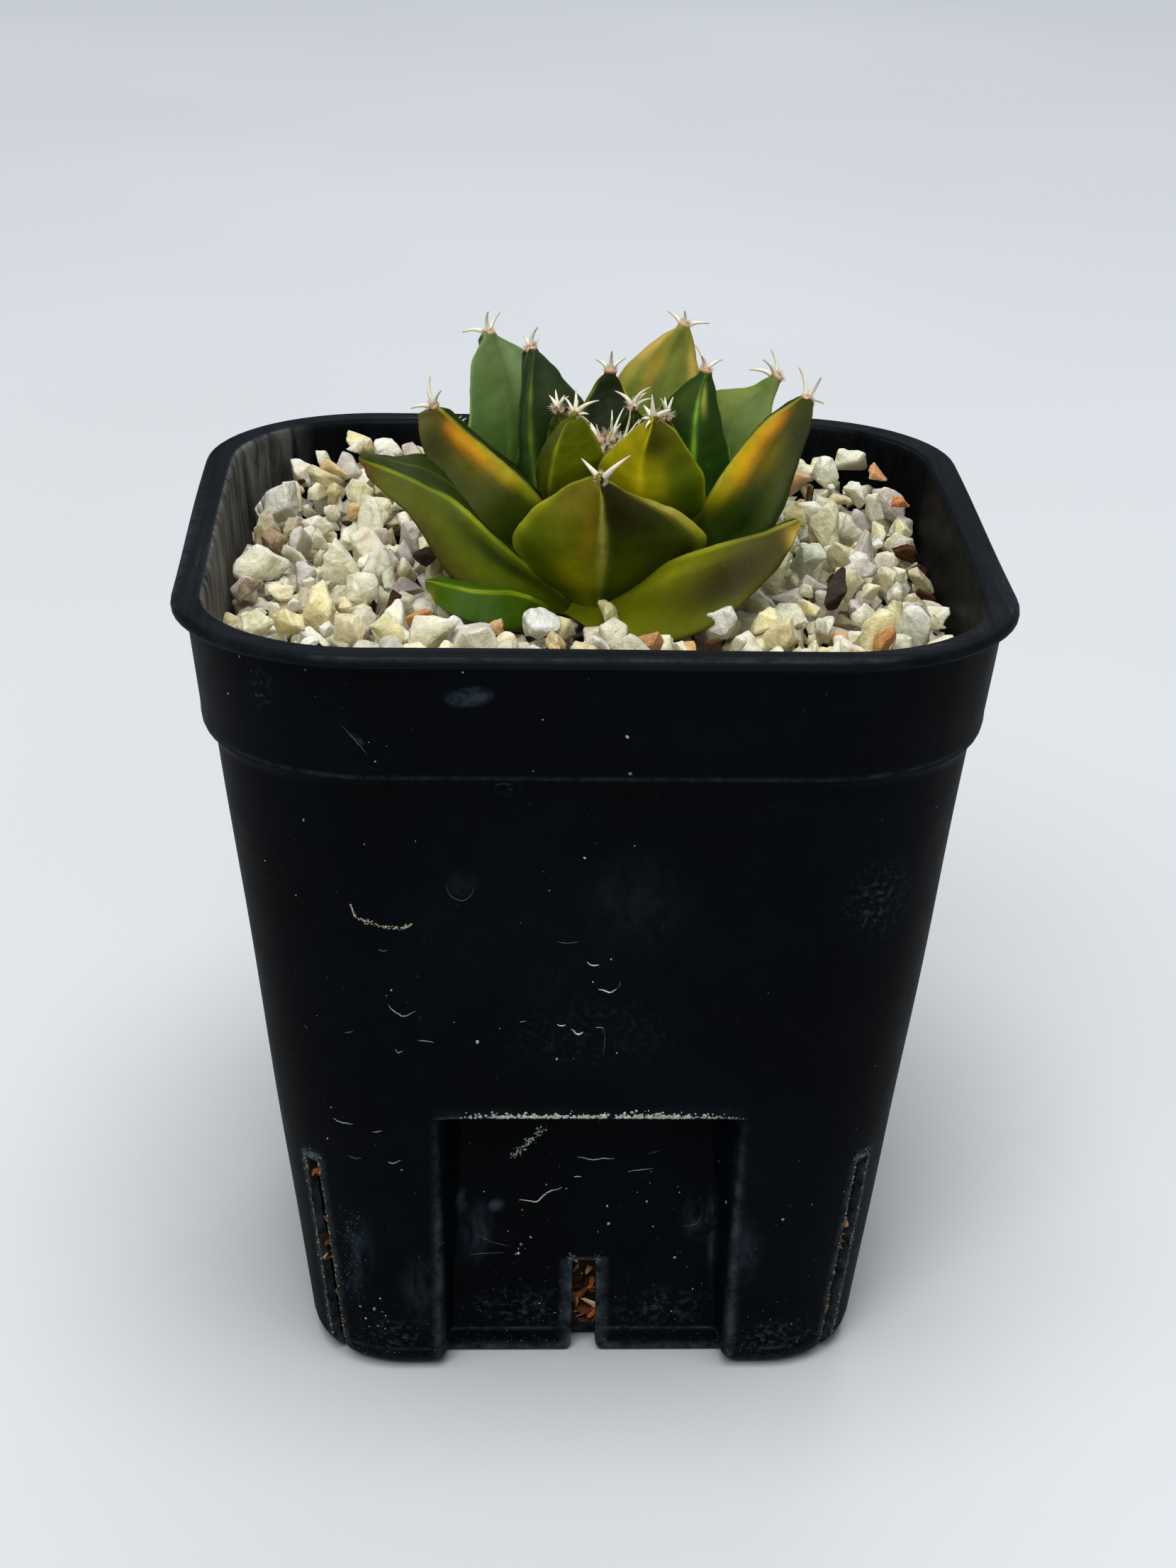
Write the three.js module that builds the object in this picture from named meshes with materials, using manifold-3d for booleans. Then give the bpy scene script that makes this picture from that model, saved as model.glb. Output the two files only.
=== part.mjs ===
// Potted star cactus in a square nursery pot.
// Units are millimetres, +Z is up, +X is to the right and -Y is the front.
// The origin is on the floor, at the centre of the pot's base.
//
// Pieces: one injection-moulded pot, the potting mix inside it, the quartz
// top dressing, and the plant: a short stem, its growing tip, 22 long keeled
// tubercles and the spine cluster on each tubercle's areole.
import * as THREE from 'three';
import { mergeVertices } from 'three/addons/utils/BufferGeometryUtils.js';
import Module from 'manifold-3d';

// ---------------------------------------------------------------- dimensions
const RIM_SIDE = 90;            // outside of the lip
const POT_HEIGHT = 92;
const LIP_THICKNESS = 1.44;     // flat flange around the top
const LIP_INNER_SIDE = 82.9;    // where the flat top of the lip ends inside
const RIM_RADIUS = 20.6;        // corner radius of the lip
const COLLAR_TOP_SIDE = 87.15;  // collar band, just under the lip
const COLLAR_LOW_SIDE = 84.45;
const COLLAR_RADIUS = 20.4;
const COLLAR_Z = 77.8;          // bottom of the collar band
const BODY_TOP_SIDE = 81.24;    // body, just under the collar
const BODY_TOP_RADIUS = 15.85;
const BODY_LOW_SIDE = 62.06;    // body at the floor
const BODY_LOW_RADIUS = 10.3;
const WALL = 1.2;
const FLOOR = 1.8;              // thickness of the pot's floor
const RECESS_TOP_Z = 34.5;      // ledge over each side panel
const RECESS_FACE = 26.95;      // distance of the panel's face from the axis
const RECESS_HALF_TOP = 14.0;   // half width of the panel's face, at the ledge
const RECESS_HALF_LOW = 15.4;
const RECESS_MOUTH_TOP = 16.7;  // half width where the panel meets the outside
const RECESS_MOUTH_LOW = 16.2;
const PANEL_SLOT = [2.8, 11.8]; // width and height of the slot in each panel
const CORNER_SLOT = [2.0, -1.0, 27.2]; // width, bottom (open through the foot) and top of each corner slot
const DRAIN_RADIUS = 4.0;
const MIX_TOP_Z = 78.4;
const GRAVEL_LOW_Z = 78.8;
const GRAVEL_Z = 85.4;          // mean surface of the top dressing
const GAP = 0.32;               // clearance between neighbouring pieces
const STEM_AXIS = [1.8, 2.2];
const STEM_PROFILE = [[0, 79.2], [4.2, 79.2], [7.0, 81.5], [7.6, 85], [6.6, 88.5], [5.2, 92], [4.0, 95.5], [2.6, 98.2], [0, 99.2]];
const CORNER_STEPS = 6;         // facets in each rounded corner
const SECTION_SIDES = 8;        // facets around a tubercle

const COLOURS = {
  pot: [0x14171c, 0.55], mix: [0x4a3424, 0.95], gravel: [0xd9d3bd, 0.55], stem: [0x5d6b2a, 0.6],
  green: [0x55642a, 0.42], dark: [0x33451f, 0.42], yellow: [0x8a8a2c, 0.42], spine: [0xe6dcc4, 0.6],
};

// Each tubercle is a keeled leaf-like body between four rails that run from
// the stem to the tip: its left and right margins, the keel under it and the
// crest of its inner face. edge is half its thickness along the margins.
const TUBERCLES = [
  { name: 'tubercle_01_front_broad', edge: 0.8,
    left: [[-0.6, -5, 82.8], [-2, -6, 84.5], [-4.6, -7.2, 86.2], [-6.9, -8.3, 88.3], [-8.3, -9.2, 91], [-8.3, -9.9, 94], [-6.9, -10.7, 96.6], [-4.7, -12, 98.7], [-2.5, -14, 100.8], [-0, -16.5, 102.4]],
    right: [[3, -5, 82.4], [4, -6, 83.8], [6.9, -7.2, 85.8], [9.5, -8.3, 88], [11.8, -9.2, 90.6], [12.4, -9.9, 93.7], [10.2, -10.7, 96.2], [7.2, -12, 98], [4.1, -14, 99.6], [1.2, -16.5, 102]],
    keel: [[1.1, -6.5, 82.5], [0.9, -8.5, 83.9], [0.9, -10.9, 86.7], [0.8, -12.9, 89.3], [0.8, -14.4, 91.7], [0.9, -15.5, 93.9], [0.9, -16.3, 96], [0.8, -16.8, 98], [0.7, -17.1, 100], [0.5, -17.2, 101.8]],
    crest: [[1.2, -5.2, 82.6], [1, -6.3, 84.1], [1.1, -8, 86.2], [1.3, -9.4, 88.4], [1.7, -10.4, 91], [2, -11.1, 93.9], [1.7, -11.7, 96.3], [1.2, -12.7, 98.3], [0.8, -14.3, 100.2], [0.6, -16.5, 102.2]],
    areole: [0.7, -16.5, 101.9], aim: [-0.07, -0.78, 0.62],
    spines: [[-1.5, -15.7, 104.1], [3.7, -17.6, 105]] },
  { name: 'tubercle_02_inner_front_right', edge: 0.7,
    left: [[1.6, -1, 93], [3.2, -3, 95.1], [1.7, -3.4, 96.1], [0.7, -3.8, 97.5], [0.5, -4.4, 99.3], [1.2, -5, 100.9], [2.4, -5.7, 102.3], [3.5, -6.5, 103.7], [4.6, -7.5, 105.1], [5.9, -8.5, 106.3]],
    right: [[5.4, -1, 91], [9.7, -3, 91.8], [11.3, -3.4, 93.1], [12.4, -3.8, 94.8], [12.9, -4.4, 97], [12.5, -5, 99.1], [11.4, -5.7, 101.1], [10.2, -6.5, 103], [8.9, -7.5, 104.9], [7.3, -8.5, 106.3]],
    keel: [[3.2, -2.8, 90.7], [6, -6, 91.3], [5.8, -7.5, 93.6], [5.5, -8.8, 95.8], [5.3, -9.6, 97.8], [5.2, -10, 99.7], [5.1, -10, 101.4], [5.3, -9.9, 103.1], [5.8, -9.8, 104.8], [6.3, -9.5, 106.3]],
    crest: [[3.5, -1.1, 91.9], [6.4, -3.2, 93.4], [6.5, -3.9, 94.5], [6.5, -4.6, 96.1], [6.7, -5.2, 98], [6.8, -5.8, 99.9], [6.9, -6.3, 101.6], [6.8, -7, 103.3], [6.8, -7.7, 105], [6.6, -8.5, 106.3]],
    areole: [6.5, -8.5, 106.3], aim: [-0.11, -0.61, 0.78],
    spines: [[5.5, -7.6, 107.7], [6.3, -9.3, 109.5], [8.5, -7.5, 107.2], [5.4, -9.1, 103.2]] },
  { name: 'tubercle_03_inner_front_left', edge: 0.7,
    left: [[-0.7, 0.3, 92], [-3.4, 0, 93], [-4.5, -0.1, 94.3], [-5.6, -0.4, 95.8], [-6.2, -0.7, 97.4], [-5.9, -1, 99.1], [-5.4, -1.4, 100.9], [-4.7, -2, 102.5], [-3.7, -2.7, 104], [-2.4, -3.5, 105.3]],
    right: [[1.7, -0.3, 93], [0.5, -1, 94.8], [1.1, -1.4, 96.2], [1.4, -1.8, 97.6], [1.4, -2.1, 99], [1.3, -2.5, 100.5], [0.9, -2.9, 101.9], [0.3, -3.2, 103.2], [-0.4, -3.6, 104.5], [-1.3, -4, 105.4]],
    keel: [[-0.7, -1.5, 91.8], [-3.5, -3, 92.8], [-4.1, -4.2, 94.7], [-4.4, -5.1, 96.5], [-4.4, -5.7, 98.2], [-4.3, -6, 99.8], [-4, -6, 101.4], [-3.7, -5.9, 102.8], [-3.2, -5.5, 104.2], [-2.5, -5, 105.3]],
    crest: [[0.5, -0.1, 92.5], [-1.5, -0.6, 93.9], [-1.8, -1.1, 95.3], [-2.2, -1.5, 96.7], [-2.5, -1.9, 98.2], [-2.4, -2.2, 99.8], [-2.3, -2.5, 101.4], [-2.2, -2.9, 102.8], [-2.1, -3.3, 104.2], [-1.9, -3.8, 105.3]],
    areole: [-1.9, -3.8, 105.4], aim: [0.12, -0.46, 0.88],
    spines: [[-1.8, -2.8, 108.1], [0.7, -4.5, 107.4], [-0.1, -3.1, 104.3]] },
  { name: 'tubercle_04_young_left', edge: 0.5,
    left: [[-0.8, 2, 95.8], [-4.5, 3, 96.6], [-4.7, 2.8, 97.6], [-4.8, 2.5, 98.5], [-4.9, 2.2, 99.5], [-4.8, 2, 100.5], [-4.7, 1.8, 101.5], [-4.6, 1.5, 102.5], [-4.4, 1.2, 103.4], [-4, 1, 104.3]],
    right: [[1.2, 2, 96.2], [-1.2, 3, 97.3], [-1.2, 2.8, 98.3], [-1.2, 2.5, 99.3], [-1.2, 2.2, 100.2], [-1.3, 2, 101.2], [-1.5, 1.8, 102.1], [-1.9, 1.5, 103], [-2.4, 1.2, 103.8], [-3, 1, 104.5]],
    keel: [[0.3, 0.6, 95.6], [-2.7, 0.6, 96.3], [-2.8, 0.3, 97.3], [-2.9, 0.2, 98.3], [-2.9, 0, 99.3], [-3, -0.1, 100.3], [-3, -0.2, 101.3], [-3.1, -0.1, 102.3], [-3.3, 0.2, 103.3], [-3.5, 0.4, 104.2]],
    crest: [[0.2, 1.9, 96], [-2.9, 2.9, 96.9], [-2.9, 2.5, 97.9], [-3, 2.2, 98.8], [-3, 2, 99.8], [-3.1, 1.7, 100.8], [-3.1, 1.5, 101.8], [-3.2, 1.3, 102.7], [-3.4, 1.2, 103.6], [-3.5, 1, 104.4]],
    areole: [-3.5, 1, 104.5], aim: [-0.19, -0.29, 0.94],
    spines: [[-4.6, 1.9, 106.2], [-2.5, -0.1, 106.6]] },
  { name: 'tubercle_05_young_right', edge: 0.5,
    left: [[2.6, 2, 95.2], [7.4, 3, 97.4], [7.2, 2.5, 98.4], [7.1, 2, 99.3], [7, 1.5, 100.2], [7, 1, 101.1], [7, 0.5, 102], [7.2, 0, 102.9], [7.6, -0.5, 103.8], [8.1, -1, 104.5]],
    right: [[5.4, 2, 94.8], [12.1, 3, 96.7], [11.8, 2.5, 97.7], [11.5, 2, 98.7], [11.1, 1.5, 99.7], [10.7, 1, 100.7], [10.3, 0.5, 101.6], [9.8, 0, 102.5], [9.3, -0.5, 103.4], [8.8, -1, 104.3]],
    keel: [[3.9, 0.7, 94.3], [9.6, 0.8, 95.9], [9.3, 0.3, 96.9], [9.2, -0.1, 97.9], [8.9, -0.5, 98.8], [8.7, -0.9, 99.8], [8.5, -1.2, 100.8], [8.4, -1.4, 101.9], [8.3, -1.5, 103], [8.4, -1.5, 104.1]],
    crest: [[4, 1.9, 95], [9.7, 2.9, 97], [9.5, 2.3, 97.9], [9.3, 1.8, 98.9], [9.1, 1.2, 99.8], [8.8, 0.8, 100.8], [8.6, 0.3, 101.7], [8.5, -0.1, 102.6], [8.4, -0.6, 103.5], [8.4, -1, 104.4]],
    areole: [8.4, -1, 104.5], aim: [0.01, -0.53, 0.85],
    spines: [[8.8, -0.2, 105.3], [7.7, -2, 107]] },
  { name: 'tubercle_06_young_back', edge: 0.5,
    left: [[2.1, 3.5, 97.5], [3.6, 5, 99], [3.5, 4.9, 99.7], [3.5, 4.8, 100.3], [3.4, 4.6, 101], [3.4, 4.5, 101.7], [3.6, 4.4, 102.3], [3.8, 4.2, 102.9], [4.1, 4.1, 103.5], [4.5, 4, 103.9]],
    right: [[4.3, 3.5, 97.5], [7.4, 5, 99], [7.3, 4.9, 99.7], [7.2, 4.8, 100.4], [7, 4.6, 101], [6.8, 4.5, 101.7], [6.5, 4.4, 102.3], [6.2, 4.2, 102.9], [5.8, 4.1, 103.4], [5.4, 4, 104]],
    keel: [[3.2, 2.2, 97.3], [5.5, 2.8, 98.6], [5.4, 2.7, 99.3], [5.3, 2.6, 100], [5.2, 2.6, 100.6], [5.1, 2.5, 101.3], [5, 2.6, 101.9], [5, 2.8, 102.6], [5, 3.1, 103.2], [5, 3.4, 103.8]],
    crest: [[3.2, 3.5, 97.5], [5.5, 4.9, 99], [5.4, 4.7, 99.7], [5.3, 4.5, 100.3], [5.2, 4.3, 101], [5.1, 4.2, 101.6], [5, 4.1, 102.2], [5, 4.1, 102.9], [5, 4, 103.4], [5, 4, 104]],
    areole: [4.9, 4, 104.1], aim: [-0.02, -0.24, 0.97],
    spines: [[2.9, 4.7, 105.9], [6.8, 3.1, 106.8]] },
  { name: 'tubercle_07_back_left_tall', edge: 0.7,
    left: [[-2.9, 4.6, 88.3], [-11.3, 5, 92.9], [-12.4, 6, 94.8], [-13.1, 7.2, 96.9], [-13.5, 8.5, 99], [-13.6, 10, 101.1], [-13.6, 11.5, 103.2], [-13.4, 12.9, 105.3], [-13, 14.2, 107.5], [-11.9, 15.5, 109.3]],
    right: [[-0.1, 6.4, 87.7], [-6.5, 8, 92], [-5.4, 9.5, 94.2], [-4.7, 11, 96.5], [-4.3, 12.6, 98.9], [-4.4, 14.3, 101.3], [-4.8, 15.7, 103.8], [-5.9, 16.4, 106.1], [-8, 16.8, 107.8], [-10.5, 17, 108.9]],
    keel: [[-2.5, 6.8, 87.2], [-10.5, 8.7, 91.1], [-10.8, 11.1, 92.5], [-10.9, 13.2, 94.2], [-10.8, 14.7, 96.1], [-10.8, 16.1, 98.3], [-10.8, 17.3, 101.2], [-10.9, 17.8, 103.9], [-11.4, 17.5, 106.2], [-11.9, 16.8, 108.6]],
    crest: [[-1.6, 5.6, 88], [-9, 6.6, 92.4], [-9.1, 8, 94.4], [-9.1, 9.4, 96.5], [-9.1, 10.9, 98.7], [-9.2, 12.5, 101], [-9.3, 13.9, 103.3], [-9.7, 14.9, 105.6], [-10.5, 15.6, 107.6], [-11.2, 16.2, 109.1]],
    areole: [-11.2, 16.2, 109.3], aim: [-0.4, 0.41, 0.82],
    spines: [[-14.4, 16.9, 109.5], [-11.4, 15.5, 112.3], [-10, 17.2, 111.8]] },
  { name: 'tubercle_08_back_left_inner', edge: 0.7,
    left: [[-1.6, 5.4, 89.4], [-7.6, 5, 92.9], [-7.9, 5.4, 95], [-8, 5.8, 97.1], [-8, 6.4, 99.1], [-7.9, 7, 101.1], [-7.8, 7.7, 103.1], [-7.7, 8.6, 105.1], [-7.5, 9.5, 107], [-6.9, 10.5, 108.8]],
    right: [[2.2, 6.6, 88.6], [-1.4, 7, 91.6], [-0.1, 8.8, 93.4], [0.6, 10.4, 95.5], [0.8, 11.5, 97.8], [0.6, 12, 100.4], [-0.4, 12, 102.8], [-2.1, 11.9, 104.8], [-3.8, 11.8, 106.9], [-5.7, 11.5, 108.6]],
    keel: [[-0.3, 7.5, 88.3], [-5.6, 8.6, 91.1], [-5.7, 10.3, 92.8], [-5.8, 11.7, 94.9], [-5.9, 12.6, 97.4], [-5.8, 13, 100], [-5.9, 12.8, 101.8], [-6.4, 12.6, 103.9], [-6.7, 12.3, 106.2], [-6.9, 11.6, 108.2]],
    crest: [[-0.5, 4.5, 89.5], [-5.9, 3.5, 93], [-6.2, 3.8, 95.1], [-6.6, 4.3, 97.1], [-6.8, 4.8, 99.1], [-7, 5.5, 101], [-7, 6.3, 103], [-7, 7.3, 104.8], [-6.8, 8.5, 106.7], [-6.5, 9.8, 108.4]],
    areole: [-6.4, 11, 108.9], aim: [-0.37, 0.19, 0.91],
    spines: [[-7.3, 11.9, 110.5], [-5.8, 10.3, 111.8]] },
  { name: 'tubercle_09_back_small', edge: 0.5,
    left: [[0.8, 6, 92], [0.3, 7, 96.9], [-0.2, 8.1, 97.9], [-0.5, 9.2, 99], [-0.5, 10.2, 100.2], [-0.5, 11, 101.4], [-0.3, 11.7, 102.6], [0.4, 12.4, 103.7], [1.2, 13, 104.7], [2.1, 13.5, 105.6]],
    right: [[3.8, 6, 92], [5.4, 7, 96.9], [5.8, 8.1, 98], [6, 9.2, 99.1], [6, 10.2, 100.2], [5.7, 11, 101.3], [5.3, 11.7, 102.5], [4.8, 12.4, 103.5], [4.1, 13, 104.6], [3.2, 13.5, 105.5]],
    keel: [[2.3, 6.8, 91.1], [2.9, 8.3, 95.4], [2.8, 9.9, 96.1], [2.8, 11.3, 97.1], [2.7, 12.5, 98.4], [2.6, 13.2, 99.9], [2.5, 13.6, 101.3], [2.5, 13.9, 102.7], [2.6, 14.1, 104], [2.7, 14.2, 105.2]],
    crest: [[2.3, 6.1, 91.9], [2.9, 7.1, 96.8], [2.8, 8.4, 97.7], [2.8, 9.5, 98.7], [2.7, 10.6, 99.9], [2.6, 11.4, 101.1], [2.5, 12.1, 102.3], [2.6, 12.7, 103.5], [2.6, 13.1, 104.6], [2.7, 13.5, 105.6]],
    areole: [2.7, 13.5, 105.6], aim: [0.06, 0.48, 0.88],
    spines: [[1.1, 14.3, 107.1], [2.8, 12.7, 108.5], [4.5, 14.2, 107.3]] },
  { name: 'tubercle_10_back_right_tall', edge: 0.7,
    left: [[3.2, 6.5, 88.9], [6.5, 7, 95.4], [5, 8.7, 97.2], [3.8, 10.3, 99.2], [2.9, 11.7, 101.4], [3, 13, 103.8], [4.2, 14.2, 105.9], [6.1, 15.2, 107.6], [8.2, 16.2, 109.1], [10.5, 17, 110.2]],
    right: [[5.8, 6.5, 88.1], [10.9, 7, 94], [12.2, 8.2, 95.8], [13, 9.4, 97.7], [13.5, 10.7, 99.8], [13.4, 12, 101.9], [13.2, 13.3, 104], [12.8, 14.7, 106], [12.5, 16.1, 108.1], [11.9, 17.5, 110]],
    keel: [[4.1, 7.8, 87.3], [8.1, 9.2, 92.8], [8.3, 11.7, 94], [8.3, 13.8, 95.8], [8.2, 15.4, 98], [8.2, 16.6, 100.5], [8.5, 17.3, 102.8], [9.3, 17.9, 105], [10.1, 18.1, 107.4], [10.8, 18, 109.6]],
    crest: [[4.5, 6.6, 88.4], [8.7, 7.1, 94.6], [8.6, 8.8, 96.3], [8.4, 10.3, 98.2], [8.2, 11.7, 100.3], [8.2, 13, 102.5], [8.7, 14.2, 104.7], [9.4, 15.2, 106.6], [10.3, 16.3, 108.5], [11.2, 17.2, 110.1]],
    areole: [11.2, 17.2, 110.2], aim: [0.4, 0.54, 0.74],
    spines: [[9.4, 18.2, 111.9], [11.3, 16.6, 112.4], [14.3, 18.1, 110.5]] },
  { name: 'tubercle_11_back_right_inner', edge: 0.7,
    left: [[4.3, 4.8, 89.9], [10.8, 4, 93.4], [9.6, 4.9, 95], [8.6, 5.7, 96.7], [7.8, 6.4, 98.6], [7.6, 7, 100.7], [7.9, 7.5, 102.7], [9.1, 7.9, 104.4], [10.7, 8.2, 105.8], [12.4, 8.5, 107]],
    right: [[6.7, 4.2, 90.1], [14.7, 3, 93.7], [15.8, 3.5, 95.3], [16.2, 4.1, 96.9], [16.2, 4.8, 98.6], [15.7, 5.5, 100.3], [15.2, 6.3, 101.9], [14.9, 7.1, 103.5], [14.6, 8, 105.2], [14.1, 9, 106.7]],
    keel: [[5.9, 5.8, 89.4], [13.4, 5.7, 92.5], [13.4, 7.5, 93.8], [13.3, 8.9, 95.4], [12.8, 9.8, 97.3], [12.3, 10.2, 99.2], [12, 10.3, 101], [12.2, 10.3, 102.8], [12.6, 10.1, 104.6], [12.9, 9.7, 106.6]],
    crest: [[5.3, 3.9, 90.2], [12.5, 2.5, 93.8], [12.2, 2.7, 95.6], [12, 3, 97.2], [12, 3.5, 98.8], [12, 4, 100.5], [12.1, 4.7, 102], [12.3, 5.6, 103.5], [12.5, 6.8, 105], [12.9, 8, 106.3]],
    areole: [13.2, 8.8, 107], aim: [0.36, 0.37, 0.85],
    spines: [[12.1, 9.6, 110.1], [12.7, 7.9, 109.3], [15.3, 9.6, 108.4]] },
  { name: 'tubercle_12_right_back', edge: 0.7,
    left: [[5.8, 5.1, 87.8], [13.3, 5, 94.6], [13, 7.6, 96.2], [12.8, 9.8, 97.9], [12.9, 11.5, 99.8], [13.3, 12.9, 101.8], [14.7, 13.8, 103.2], [17, 14, 103.7], [19.2, 14, 104.2], [21.3, 14, 105.2]],
    right: [[7.2, 3.9, 87.2], [15.8, 3, 93.7], [17, 4, 95], [18.1, 5.2, 96.2], [19.1, 6.5, 97.5], [20.1, 8, 98.9], [20.8, 9.5, 100.3], [21.3, 10.9, 101.8], [21.8, 12.2, 103.4], [22.5, 13.5, 104.9]],
    keel: [[6.8, 5.5, 86], [15.1, 5.7, 91.7], [16.1, 8, 92.5], [16.9, 10.2, 93.9], [17.3, 11.9, 95.6], [17.5, 13.2, 97.6], [18.2, 13.9, 99.5], [19.5, 14.1, 100.9], [20.9, 14.3, 102.5], [22.1, 14.6, 104.5]],
    crest: [[6.5, 4.6, 87.4], [14.6, 4.1, 94], [15.1, 6, 95.2], [15.7, 7.8, 96.7], [16.2, 9.4, 98.3], [16.8, 10.8, 99.9], [17.8, 12, 101.4], [19.2, 12.7, 102.5], [20.5, 13.2, 103.6], [21.9, 13.8, 105.1]],
    areole: [21.9, 13.8, 105.1], aim: [0.69, 0.32, 0.65],
    spines: [[18.9, 14.7, 105.9], [20.2, 12.7, 107.7], [21.2, 14.5, 108.4]] },
  { name: 'tubercle_13_right_long', edge: 0.7,
    left: [[5.5, -0.3, 87.8], [9.1, -2, 89.6], [10.8, -2.7, 92], [12.4, -3, 94.5], [13.8, -2.8, 96.8], [15.3, -1.8, 99], [17, -0.5, 100.8], [18.8, 0.8, 102.7], [20.9, 1.9, 104.2], [23.3, 3, 105.5]],
    right: [[7.5, 3.4, 87.2], [12.2, 4.2, 88.6], [14.6, 4.7, 90.8], [16.4, 4.9, 93.1], [17.7, 4.8, 95.5], [18.9, 5.1, 97.8], [19.8, 5, 99.9], [20.7, 4.3, 102.1], [22.1, 4.1, 103.8], [23.9, 4.2, 105.3]],
    keel: [[7.4, -2.1, 87.5], [12.1, -5, 89.1], [14.9, -6.8, 90.4], [17.3, -7.8, 92], [19.4, -7.8, 94], [20.8, -6.5, 96.3], [21.8, -4.7, 98.6], [22.8, -2.7, 100.8], [23.9, -0.5, 103], [24.6, 2, 105.3]],
    crest: [[6.6, 1.4, 87.5], [10.8, 1, 89.1], [13.1, 0.8, 91.3], [14.8, 0.7, 93.6], [16.2, 0.7, 95.9], [17.5, 1.4, 98.2], [18.7, 2, 100.2], [20, 2.4, 102.2], [21.7, 2.9, 104], [23.6, 3.6, 105.4]],
    areole: [24.3, 3.6, 105.3], aim: [0.82, 0.23, 0.53],
    spines: [[23.5, 4.5, 109], [25.9, 2.7, 108.3], [26.5, 4.4, 104.8]] },
  { name: 'tubercle_14_left_long', edge: 0.7,
    left: [[0, 4.3, 86.6], [-1.2, 5.5, 87.4], [-2.2, 6.2, 89.6], [-3.6, 6.4, 91.7], [-5.3, 6.2, 93.8], [-7.3, 6.2, 95.7], [-9.5, 5.9, 97.5], [-11.7, 5, 99.6], [-13.9, 4.2, 101.6], [-16.1, 3.2, 103.7]],
    right: [[-0.6, 0.3, 88], [-2.3, -1, 89.6], [-3.6, -1.6, 92.2], [-5, -1.9, 94.6], [-6.7, -1.9, 96.6], [-8.6, -1.2, 98.2], [-10.6, -0.3, 99.7], [-12.5, 0.3, 101.2], [-14.5, 0.8, 102.7], [-16.4, 1.2, 104.4]],
    keel: [[-3.2, -1.5, 86.8], [-6.6, -4, 87.6], [-8.5, -5.2, 90.1], [-10.5, -5.8, 92.2], [-12.5, -5.8, 94], [-14.4, -4.9, 95.7], [-16, -3.5, 97.5], [-17.3, -2.1, 99.5], [-18.2, -0.6, 101.7], [-18.5, 1, 104]],
    crest: [[-0.4, 2.3, 87.2], [-1.9, 2.2, 88.4], [-3.2, 2.2, 90.7], [-4.8, 2.2, 92.8], [-6.5, 2.1, 94.8], [-8.4, 2.5, 96.6], [-10.4, 2.8, 98.3], [-12.4, 2.7, 100.2], [-14.4, 2.5, 102.1], [-16.3, 2.2, 104]],
    areole: [-17.4, 2.2, 104.5], aim: [-0.74, -0.1, 0.67],
    spines: [[-17.9, 2.8, 108.1], [-16.6, 1.1, 106.9], [-20, 3, 104.2]] },
  { name: 'tubercle_15_left_low_dry_tip', edge: 0.6,
    left: [[-2.2, -3.1, 86.9], [-5.2, -3, 87.2], [-7.6, -1.9, 89.1], [-9.8, -1, 91.2], [-11.8, -0.4, 93.5], [-13.7, -0.1, 96.1], [-15.9, -0.3, 98.5], [-18.7, -1.1, 100], [-21.8, -2.4, 100.2], [-24.8, -4.5, 100.9]],
    right: [[-0.2, -6.1, 85.5], [-1.7, -8, 85], [-4.6, -9.2, 87.8], [-7.4, -9.8, 90.4], [-10.1, -9.9, 92.7], [-12.7, -9.3, 95.1], [-15.4, -8.3, 97.1], [-18.5, -7.3, 98.5], [-21.8, -6.2, 99.6], [-25.1, -5, 100.5]],
    keel: [[-0.6, -6.7, 85.2], [-2.5, -9, 84.5], [-6.1, -11.2, 86.1], [-9.7, -12.6, 87.3], [-13.1, -12.9, 88.6], [-15.8, -12.3, 90.9], [-17.8, -11.3, 93.8], [-19.8, -10, 96.5], [-22.5, -8, 98.3], [-25.3, -5.5, 100.1]],
    crest: [[-1.3, -4.7, 86.2], [-3.6, -5.6, 86.1], [-6.5, -5.7, 88.1], [-9.1, -5.5, 90.3], [-11.5, -5.2, 92.5], [-13.7, -4.7, 95], [-16.1, -4.3, 97.3], [-18.9, -4.1, 98.9], [-21.9, -4.3, 99.7], [-24.9, -4.8, 100.7]] },
  { name: 'tubercle_16_front_left_low', edge: 0.6,
    left: [[-4, -7.2, 84.8], [-6.7, -8, 85.2], [-7.9, -8.3, 86.1], [-9.2, -8.7, 86.8], [-10.6, -9.2, 87.3], [-12, -10, 87.9], [-13.4, -10.8, 88.5], [-14.7, -11.4, 89], [-16.1, -12, 89.2], [-17.5, -12.5, 89.2]],
    right: [[-2.4, -8.4, 84.4], [-3.9, -10, 84.4], [-5.4, -11.9, 86.3], [-7, -13.3, 87.6], [-8.7, -14.2, 88.3], [-10.5, -14.7, 88.6], [-12.3, -14.9, 88.7], [-14, -14.8, 89], [-15.8, -14.1, 89.2], [-17.5, -13, 89.2]],
    keel: [[-3.2, -9, 83.5], [-5.3, -11, 82.9], [-7, -14.1, 84.2], [-8.7, -16.3, 85.2], [-10.3, -17, 85.8], [-12, -17, 86.1], [-13.5, -17, 86.7], [-15, -16.7, 87.3], [-16.4, -15.6, 87.8], [-17.7, -14, 88.4]],
    crest: [[-3.2, -7.8, 84.5], [-5.3, -9.1, 84.7], [-6.8, -10.2, 86], [-8.3, -11.2, 87], [-9.9, -11.8, 87.5], [-11.5, -12.4, 87.9], [-13, -12.9, 88.4], [-14.5, -13.1, 88.8], [-16, -13.1, 89], [-17.5, -12.8, 89.2]] },
  { name: 'tubercle_17_front_right_low', edge: 0.7,
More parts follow.
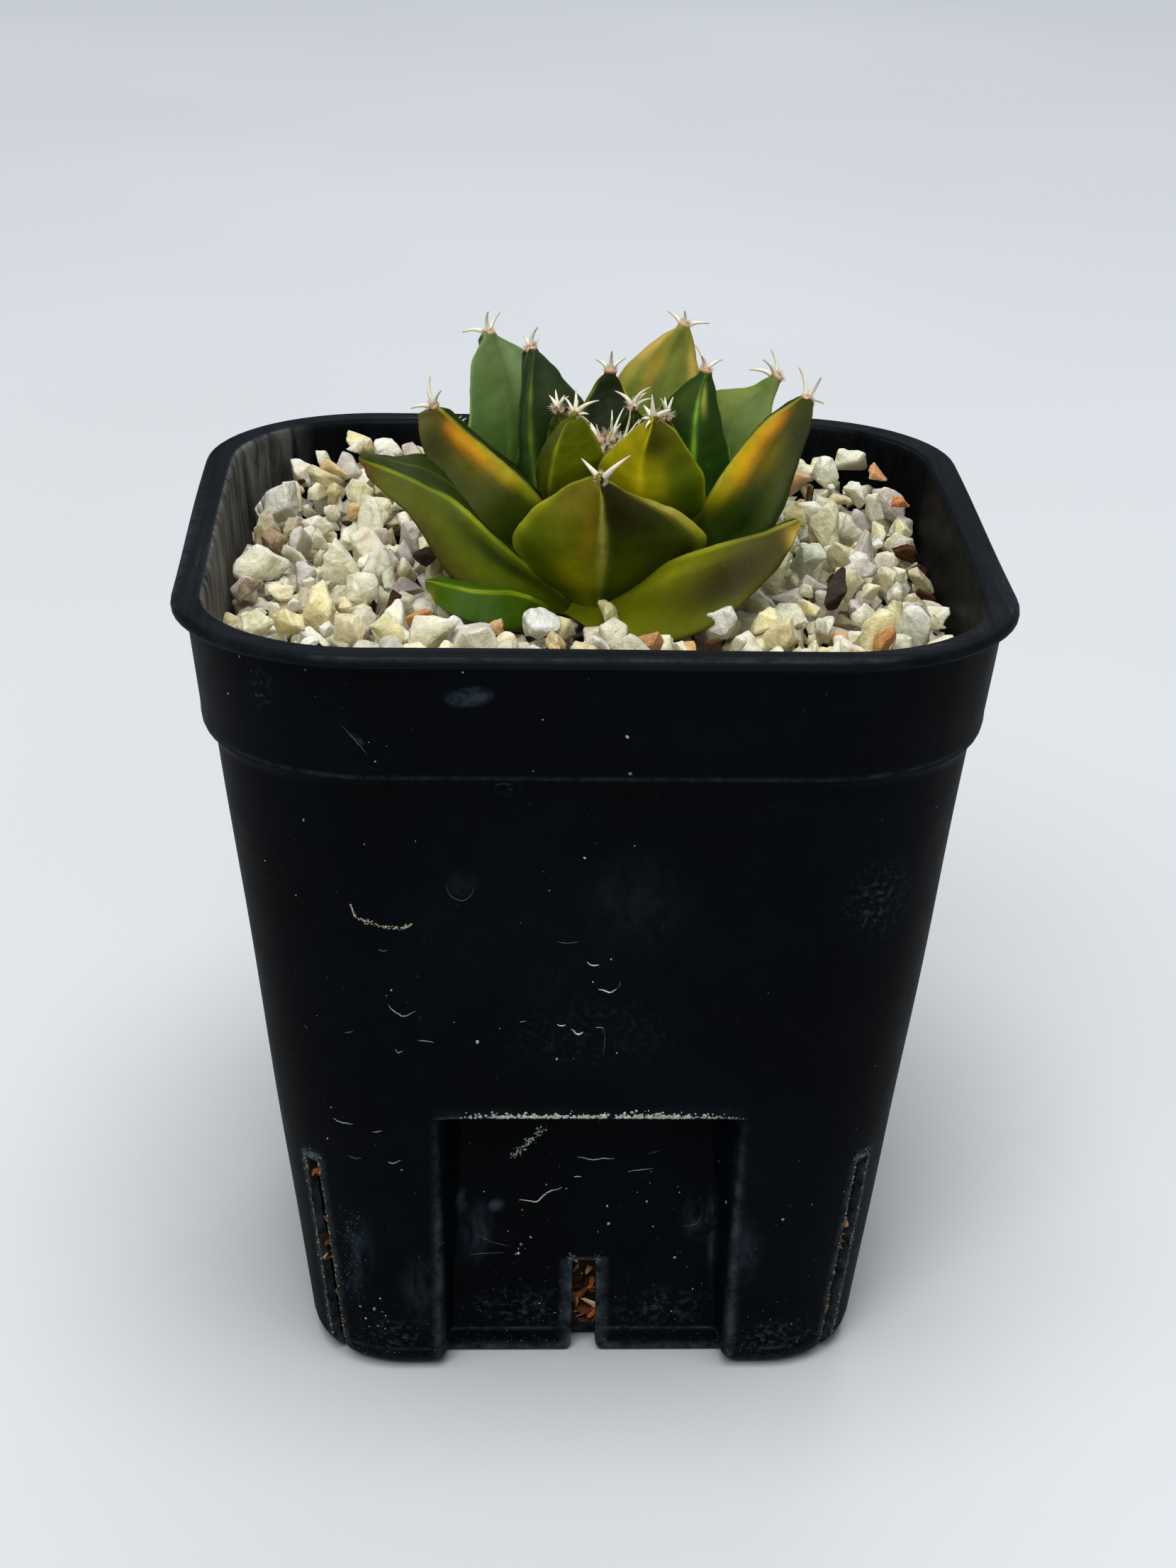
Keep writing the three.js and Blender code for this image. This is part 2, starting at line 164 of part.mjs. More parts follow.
    left: [[-4.9, -7.1, 84], [-3.5, -8, 84.7], [-0.2, -9, 86], [3, -10, 87.5], [6, -11.1, 89.6], [8.9, -12, 91.6], [12.1, -12.6, 92.9], [15.3, -12.9, 94.1], [18.6, -12.7, 94.9], [21.9, -12, 96]],
    right: [[-4.7, -5.3, 82.4], [-3.1, -5, 82], [0.3, -5.2, 82.7], [3.6, -5.5, 83.6], [6.6, -6.1, 85.3], [9.6, -6.8, 87.1], [12.8, -7.9, 88.8], [15.8, -9.2, 90.8], [19, -10.2, 92.8], [22, -11, 95.1]],
    keel: [[-4.7, -8, 84.1], [-3.2, -9.5, 84.8], [0.2, -13.2, 84.2], [3.9, -15.9, 84.1], [7.6, -17.9, 84.8], [11.2, -18.9, 86.2], [14.5, -18.3, 88.1], [17.5, -17, 90.3], [20, -15.1, 92.7], [22.1, -12.6, 95.4]],
    crest: [[-4.8, -6.3, 83.1], [-3.2, -6.6, 83.2], [0.1, -7.3, 84.1], [3.4, -8.1, 85.2], [6.4, -9, 87], [9.4, -9.8, 88.9], [12.6, -10.6, 90.6], [15.7, -11.3, 92.2], [18.9, -11.6, 93.7], [21.9, -11.5, 95.5]] },
  { name: 'tubercle_18_rear_left', edge: 0.7,
    left: [[-4.8, 3.7, 86.6], [-7.2, 4, 87.2], [-9.4, 4.4, 88], [-11.3, 5.2, 88.8], [-12.7, 6.4, 89.9], [-13.8, 8, 91.1], [-14.5, 9.7, 92.5], [-15, 11.7, 93.9], [-15.4, 13.6, 95.5], [-15.9, 15.2, 97]],
    right: [[-1.1, 8.1, 87.4], [-1.8, 10.2, 88.3], [-2.6, 12.2, 89.3], [-3.7, 13.8, 90.3], [-5.2, 14.8, 91.3], [-6.9, 15.4, 92.3], [-8.9, 15.8, 93.4], [-11, 15.9, 94.6], [-13.2, 15.9, 95.8], [-15, 16.2, 97.2]],
    keel: [[-3.5, 6.8, 84.3], [-5.3, 8.4, 84.2], [-7.2, 10.1, 84.3], [-8.8, 11.4, 85.4], [-10.4, 12.5, 86.7], [-11.8, 13.5, 88.4], [-13, 14.3, 90.3], [-14, 15, 92.4], [-15, 15.6, 94.4], [-15.9, 16.2, 96.4]],
    crest: [[-2.9, 5.9, 87], [-4.5, 7.2, 87.6], [-6.1, 8.4, 88.3], [-7.6, 9.7, 89.1], [-9.1, 10.8, 90.1], [-10.6, 11.9, 91.2], [-11.9, 13, 92.5], [-13.2, 14, 94], [-14.3, 14.8, 95.5], [-15.5, 15.7, 97.1]],
    areole: [-15.5, 15.7, 97.1], aim: [-0.57, 0.44, 0.69],
    spines: [[-16.5, 13.7, 99.2], [-13.9, 17.3, 99.1], [-14.5, 15.2, 100]] },
  { name: 'tubercle_19_rear_centre', edge: 0.7,
    left: [[-2.9, 7.1, 87.2], [-4.9, 8.9, 87.8], [-6.6, 10.8, 88.5], [-7.8, 12.7, 89.3], [-8.2, 14.8, 90.1], [-8, 17.1, 91], [-7.5, 19.4, 91.9], [-6.6, 21.8, 92.8], [-5.6, 24.2, 93.9], [-5, 26.4, 95.1]],
    right: [[3.6, 8.9, 86.5], [4.5, 11.5, 86.8], [5.1, 14.1, 87.3], [5.2, 16.4, 88], [4.6, 18.5, 88.8], [3.4, 20.5, 89.8], [1.8, 22.2, 91], [-0.1, 23.8, 92.2], [-2, 25.3, 93.6], [-3.6, 26.8, 95]],
    keel: [[-0.1, 8.6, 83.8], [-0.9, 11.1, 83.3], [-1.6, 13.7, 83], [-2.2, 16.1, 83.8], [-2.8, 18.4, 84.9], [-3.2, 20.4, 86.4], [-3.6, 22.3, 88.2], [-3.9, 24, 90.3], [-4.2, 25.6, 92.2], [-4.5, 27.1, 94.2]],
    crest: [[0.3, 8, 86.8], [-0.2, 10.3, 87.1], [-0.8, 12.5, 87.6], [-1.4, 14.7, 88.2], [-1.9, 16.9, 88.9], [-2.5, 19, 89.9], [-3, 21, 91], [-3.4, 23, 92.2], [-3.9, 24.8, 93.6], [-4.3, 26.6, 95.1]],
    areole: [-4.3, 26.6, 95.1], aim: [-0.2, 0.8, 0.56],
    spines: [[-6.4, 26.1, 97.2], [-2.2, 27.2, 97.1], [-3.9, 26.1, 98]] },
  { name: 'tubercle_20_rear_right', edge: 0.7,
    left: [[1.8, 9.1, 86.7], [1.6, 11.7, 87.2], [1.7, 14.2, 87.8], [2.1, 16.4, 88.5], [3.2, 18.2, 89.4], [4.8, 19.8, 90.5], [6.6, 21, 91.6], [8.8, 22.1, 92.9], [10.8, 23, 94.2], [12.7, 24.1, 95.7]],
    right: [[7.4, 5.9, 87.3], [9.7, 7.2, 88], [11.7, 8.5, 88.7], [13.2, 10.1, 89.5], [14.1, 12, 90.4], [14.5, 14.1, 91.3], [14.5, 16.4, 92.3], [14.2, 18.8, 93.3], [13.9, 21.2, 94.5], [13.8, 23.4, 95.8]],
    keel: [[5.2, 8, 84.1], [6.5, 10.2, 83.8], [7.8, 12.6, 83.5], [8.9, 14.7, 84.4], [9.9, 16.6, 85.6], [10.8, 18.4, 87.1], [11.7, 20.1, 88.9], [12.3, 21.5, 91], [13, 22.9, 92.9], [13.6, 24.2, 94.9]],
    crest: [[4.6, 7.5, 87], [5.7, 9.5, 87.4], [6.8, 11.5, 87.9], [7.8, 13.4, 88.5], [8.8, 15.3, 89.4], [9.8, 17.1, 90.4], [10.7, 18.9, 91.5], [11.6, 20.6, 92.8], [12.5, 22.2, 94.2], [13.2, 23.7, 95.7]],
    areole: [13.2, 23.7, 95.7], aim: [0.38, 0.71, 0.59],
    spines: [[11.3, 24.7, 97.9], [15.2, 22.7, 97.7], [13.1, 23, 98.7]] },
  { name: 'tubercle_21_right_rear_low', edge: 0.7,
    left: [[5.6, 7.5, 87.2], [6.5, 9.4, 87.7], [7.5, 11.1, 88.3], [8.8, 12.4, 88.8], [10.3, 13.2, 89.3], [12.1, 13.6, 89.8], [14, 13.7, 90.4], [16.1, 13.6, 90.9], [18.2, 13.4, 91.5], [20.1, 13.6, 92.2]],
    right: [[8.4, 2.9, 86.4], [10.6, 2.8, 86.7], [12.7, 2.9, 87], [14.5, 3.4, 87.4], [16, 4.3, 87.9], [17.2, 5.7, 88.6], [18.2, 7.2, 89.4], [19.1, 9.1, 90.2], [19.9, 10.9, 91.1], [20.9, 12.4, 92]],
    keel: [[7.3, 5.8, 84.2], [9, 6.9, 83.8], [10.7, 8.1, 83.4], [12.4, 9, 83.9], [14, 9.9, 84.7], [15.5, 10.7, 85.7], [16.9, 11.4, 87], [18.2, 12, 88.6], [19.5, 12.7, 89.9], [20.7, 13.3, 91.3]],
    crest: [[7, 5.2, 86.8], [8.6, 6.1, 87], [10.2, 7.1, 87.2], [11.7, 8, 87.6], [13.3, 8.9, 88.1], [14.8, 9.8, 88.7], [16.3, 10.6, 89.4], [17.7, 11.4, 90.2], [19.1, 12.2, 91.1], [20.5, 13, 92.1]],
    areole: [20.5, 13, 92.1], aim: [0.78, 0.45, 0.44],
    spines: [[19.6, 15, 94.3], [21.9, 11.3, 94.1], [20.5, 12.7, 95.2]] },
  { name: 'tubercle_22_rear_left_low', edge: 0.7,
    left: [[-3.9, 5.3, 85.4], [-6, 6.1, 85.4], [-7.9, 7, 85.4], [-9.5, 8.2, 85.5], [-10.6, 9.8, 85.8], [-11.3, 11.6, 86], [-11.8, 13.6, 86.4], [-12, 15.7, 86.8], [-12.3, 17.9, 87.3], [-12.8, 19.8, 87.8]],
    right: [[0.1, 8.5, 85.8], [-0.1, 10.7, 85.9], [-0.5, 12.8, 86.1], [-1.3, 14.6, 86.3], [-2.5, 16, 86.5], [-4.1, 17.1, 86.7], [-5.9, 18.1, 86.9], [-7.9, 18.8, 87.2], [-9.9, 19.6, 87.5], [-11.7, 20.6, 87.9]],
    keel: [[-1.8, 7.1, 83.2], [-3, 8.7, 82.5], [-4.2, 10.3, 81.8], [-5.4, 11.9, 81.9], [-6.6, 13.4, 82.3], [-7.8, 14.9, 83], [-9, 16.3, 83.9], [-10.1, 17.7, 85.1], [-11.2, 19, 86.1], [-12.3, 20.4, 87.1]],
    crest: [[-1.9, 6.9, 85.6], [-3, 8.4, 85.5], [-4.2, 9.9, 85.4], [-5.4, 11.4, 85.4], [-6.5, 12.9, 85.5], [-7.7, 14.4, 85.8], [-8.9, 15.9, 86.2], [-10, 17.4, 86.7], [-11.1, 18.8, 87.2], [-12.2, 20.2, 87.9]],
    areole: [-12.2, 20.2, 87.9], aim: [-0.6, 0.77, 0.24],
    spines: [[-14.4, 19.4, 89.9], [-11, 22.1, 89.7]] },
];

// ------------------------------------------------------------------- helpers
const wasm = await Module();
wasm.setup();

function toSolid(geometry) {
  const g = geometry.clone();
  for (const name of Object.keys(g.attributes)) if (name !== 'position') g.deleteAttribute(name);
  const merged = mergeVertices(g, 1e-5);
  return new wasm.Manifold(new wasm.Mesh({
    numProp: 3,
    vertProperties: new Float32Array(merged.attributes.position.array),
    triVerts: new Uint32Array(merged.index.array),
  }));
}

function toGeometry(solid) {
  const m = solid.getMesh();
  const g = new THREE.BufferGeometry();
  const p = new Float32Array(m.numVert * 3);
  for (let i = 0; i < m.numVert; i++) for (let k = 0; k < 3; k++) p[3 * i + k] = m.vertProperties[i * m.numProp + k];
  g.setAttribute('position', new THREE.BufferAttribute(p, 3));
  g.setIndex(new THREE.BufferAttribute(new Uint32Array(m.triVerts), 1));
  g.computeVertexNormals();
  return g;
}

// The main body of a cut piece, without the crumbs that a cut can leave.
function largest(solid) {
  let best = solid;
  for (let pass = 0; pass < 3; pass++) {
    const parts = toSolid(toGeometry(best)).decompose();
    best = parts[0];
    for (const p of parts) if (p.volume() > best.volume()) best = p;
    if (parts.length === 1) break;
  }
  return best;
}

// A closed loft through rings of equal point count, with fan caps at the ends.
function loft(rings) {
  const n = rings[0].length;
  const points = [];
  for (const r of rings) for (const p of r) points.push(p.x, p.y, p.z);
  const index = [];
  for (let i = 0; i + 1 < rings.length; i++) {
    for (let j = 0; j < n; j++) {
      const a = i * n + j, b = i * n + ((j + 1) % n), c = a + n, d = b + n;
      index.push(a, b, d, a, d, c);
    }
  }
  const centre = (r) => r.reduce((s, p) => s.add(p), new THREE.Vector3()).multiplyScalar(1 / n);
  const first = centre(rings[0]), last = centre(rings[rings.length - 1]);
  const ia = points.length / 3; points.push(first.x, first.y, first.z);
  const ib = ia + 1; points.push(last.x, last.y, last.z);
  const top = (rings.length - 1) * n;
  for (let j = 0; j < n; j++) {
    index.push(ia, (j + 1) % n, j);
    index.push(ib, top + j, top + ((j + 1) % n));
  }
  const g = new THREE.BufferGeometry();
  g.setAttribute('position', new THREE.Float32BufferAttribute(points, 3));
  g.setIndex(index);
  let volume = 0;
  const v = (i) => new THREE.Vector3(points[3 * i], points[3 * i + 1], points[3 * i + 2]);
  for (let i = 0; i < index.length; i += 3) volume += v(index[i]).dot(v(index[i + 1]).cross(v(index[i + 2])));
  if (volume < 0) {
    for (let i = 0; i < index.length; i += 3) [index[i + 1], index[i + 2]] = [index[i + 2], index[i + 1]];
    g.setIndex(index);
  }
  return g;
}

function roundedSquare(side, radius, z, steps = CORNER_STEPS) {
  const h = side / 2 - radius, out = [];
  const corners = [[1, 1, 0], [-1, 1, 90], [-1, -1, 180], [1, -1, 270]];
  for (const [sx, sy, start] of corners) {
    for (let i = 0; i <= steps; i++) {
      const a = THREE.MathUtils.degToRad(start + (90 * i) / steps);
      out.push(new THREE.Vector3(sx * h + radius * Math.cos(a), sy * h + radius * Math.sin(a), z));
    }
  }
  return out;
}

// Outside of the body at a height.
function bodySide(z) { return BODY_LOW_SIDE + ((BODY_TOP_SIDE - BODY_LOW_SIDE) * z) / COLLAR_Z; }
function bodyRadius(z) { return BODY_LOW_RADIUS + ((BODY_TOP_RADIUS - BODY_LOW_RADIUS) * z) / COLLAR_Z; }

// Tapered block that shapes one side panel; grow enlarges it on every face.
function recess(turn, grow = 0) {
  const g = new THREE.BufferGeometry();
  const rings = [];
  for (const [z, half, mouth] of [[-2 - grow, RECESS_HALF_LOW, RECESS_MOUTH_LOW], [RECESS_TOP_Z + grow, RECESS_HALF_TOP, RECESS_MOUTH_TOP]]) {
    const yf = -(RECESS_FACE - grow), yo = -44;
    const outer = mouth + ((44 - 34) * (mouth - half)) / (34 - RECESS_FACE) + grow;
    rings.push([new THREE.Vector3(-half - grow, yf, z), new THREE.Vector3(-outer, yo, z), new THREE.Vector3(outer, yo, z), new THREE.Vector3(half + grow, yf, z)]);
  }
  const l = loft(rings);
  l.rotateZ((turn * Math.PI) / 2);
  return toSolid(l);
}

function box(w, d, h, x, y, z, turn = 0) {
  const g = new THREE.BoxGeometry(w, d, h);
  g.translate(x, y, z);
  g.rotateZ(turn);
  return toSolid(g);
}

// ----------------------------------------------------------------------- pot
function makePot() {
  const t = LIP_THICKNESS;
  let outer = toSolid(loft([
    roundedSquare(BODY_LOW_SIDE - 3.4, BODY_LOW_RADIUS - 0.9, 0),
    roundedSquare(BODY_LOW_SIDE - 1.5, BODY_LOW_RADIUS - 0.5, 0.6),
    roundedSquare(BODY_LOW_SIDE - 0.5, BODY_LOW_RADIUS - 0.1, 1.5),
    roundedSquare(bodySide(2.8) - 0.35, bodyRadius(2.8), 2.8),
    roundedSquare(bodySide(3.0), bodyRadius(3.0), 3.0),
    roundedSquare(BODY_TOP_SIDE, BODY_TOP_RADIUS, COLLAR_Z - 0.9),
    roundedSquare(COLLAR_LOW_SIDE - 0.9, COLLAR_RADIUS - 1.6, COLLAR_Z - 0.25),
    roundedSquare(COLLAR_LOW_SIDE, COLLAR_RADIUS, COLLAR_Z + 0.7),
    roundedSquare(COLLAR_TOP_SIDE, COLLAR_RADIUS, POT_HEIGHT - t - 0.35),
    roundedSquare(RIM_SIDE - 0.7, RIM_RADIUS - 0.3, POT_HEIGHT - t),
    roundedSquare(RIM_SIDE, RIM_RADIUS, POT_HEIGHT - t + 0.4),
    roundedSquare(RIM_SIDE, RIM_RADIUS, POT_HEIGHT - 0.4),
    roundedSquare(RIM_SIDE - 0.8, RIM_RADIUS - 0.4, POT_HEIGHT),
  ]));
  const innerTop = BODY_TOP_SIDE - 2 * WALL;
  let inner = toSolid(loft([
    roundedSquare(bodySide(FLOOR) - 2 * WALL, bodyRadius(FLOOR) - WALL, FLOOR),
    roundedSquare(innerTop, BODY_TOP_RADIUS - WALL, COLLAR_Z - 0.6),
    roundedSquare(innerTop + 2.2, BODY_TOP_RADIUS + 0.6, COLLAR_Z + 1.2),
    roundedSquare(LIP_INNER_SIDE - 0.3, RIM_RADIUS - 3.4, POT_HEIGHT - t),
    roundedSquare(LIP_INNER_SIDE, RIM_RADIUS - 3.4, POT_HEIGHT - 0.3),
    roundedSquare(LIP_INNER_SIDE + 0.6, RIM_RADIUS - 3.1, POT_HEIGHT + 0.01),
  ]));
  for (let i = 0; i < 4; i++) {
    outer = outer.subtract(recess(i));
    inner = inner.subtract(recess(i, WALL));
  }
  let pot = outer.subtract(inner);
  for (let i = 0; i < 4; i++) {
    const q = (i * Math.PI) / 2;
    pot = pot.subtract(box(PANEL_SLOT[0], 4.4, PANEL_SLOT[1] + 2, 0, -(RECESS_FACE - 1.2), PANEL_SLOT[1] / 2 - 1, q));
    const [w, z0, z1] = CORNER_SLOT;
    pot = pot.subtract(box(16, w, z1 - z0, 44.6, 0, (z0 + z1) / 2, q + Math.PI / 4));
    const hole = new THREE.CylinderGeometry(DRAIN_RADIUS * 0.75, DRAIN_RADIUS * 0.75, 8, 12);
    hole.rotateX(Math.PI / 2);
    hole.translate(16, 0, 0);
    hole.rotateZ(q + Math.PI / 4);
    pot = pot.subtract(toSolid(hole));
  }
  const drain = new THREE.CylinderGeometry(DRAIN_RADIUS, DRAIN_RADIUS, 8, 16);
  drain.rotateX(Math.PI / 2);
  return largest(pot.subtract(toSolid(drain)));
}

function makeMix() {
  const clear = WALL + 0.4;
  let mix = toSolid(loft([
    roundedSquare(bodySide(2.2) - 2 * clear, bodyRadius(2.2) - clear, FLOOR + 0.4, 4),
    roundedSquare(BODY_TOP_SIDE - 2 * clear, BODY_TOP_RADIUS - clear, COLLAR_Z - 0.6, 4),
    roundedSquare(BODY_TOP_SIDE - 2 * clear + 0.6, BODY_TOP_RADIUS - clear, MIX_TOP_Z, 4),
  ]));
  for (let i = 0; i < 4; i++) mix = mix.subtract(recess(i, clear));
  return mix;
}

// Repeatable noise for the gravel's surface.
function hash(i, j) {
  const s = Math.sin(i * 127.1 + j * 311.7) * 43758.5453;
  return s - Math.floor(s);
}

function makeGravel(plant) {
  const scales = [0, 0.3, 0.52, 0.72, 0.88, 1];
  const side = (z) => {
    const f = (z - (COLLAR_Z + 1.2)) / (POT_HEIGHT - LIP_THICKNESS - COLLAR_Z - 1.2);
    const s0 = BODY_TOP_SIDE - 2 * WALL + 2.2;
    return s0 + (LIP_INNER_SIDE - 0.3 - s0) * f - 0.8;
  };
  const rings = [];
  const low = roundedSquare(BODY_TOP_SIDE - 2 * WALL - 0.8, BODY_TOP_RADIUS - WALL, GRAVEL_LOW_Z, 4);
  rings.push(low);
  for (let k = scales.length - 1; k > 0; k--) {
    const ring = roundedSquare(side(GRAVEL_Z), BODY_TOP_RADIUS, 0, 4).map((p, j) => {
      const x = p.x * scales[k], y = p.y * scales[k];
      const pile = 1.6 * Math.exp(-((x + 20) ** 2 + (y - 28) ** 2) / 220) - 0.9 * Math.exp(-((x - STEM_AXIS[0]) ** 2 + (y - STEM_AXIS[1]) ** 2) / 160);
      const rough = (hash(j, k) - 0.5) * (k === scales.length - 1 ? 0.5 : 1.5);
      return new THREE.Vector3(x, y, GRAVEL_Z + pile + rough);
    });
    rings.push(ring);
  }
  return largest(toSolid(loft(rings)).subtract(plant));
}

// --------------------------------------------------------------------- plant
function rail(points) {
  return new THREE.CatmullRomCurve3(points.map((p) => new THREE.Vector3(...p)), false, 'centripetal');
}

// grow pushes the surface out, to cut a clearance into the neighbours.
function tubercle(spec, grow = 0) {
  const stations = [0, 0.11, 0.24, 0.42, 0.6, 0.8, 1];
  const curves = ['left', 'right', 'keel', 'crest'].map((k) => rail(spec[k]));
  const rings = [];
  const middles = [];
  for (const t of stations) {
    const [L, R, K, C] = curves.map((c) => c.getPoint(t));
    const mid = L.clone().add(R).multiplyScalar(0.5);
    const W = R.clone().sub(L).multiplyScalar(0.5);
    const Kv = K.sub(mid), Cv = C.sub(mid);
    const wn = W.clone().normalize();
    const up = Kv.clone().addScaledVector(wn, -Kv.dot(wn)).normalize().negate();
    const e = Math.min(spec.edge, W.length() * 0.8);
    const ring = [];
    for (let j = 0; j < SECTION_SIDES; j++) {
      const a = (2 * Math.PI * j) / SECTION_SIDES, X = Math.cos(a), s = Math.sin(a);
      const r = s >= 0 ? 0.25 : 0.12, B = s >= 0 ? Cv : Kv;
      const h = (Math.hypot(X, r) - r) / (Math.hypot(1, r) - r);
      const p = mid.clone().addScaledVector(W, X).addScaledVector(B, 1 - Math.pow(h, 1.25)).addScaledVector(up, (s >= 0 ? 1 : -1) * e * Math.abs(s));
      ring.push(p);
    }
    const c = ring.reduce((q, p) => q.add(p), new THREE.Vector3()).multiplyScalar(1 / SECTION_SIDES);
    middles.push(c);
    if (grow > 0) {
      const along = W.clone().cross(up).normalize();
      const push = ring.map((p, j) => ring[(j + 1) % SECTION_SIDES].clone().sub(ring[(j + SECTION_SIDES - 1) % SECTION_SIDES]).cross(along).normalize());
      const turn = push[0].dot(W) > 0 ? 1 : -1;
      ring.forEach((p, j) => p.addScaledVector(push[j], turn * grow * 1.25));
    }
    rings.push(ring);
  }
  // Round the tip off, and close the foot.
  const n = rings.length;
  const ahead = middles[n - 1].clone().sub(middles[n - 2]).normalize();
  rings.push(rings[n - 1].map((p) => p.clone().sub(middles[n - 1]).multiplyScalar(0.55).add(middles[n - 1]).addScaledVector(ahead, 0.45 + grow)));
  if (grow > 0) {
    const back = middles[0].clone().sub(middles[1]).normalize();
    rings[0] = rings[0].map((p) => p.clone().addScaledVector(back, grow));
  }
  return toSolid(loft(rings));
}

function spineCluster(spec) {
  const centre = new THREE.Vector3(...spec.areole);
  const aim = new THREE.Vector3(...spec.aim).normalize();
  const pad = new THREE.SphereGeometry(1.0, 6, 4);
  pad.scale(1, 1, 0.8);
  pad.applyQuaternion(new THREE.Quaternion().setFromUnitVectors(new THREE.Vector3(0, 0, 1), aim));
  pad.translate(centre.x + 0.45 * aim.x, centre.y + 0.45 * aim.y, centre.z + 0.45 * aim.z);
  let cluster = toSolid(pad);
  for (const tip of spec.spines) {
    const end = new THREE.Vector3(...tip);
    const start = centre.clone();
    const dir = end.clone().sub(start);
    const bend = start.clone().addScaledVector(dir, 0.5).addScaledVector(aim, 0.12 * dir.length());
    const curve = new THREE.QuadraticBezierCurve3(start, bend, end);
    const rings = [];
    for (const [s, r] of [[0, 0.34], [0.55, 0.24], [1, 0.09]]) {
      const c = curve.getPoint(s), t = curve.getTangent(s);
      const side = new THREE.Vector3(0.31, 0.87, 0.38).cross(t).normalize();
      const over = t.clone().cross(side).normalize();
      rings.push([0, 1, 2].map((k) => c.clone().addScaledVector(side, r * Math.cos((k * Math.PI) / 1.5)).addScaledVector(over, r * Math.sin((k * Math.PI) / 1.5))));
    }
    cluster = cluster.add(toSolid(loft(rings)));
  }
  return cluster;
}

// --------------------------------------------------------------------- build
const group = new THREE.Group();

function put(name, solid, colour) {
  const [hex, roughness] = COLOURS[colour];
  const mesh = new THREE.Mesh(toGeometry(solid), new THREE.MeshStandardMaterial({ color: hex, roughness, metalness: 0 }));
  mesh.name = name;
  group.add(mesh);
}

const stemGeometry = new THREE.LatheGeometry(STEM_PROFILE.map(([r, z]) => new THREE.Vector2(r, z)), 16);
stemGeometry.rotateX(Math.PI / 2);
stemGeometry.translate(STEM_AXIS[0], STEM_AXIS[1], 0);
const stem = toSolid(stemGeometry);
const stemGrown = new THREE.LatheGeometry(STEM_PROFILE.map(([r, z], i) => new THREE.Vector2(r === 0 ? 0 : r + GAP, i < 2 ? z - GAP : z + GAP)), 16);
stemGrown.rotateX(Math.PI / 2);
stemGrown.translate(STEM_AXIS[0], STEM_AXIS[1], 0);

let taken = toSolid(stemGrown);   // space that is already filled, with its clearance
const bodies = [];
for (const spec of TUBERCLES) {
  const solid = largest(tubercle(spec).subtract(taken));
  taken = taken.add(tubercle(spec, GAP)).add(solid);
  bodies.push([spec, solid]);
}

put('nursery_pot', makePot(), 'pot');
put('potting_mix', makeMix(), 'mix');
put('gravel_top_dressing', makeGravel(taken), 'gravel');
put('stem', stem, 'stem');
for (const [spec, solid] of bodies) put(spec.name, solid, spec.tone ?? 'green');

// Growing tip: a tuft of new areoles between the innermost tubercles.
const clusters = [];
for (const spec of TUBERCLES) if (spec.areole) clusters.push([spec.name.replace(/^tubercle_(\d+).*$/, 'spines_$1'), spineCluster(spec)]);
clusters.push(['spines_growing_tip', spineCluster({ areole: [2.0, 1.2, 100.9], aim: [0, 0, 1], spines: [[-0.6, 0.6, 103.6], [0.9, 0.2, 103.9], [2.6, 1.2, 104.3], [4.0, 0.6, 103.4], [3.0, 2.6, 103.4]] })]);
for (const [name, solid] of clusters) {
  const cut = largest(solid.subtract(taken));
  put(name, cut, 'spine');
}

export default group;
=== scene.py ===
# Potted star cactus in a square nursery pot: the visual model.
# Lengths inside the builders are millimetres; MM turns them into metres.
import bpy, bmesh, math
import numpy as np
from mathutils import Vector, Matrix, noise
from mathutils.bvhtree import BVHTree


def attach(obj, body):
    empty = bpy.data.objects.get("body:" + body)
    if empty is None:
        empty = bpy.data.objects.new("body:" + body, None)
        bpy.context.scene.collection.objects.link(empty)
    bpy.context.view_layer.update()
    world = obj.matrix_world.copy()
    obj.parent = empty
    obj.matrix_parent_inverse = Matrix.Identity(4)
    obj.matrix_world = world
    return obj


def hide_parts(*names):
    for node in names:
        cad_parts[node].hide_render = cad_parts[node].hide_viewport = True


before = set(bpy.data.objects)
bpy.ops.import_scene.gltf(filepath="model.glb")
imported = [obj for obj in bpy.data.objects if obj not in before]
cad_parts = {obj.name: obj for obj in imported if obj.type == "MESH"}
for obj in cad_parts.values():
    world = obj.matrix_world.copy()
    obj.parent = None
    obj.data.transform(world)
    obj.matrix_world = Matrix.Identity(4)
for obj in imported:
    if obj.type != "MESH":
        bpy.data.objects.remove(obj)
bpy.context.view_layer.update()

MM = 0.001
scene = bpy.context.scene
TAU = 2 * math.pi


# ------------------------------------------------------------------ helpers
def mesh_obj(name, verts, faces, mats=(), smooth=True, attrs=None, sharp=None):
    """verts in millimetres. attrs: {name: array} stored on points, 1 or 3 wide."""
    me = bpy.data.meshes.new(name)
    me.from_pydata([tuple(v) for v in (np.asarray(verts, float) * MM).tolist()], [], faces)
    me.update()
    for m in mats:
        me.materials.append(m)
    if smooth:
        me.polygons.foreach_set("use_smooth", [True] * len(me.polygons))
    for key, val in (attrs or {}).items():
        val = np.asarray(val, np.float32)
        if val.ndim == 1:
            a = me.attributes.new(key, "FLOAT", "POINT")
            a.data.foreach_set("value", val)
        else:
            a = me.attributes.new(key, "FLOAT_COLOR", "POINT")
            col = np.ones((len(val), 4), np.float32)
            col[:, :3] = val
            a.data.foreach_set("color", col.ravel())
    if sharp is not None:
        me.set_sharp_from_angle(angle=math.radians(sharp))
    ob = bpy.data.objects.new(name, me)
    scene.collection.objects.link(ob)
    return ob


def part(ob, nodes):
    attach(ob, "root")
    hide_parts(*([nodes] if isinstance(nodes, str) else nodes))
    return ob


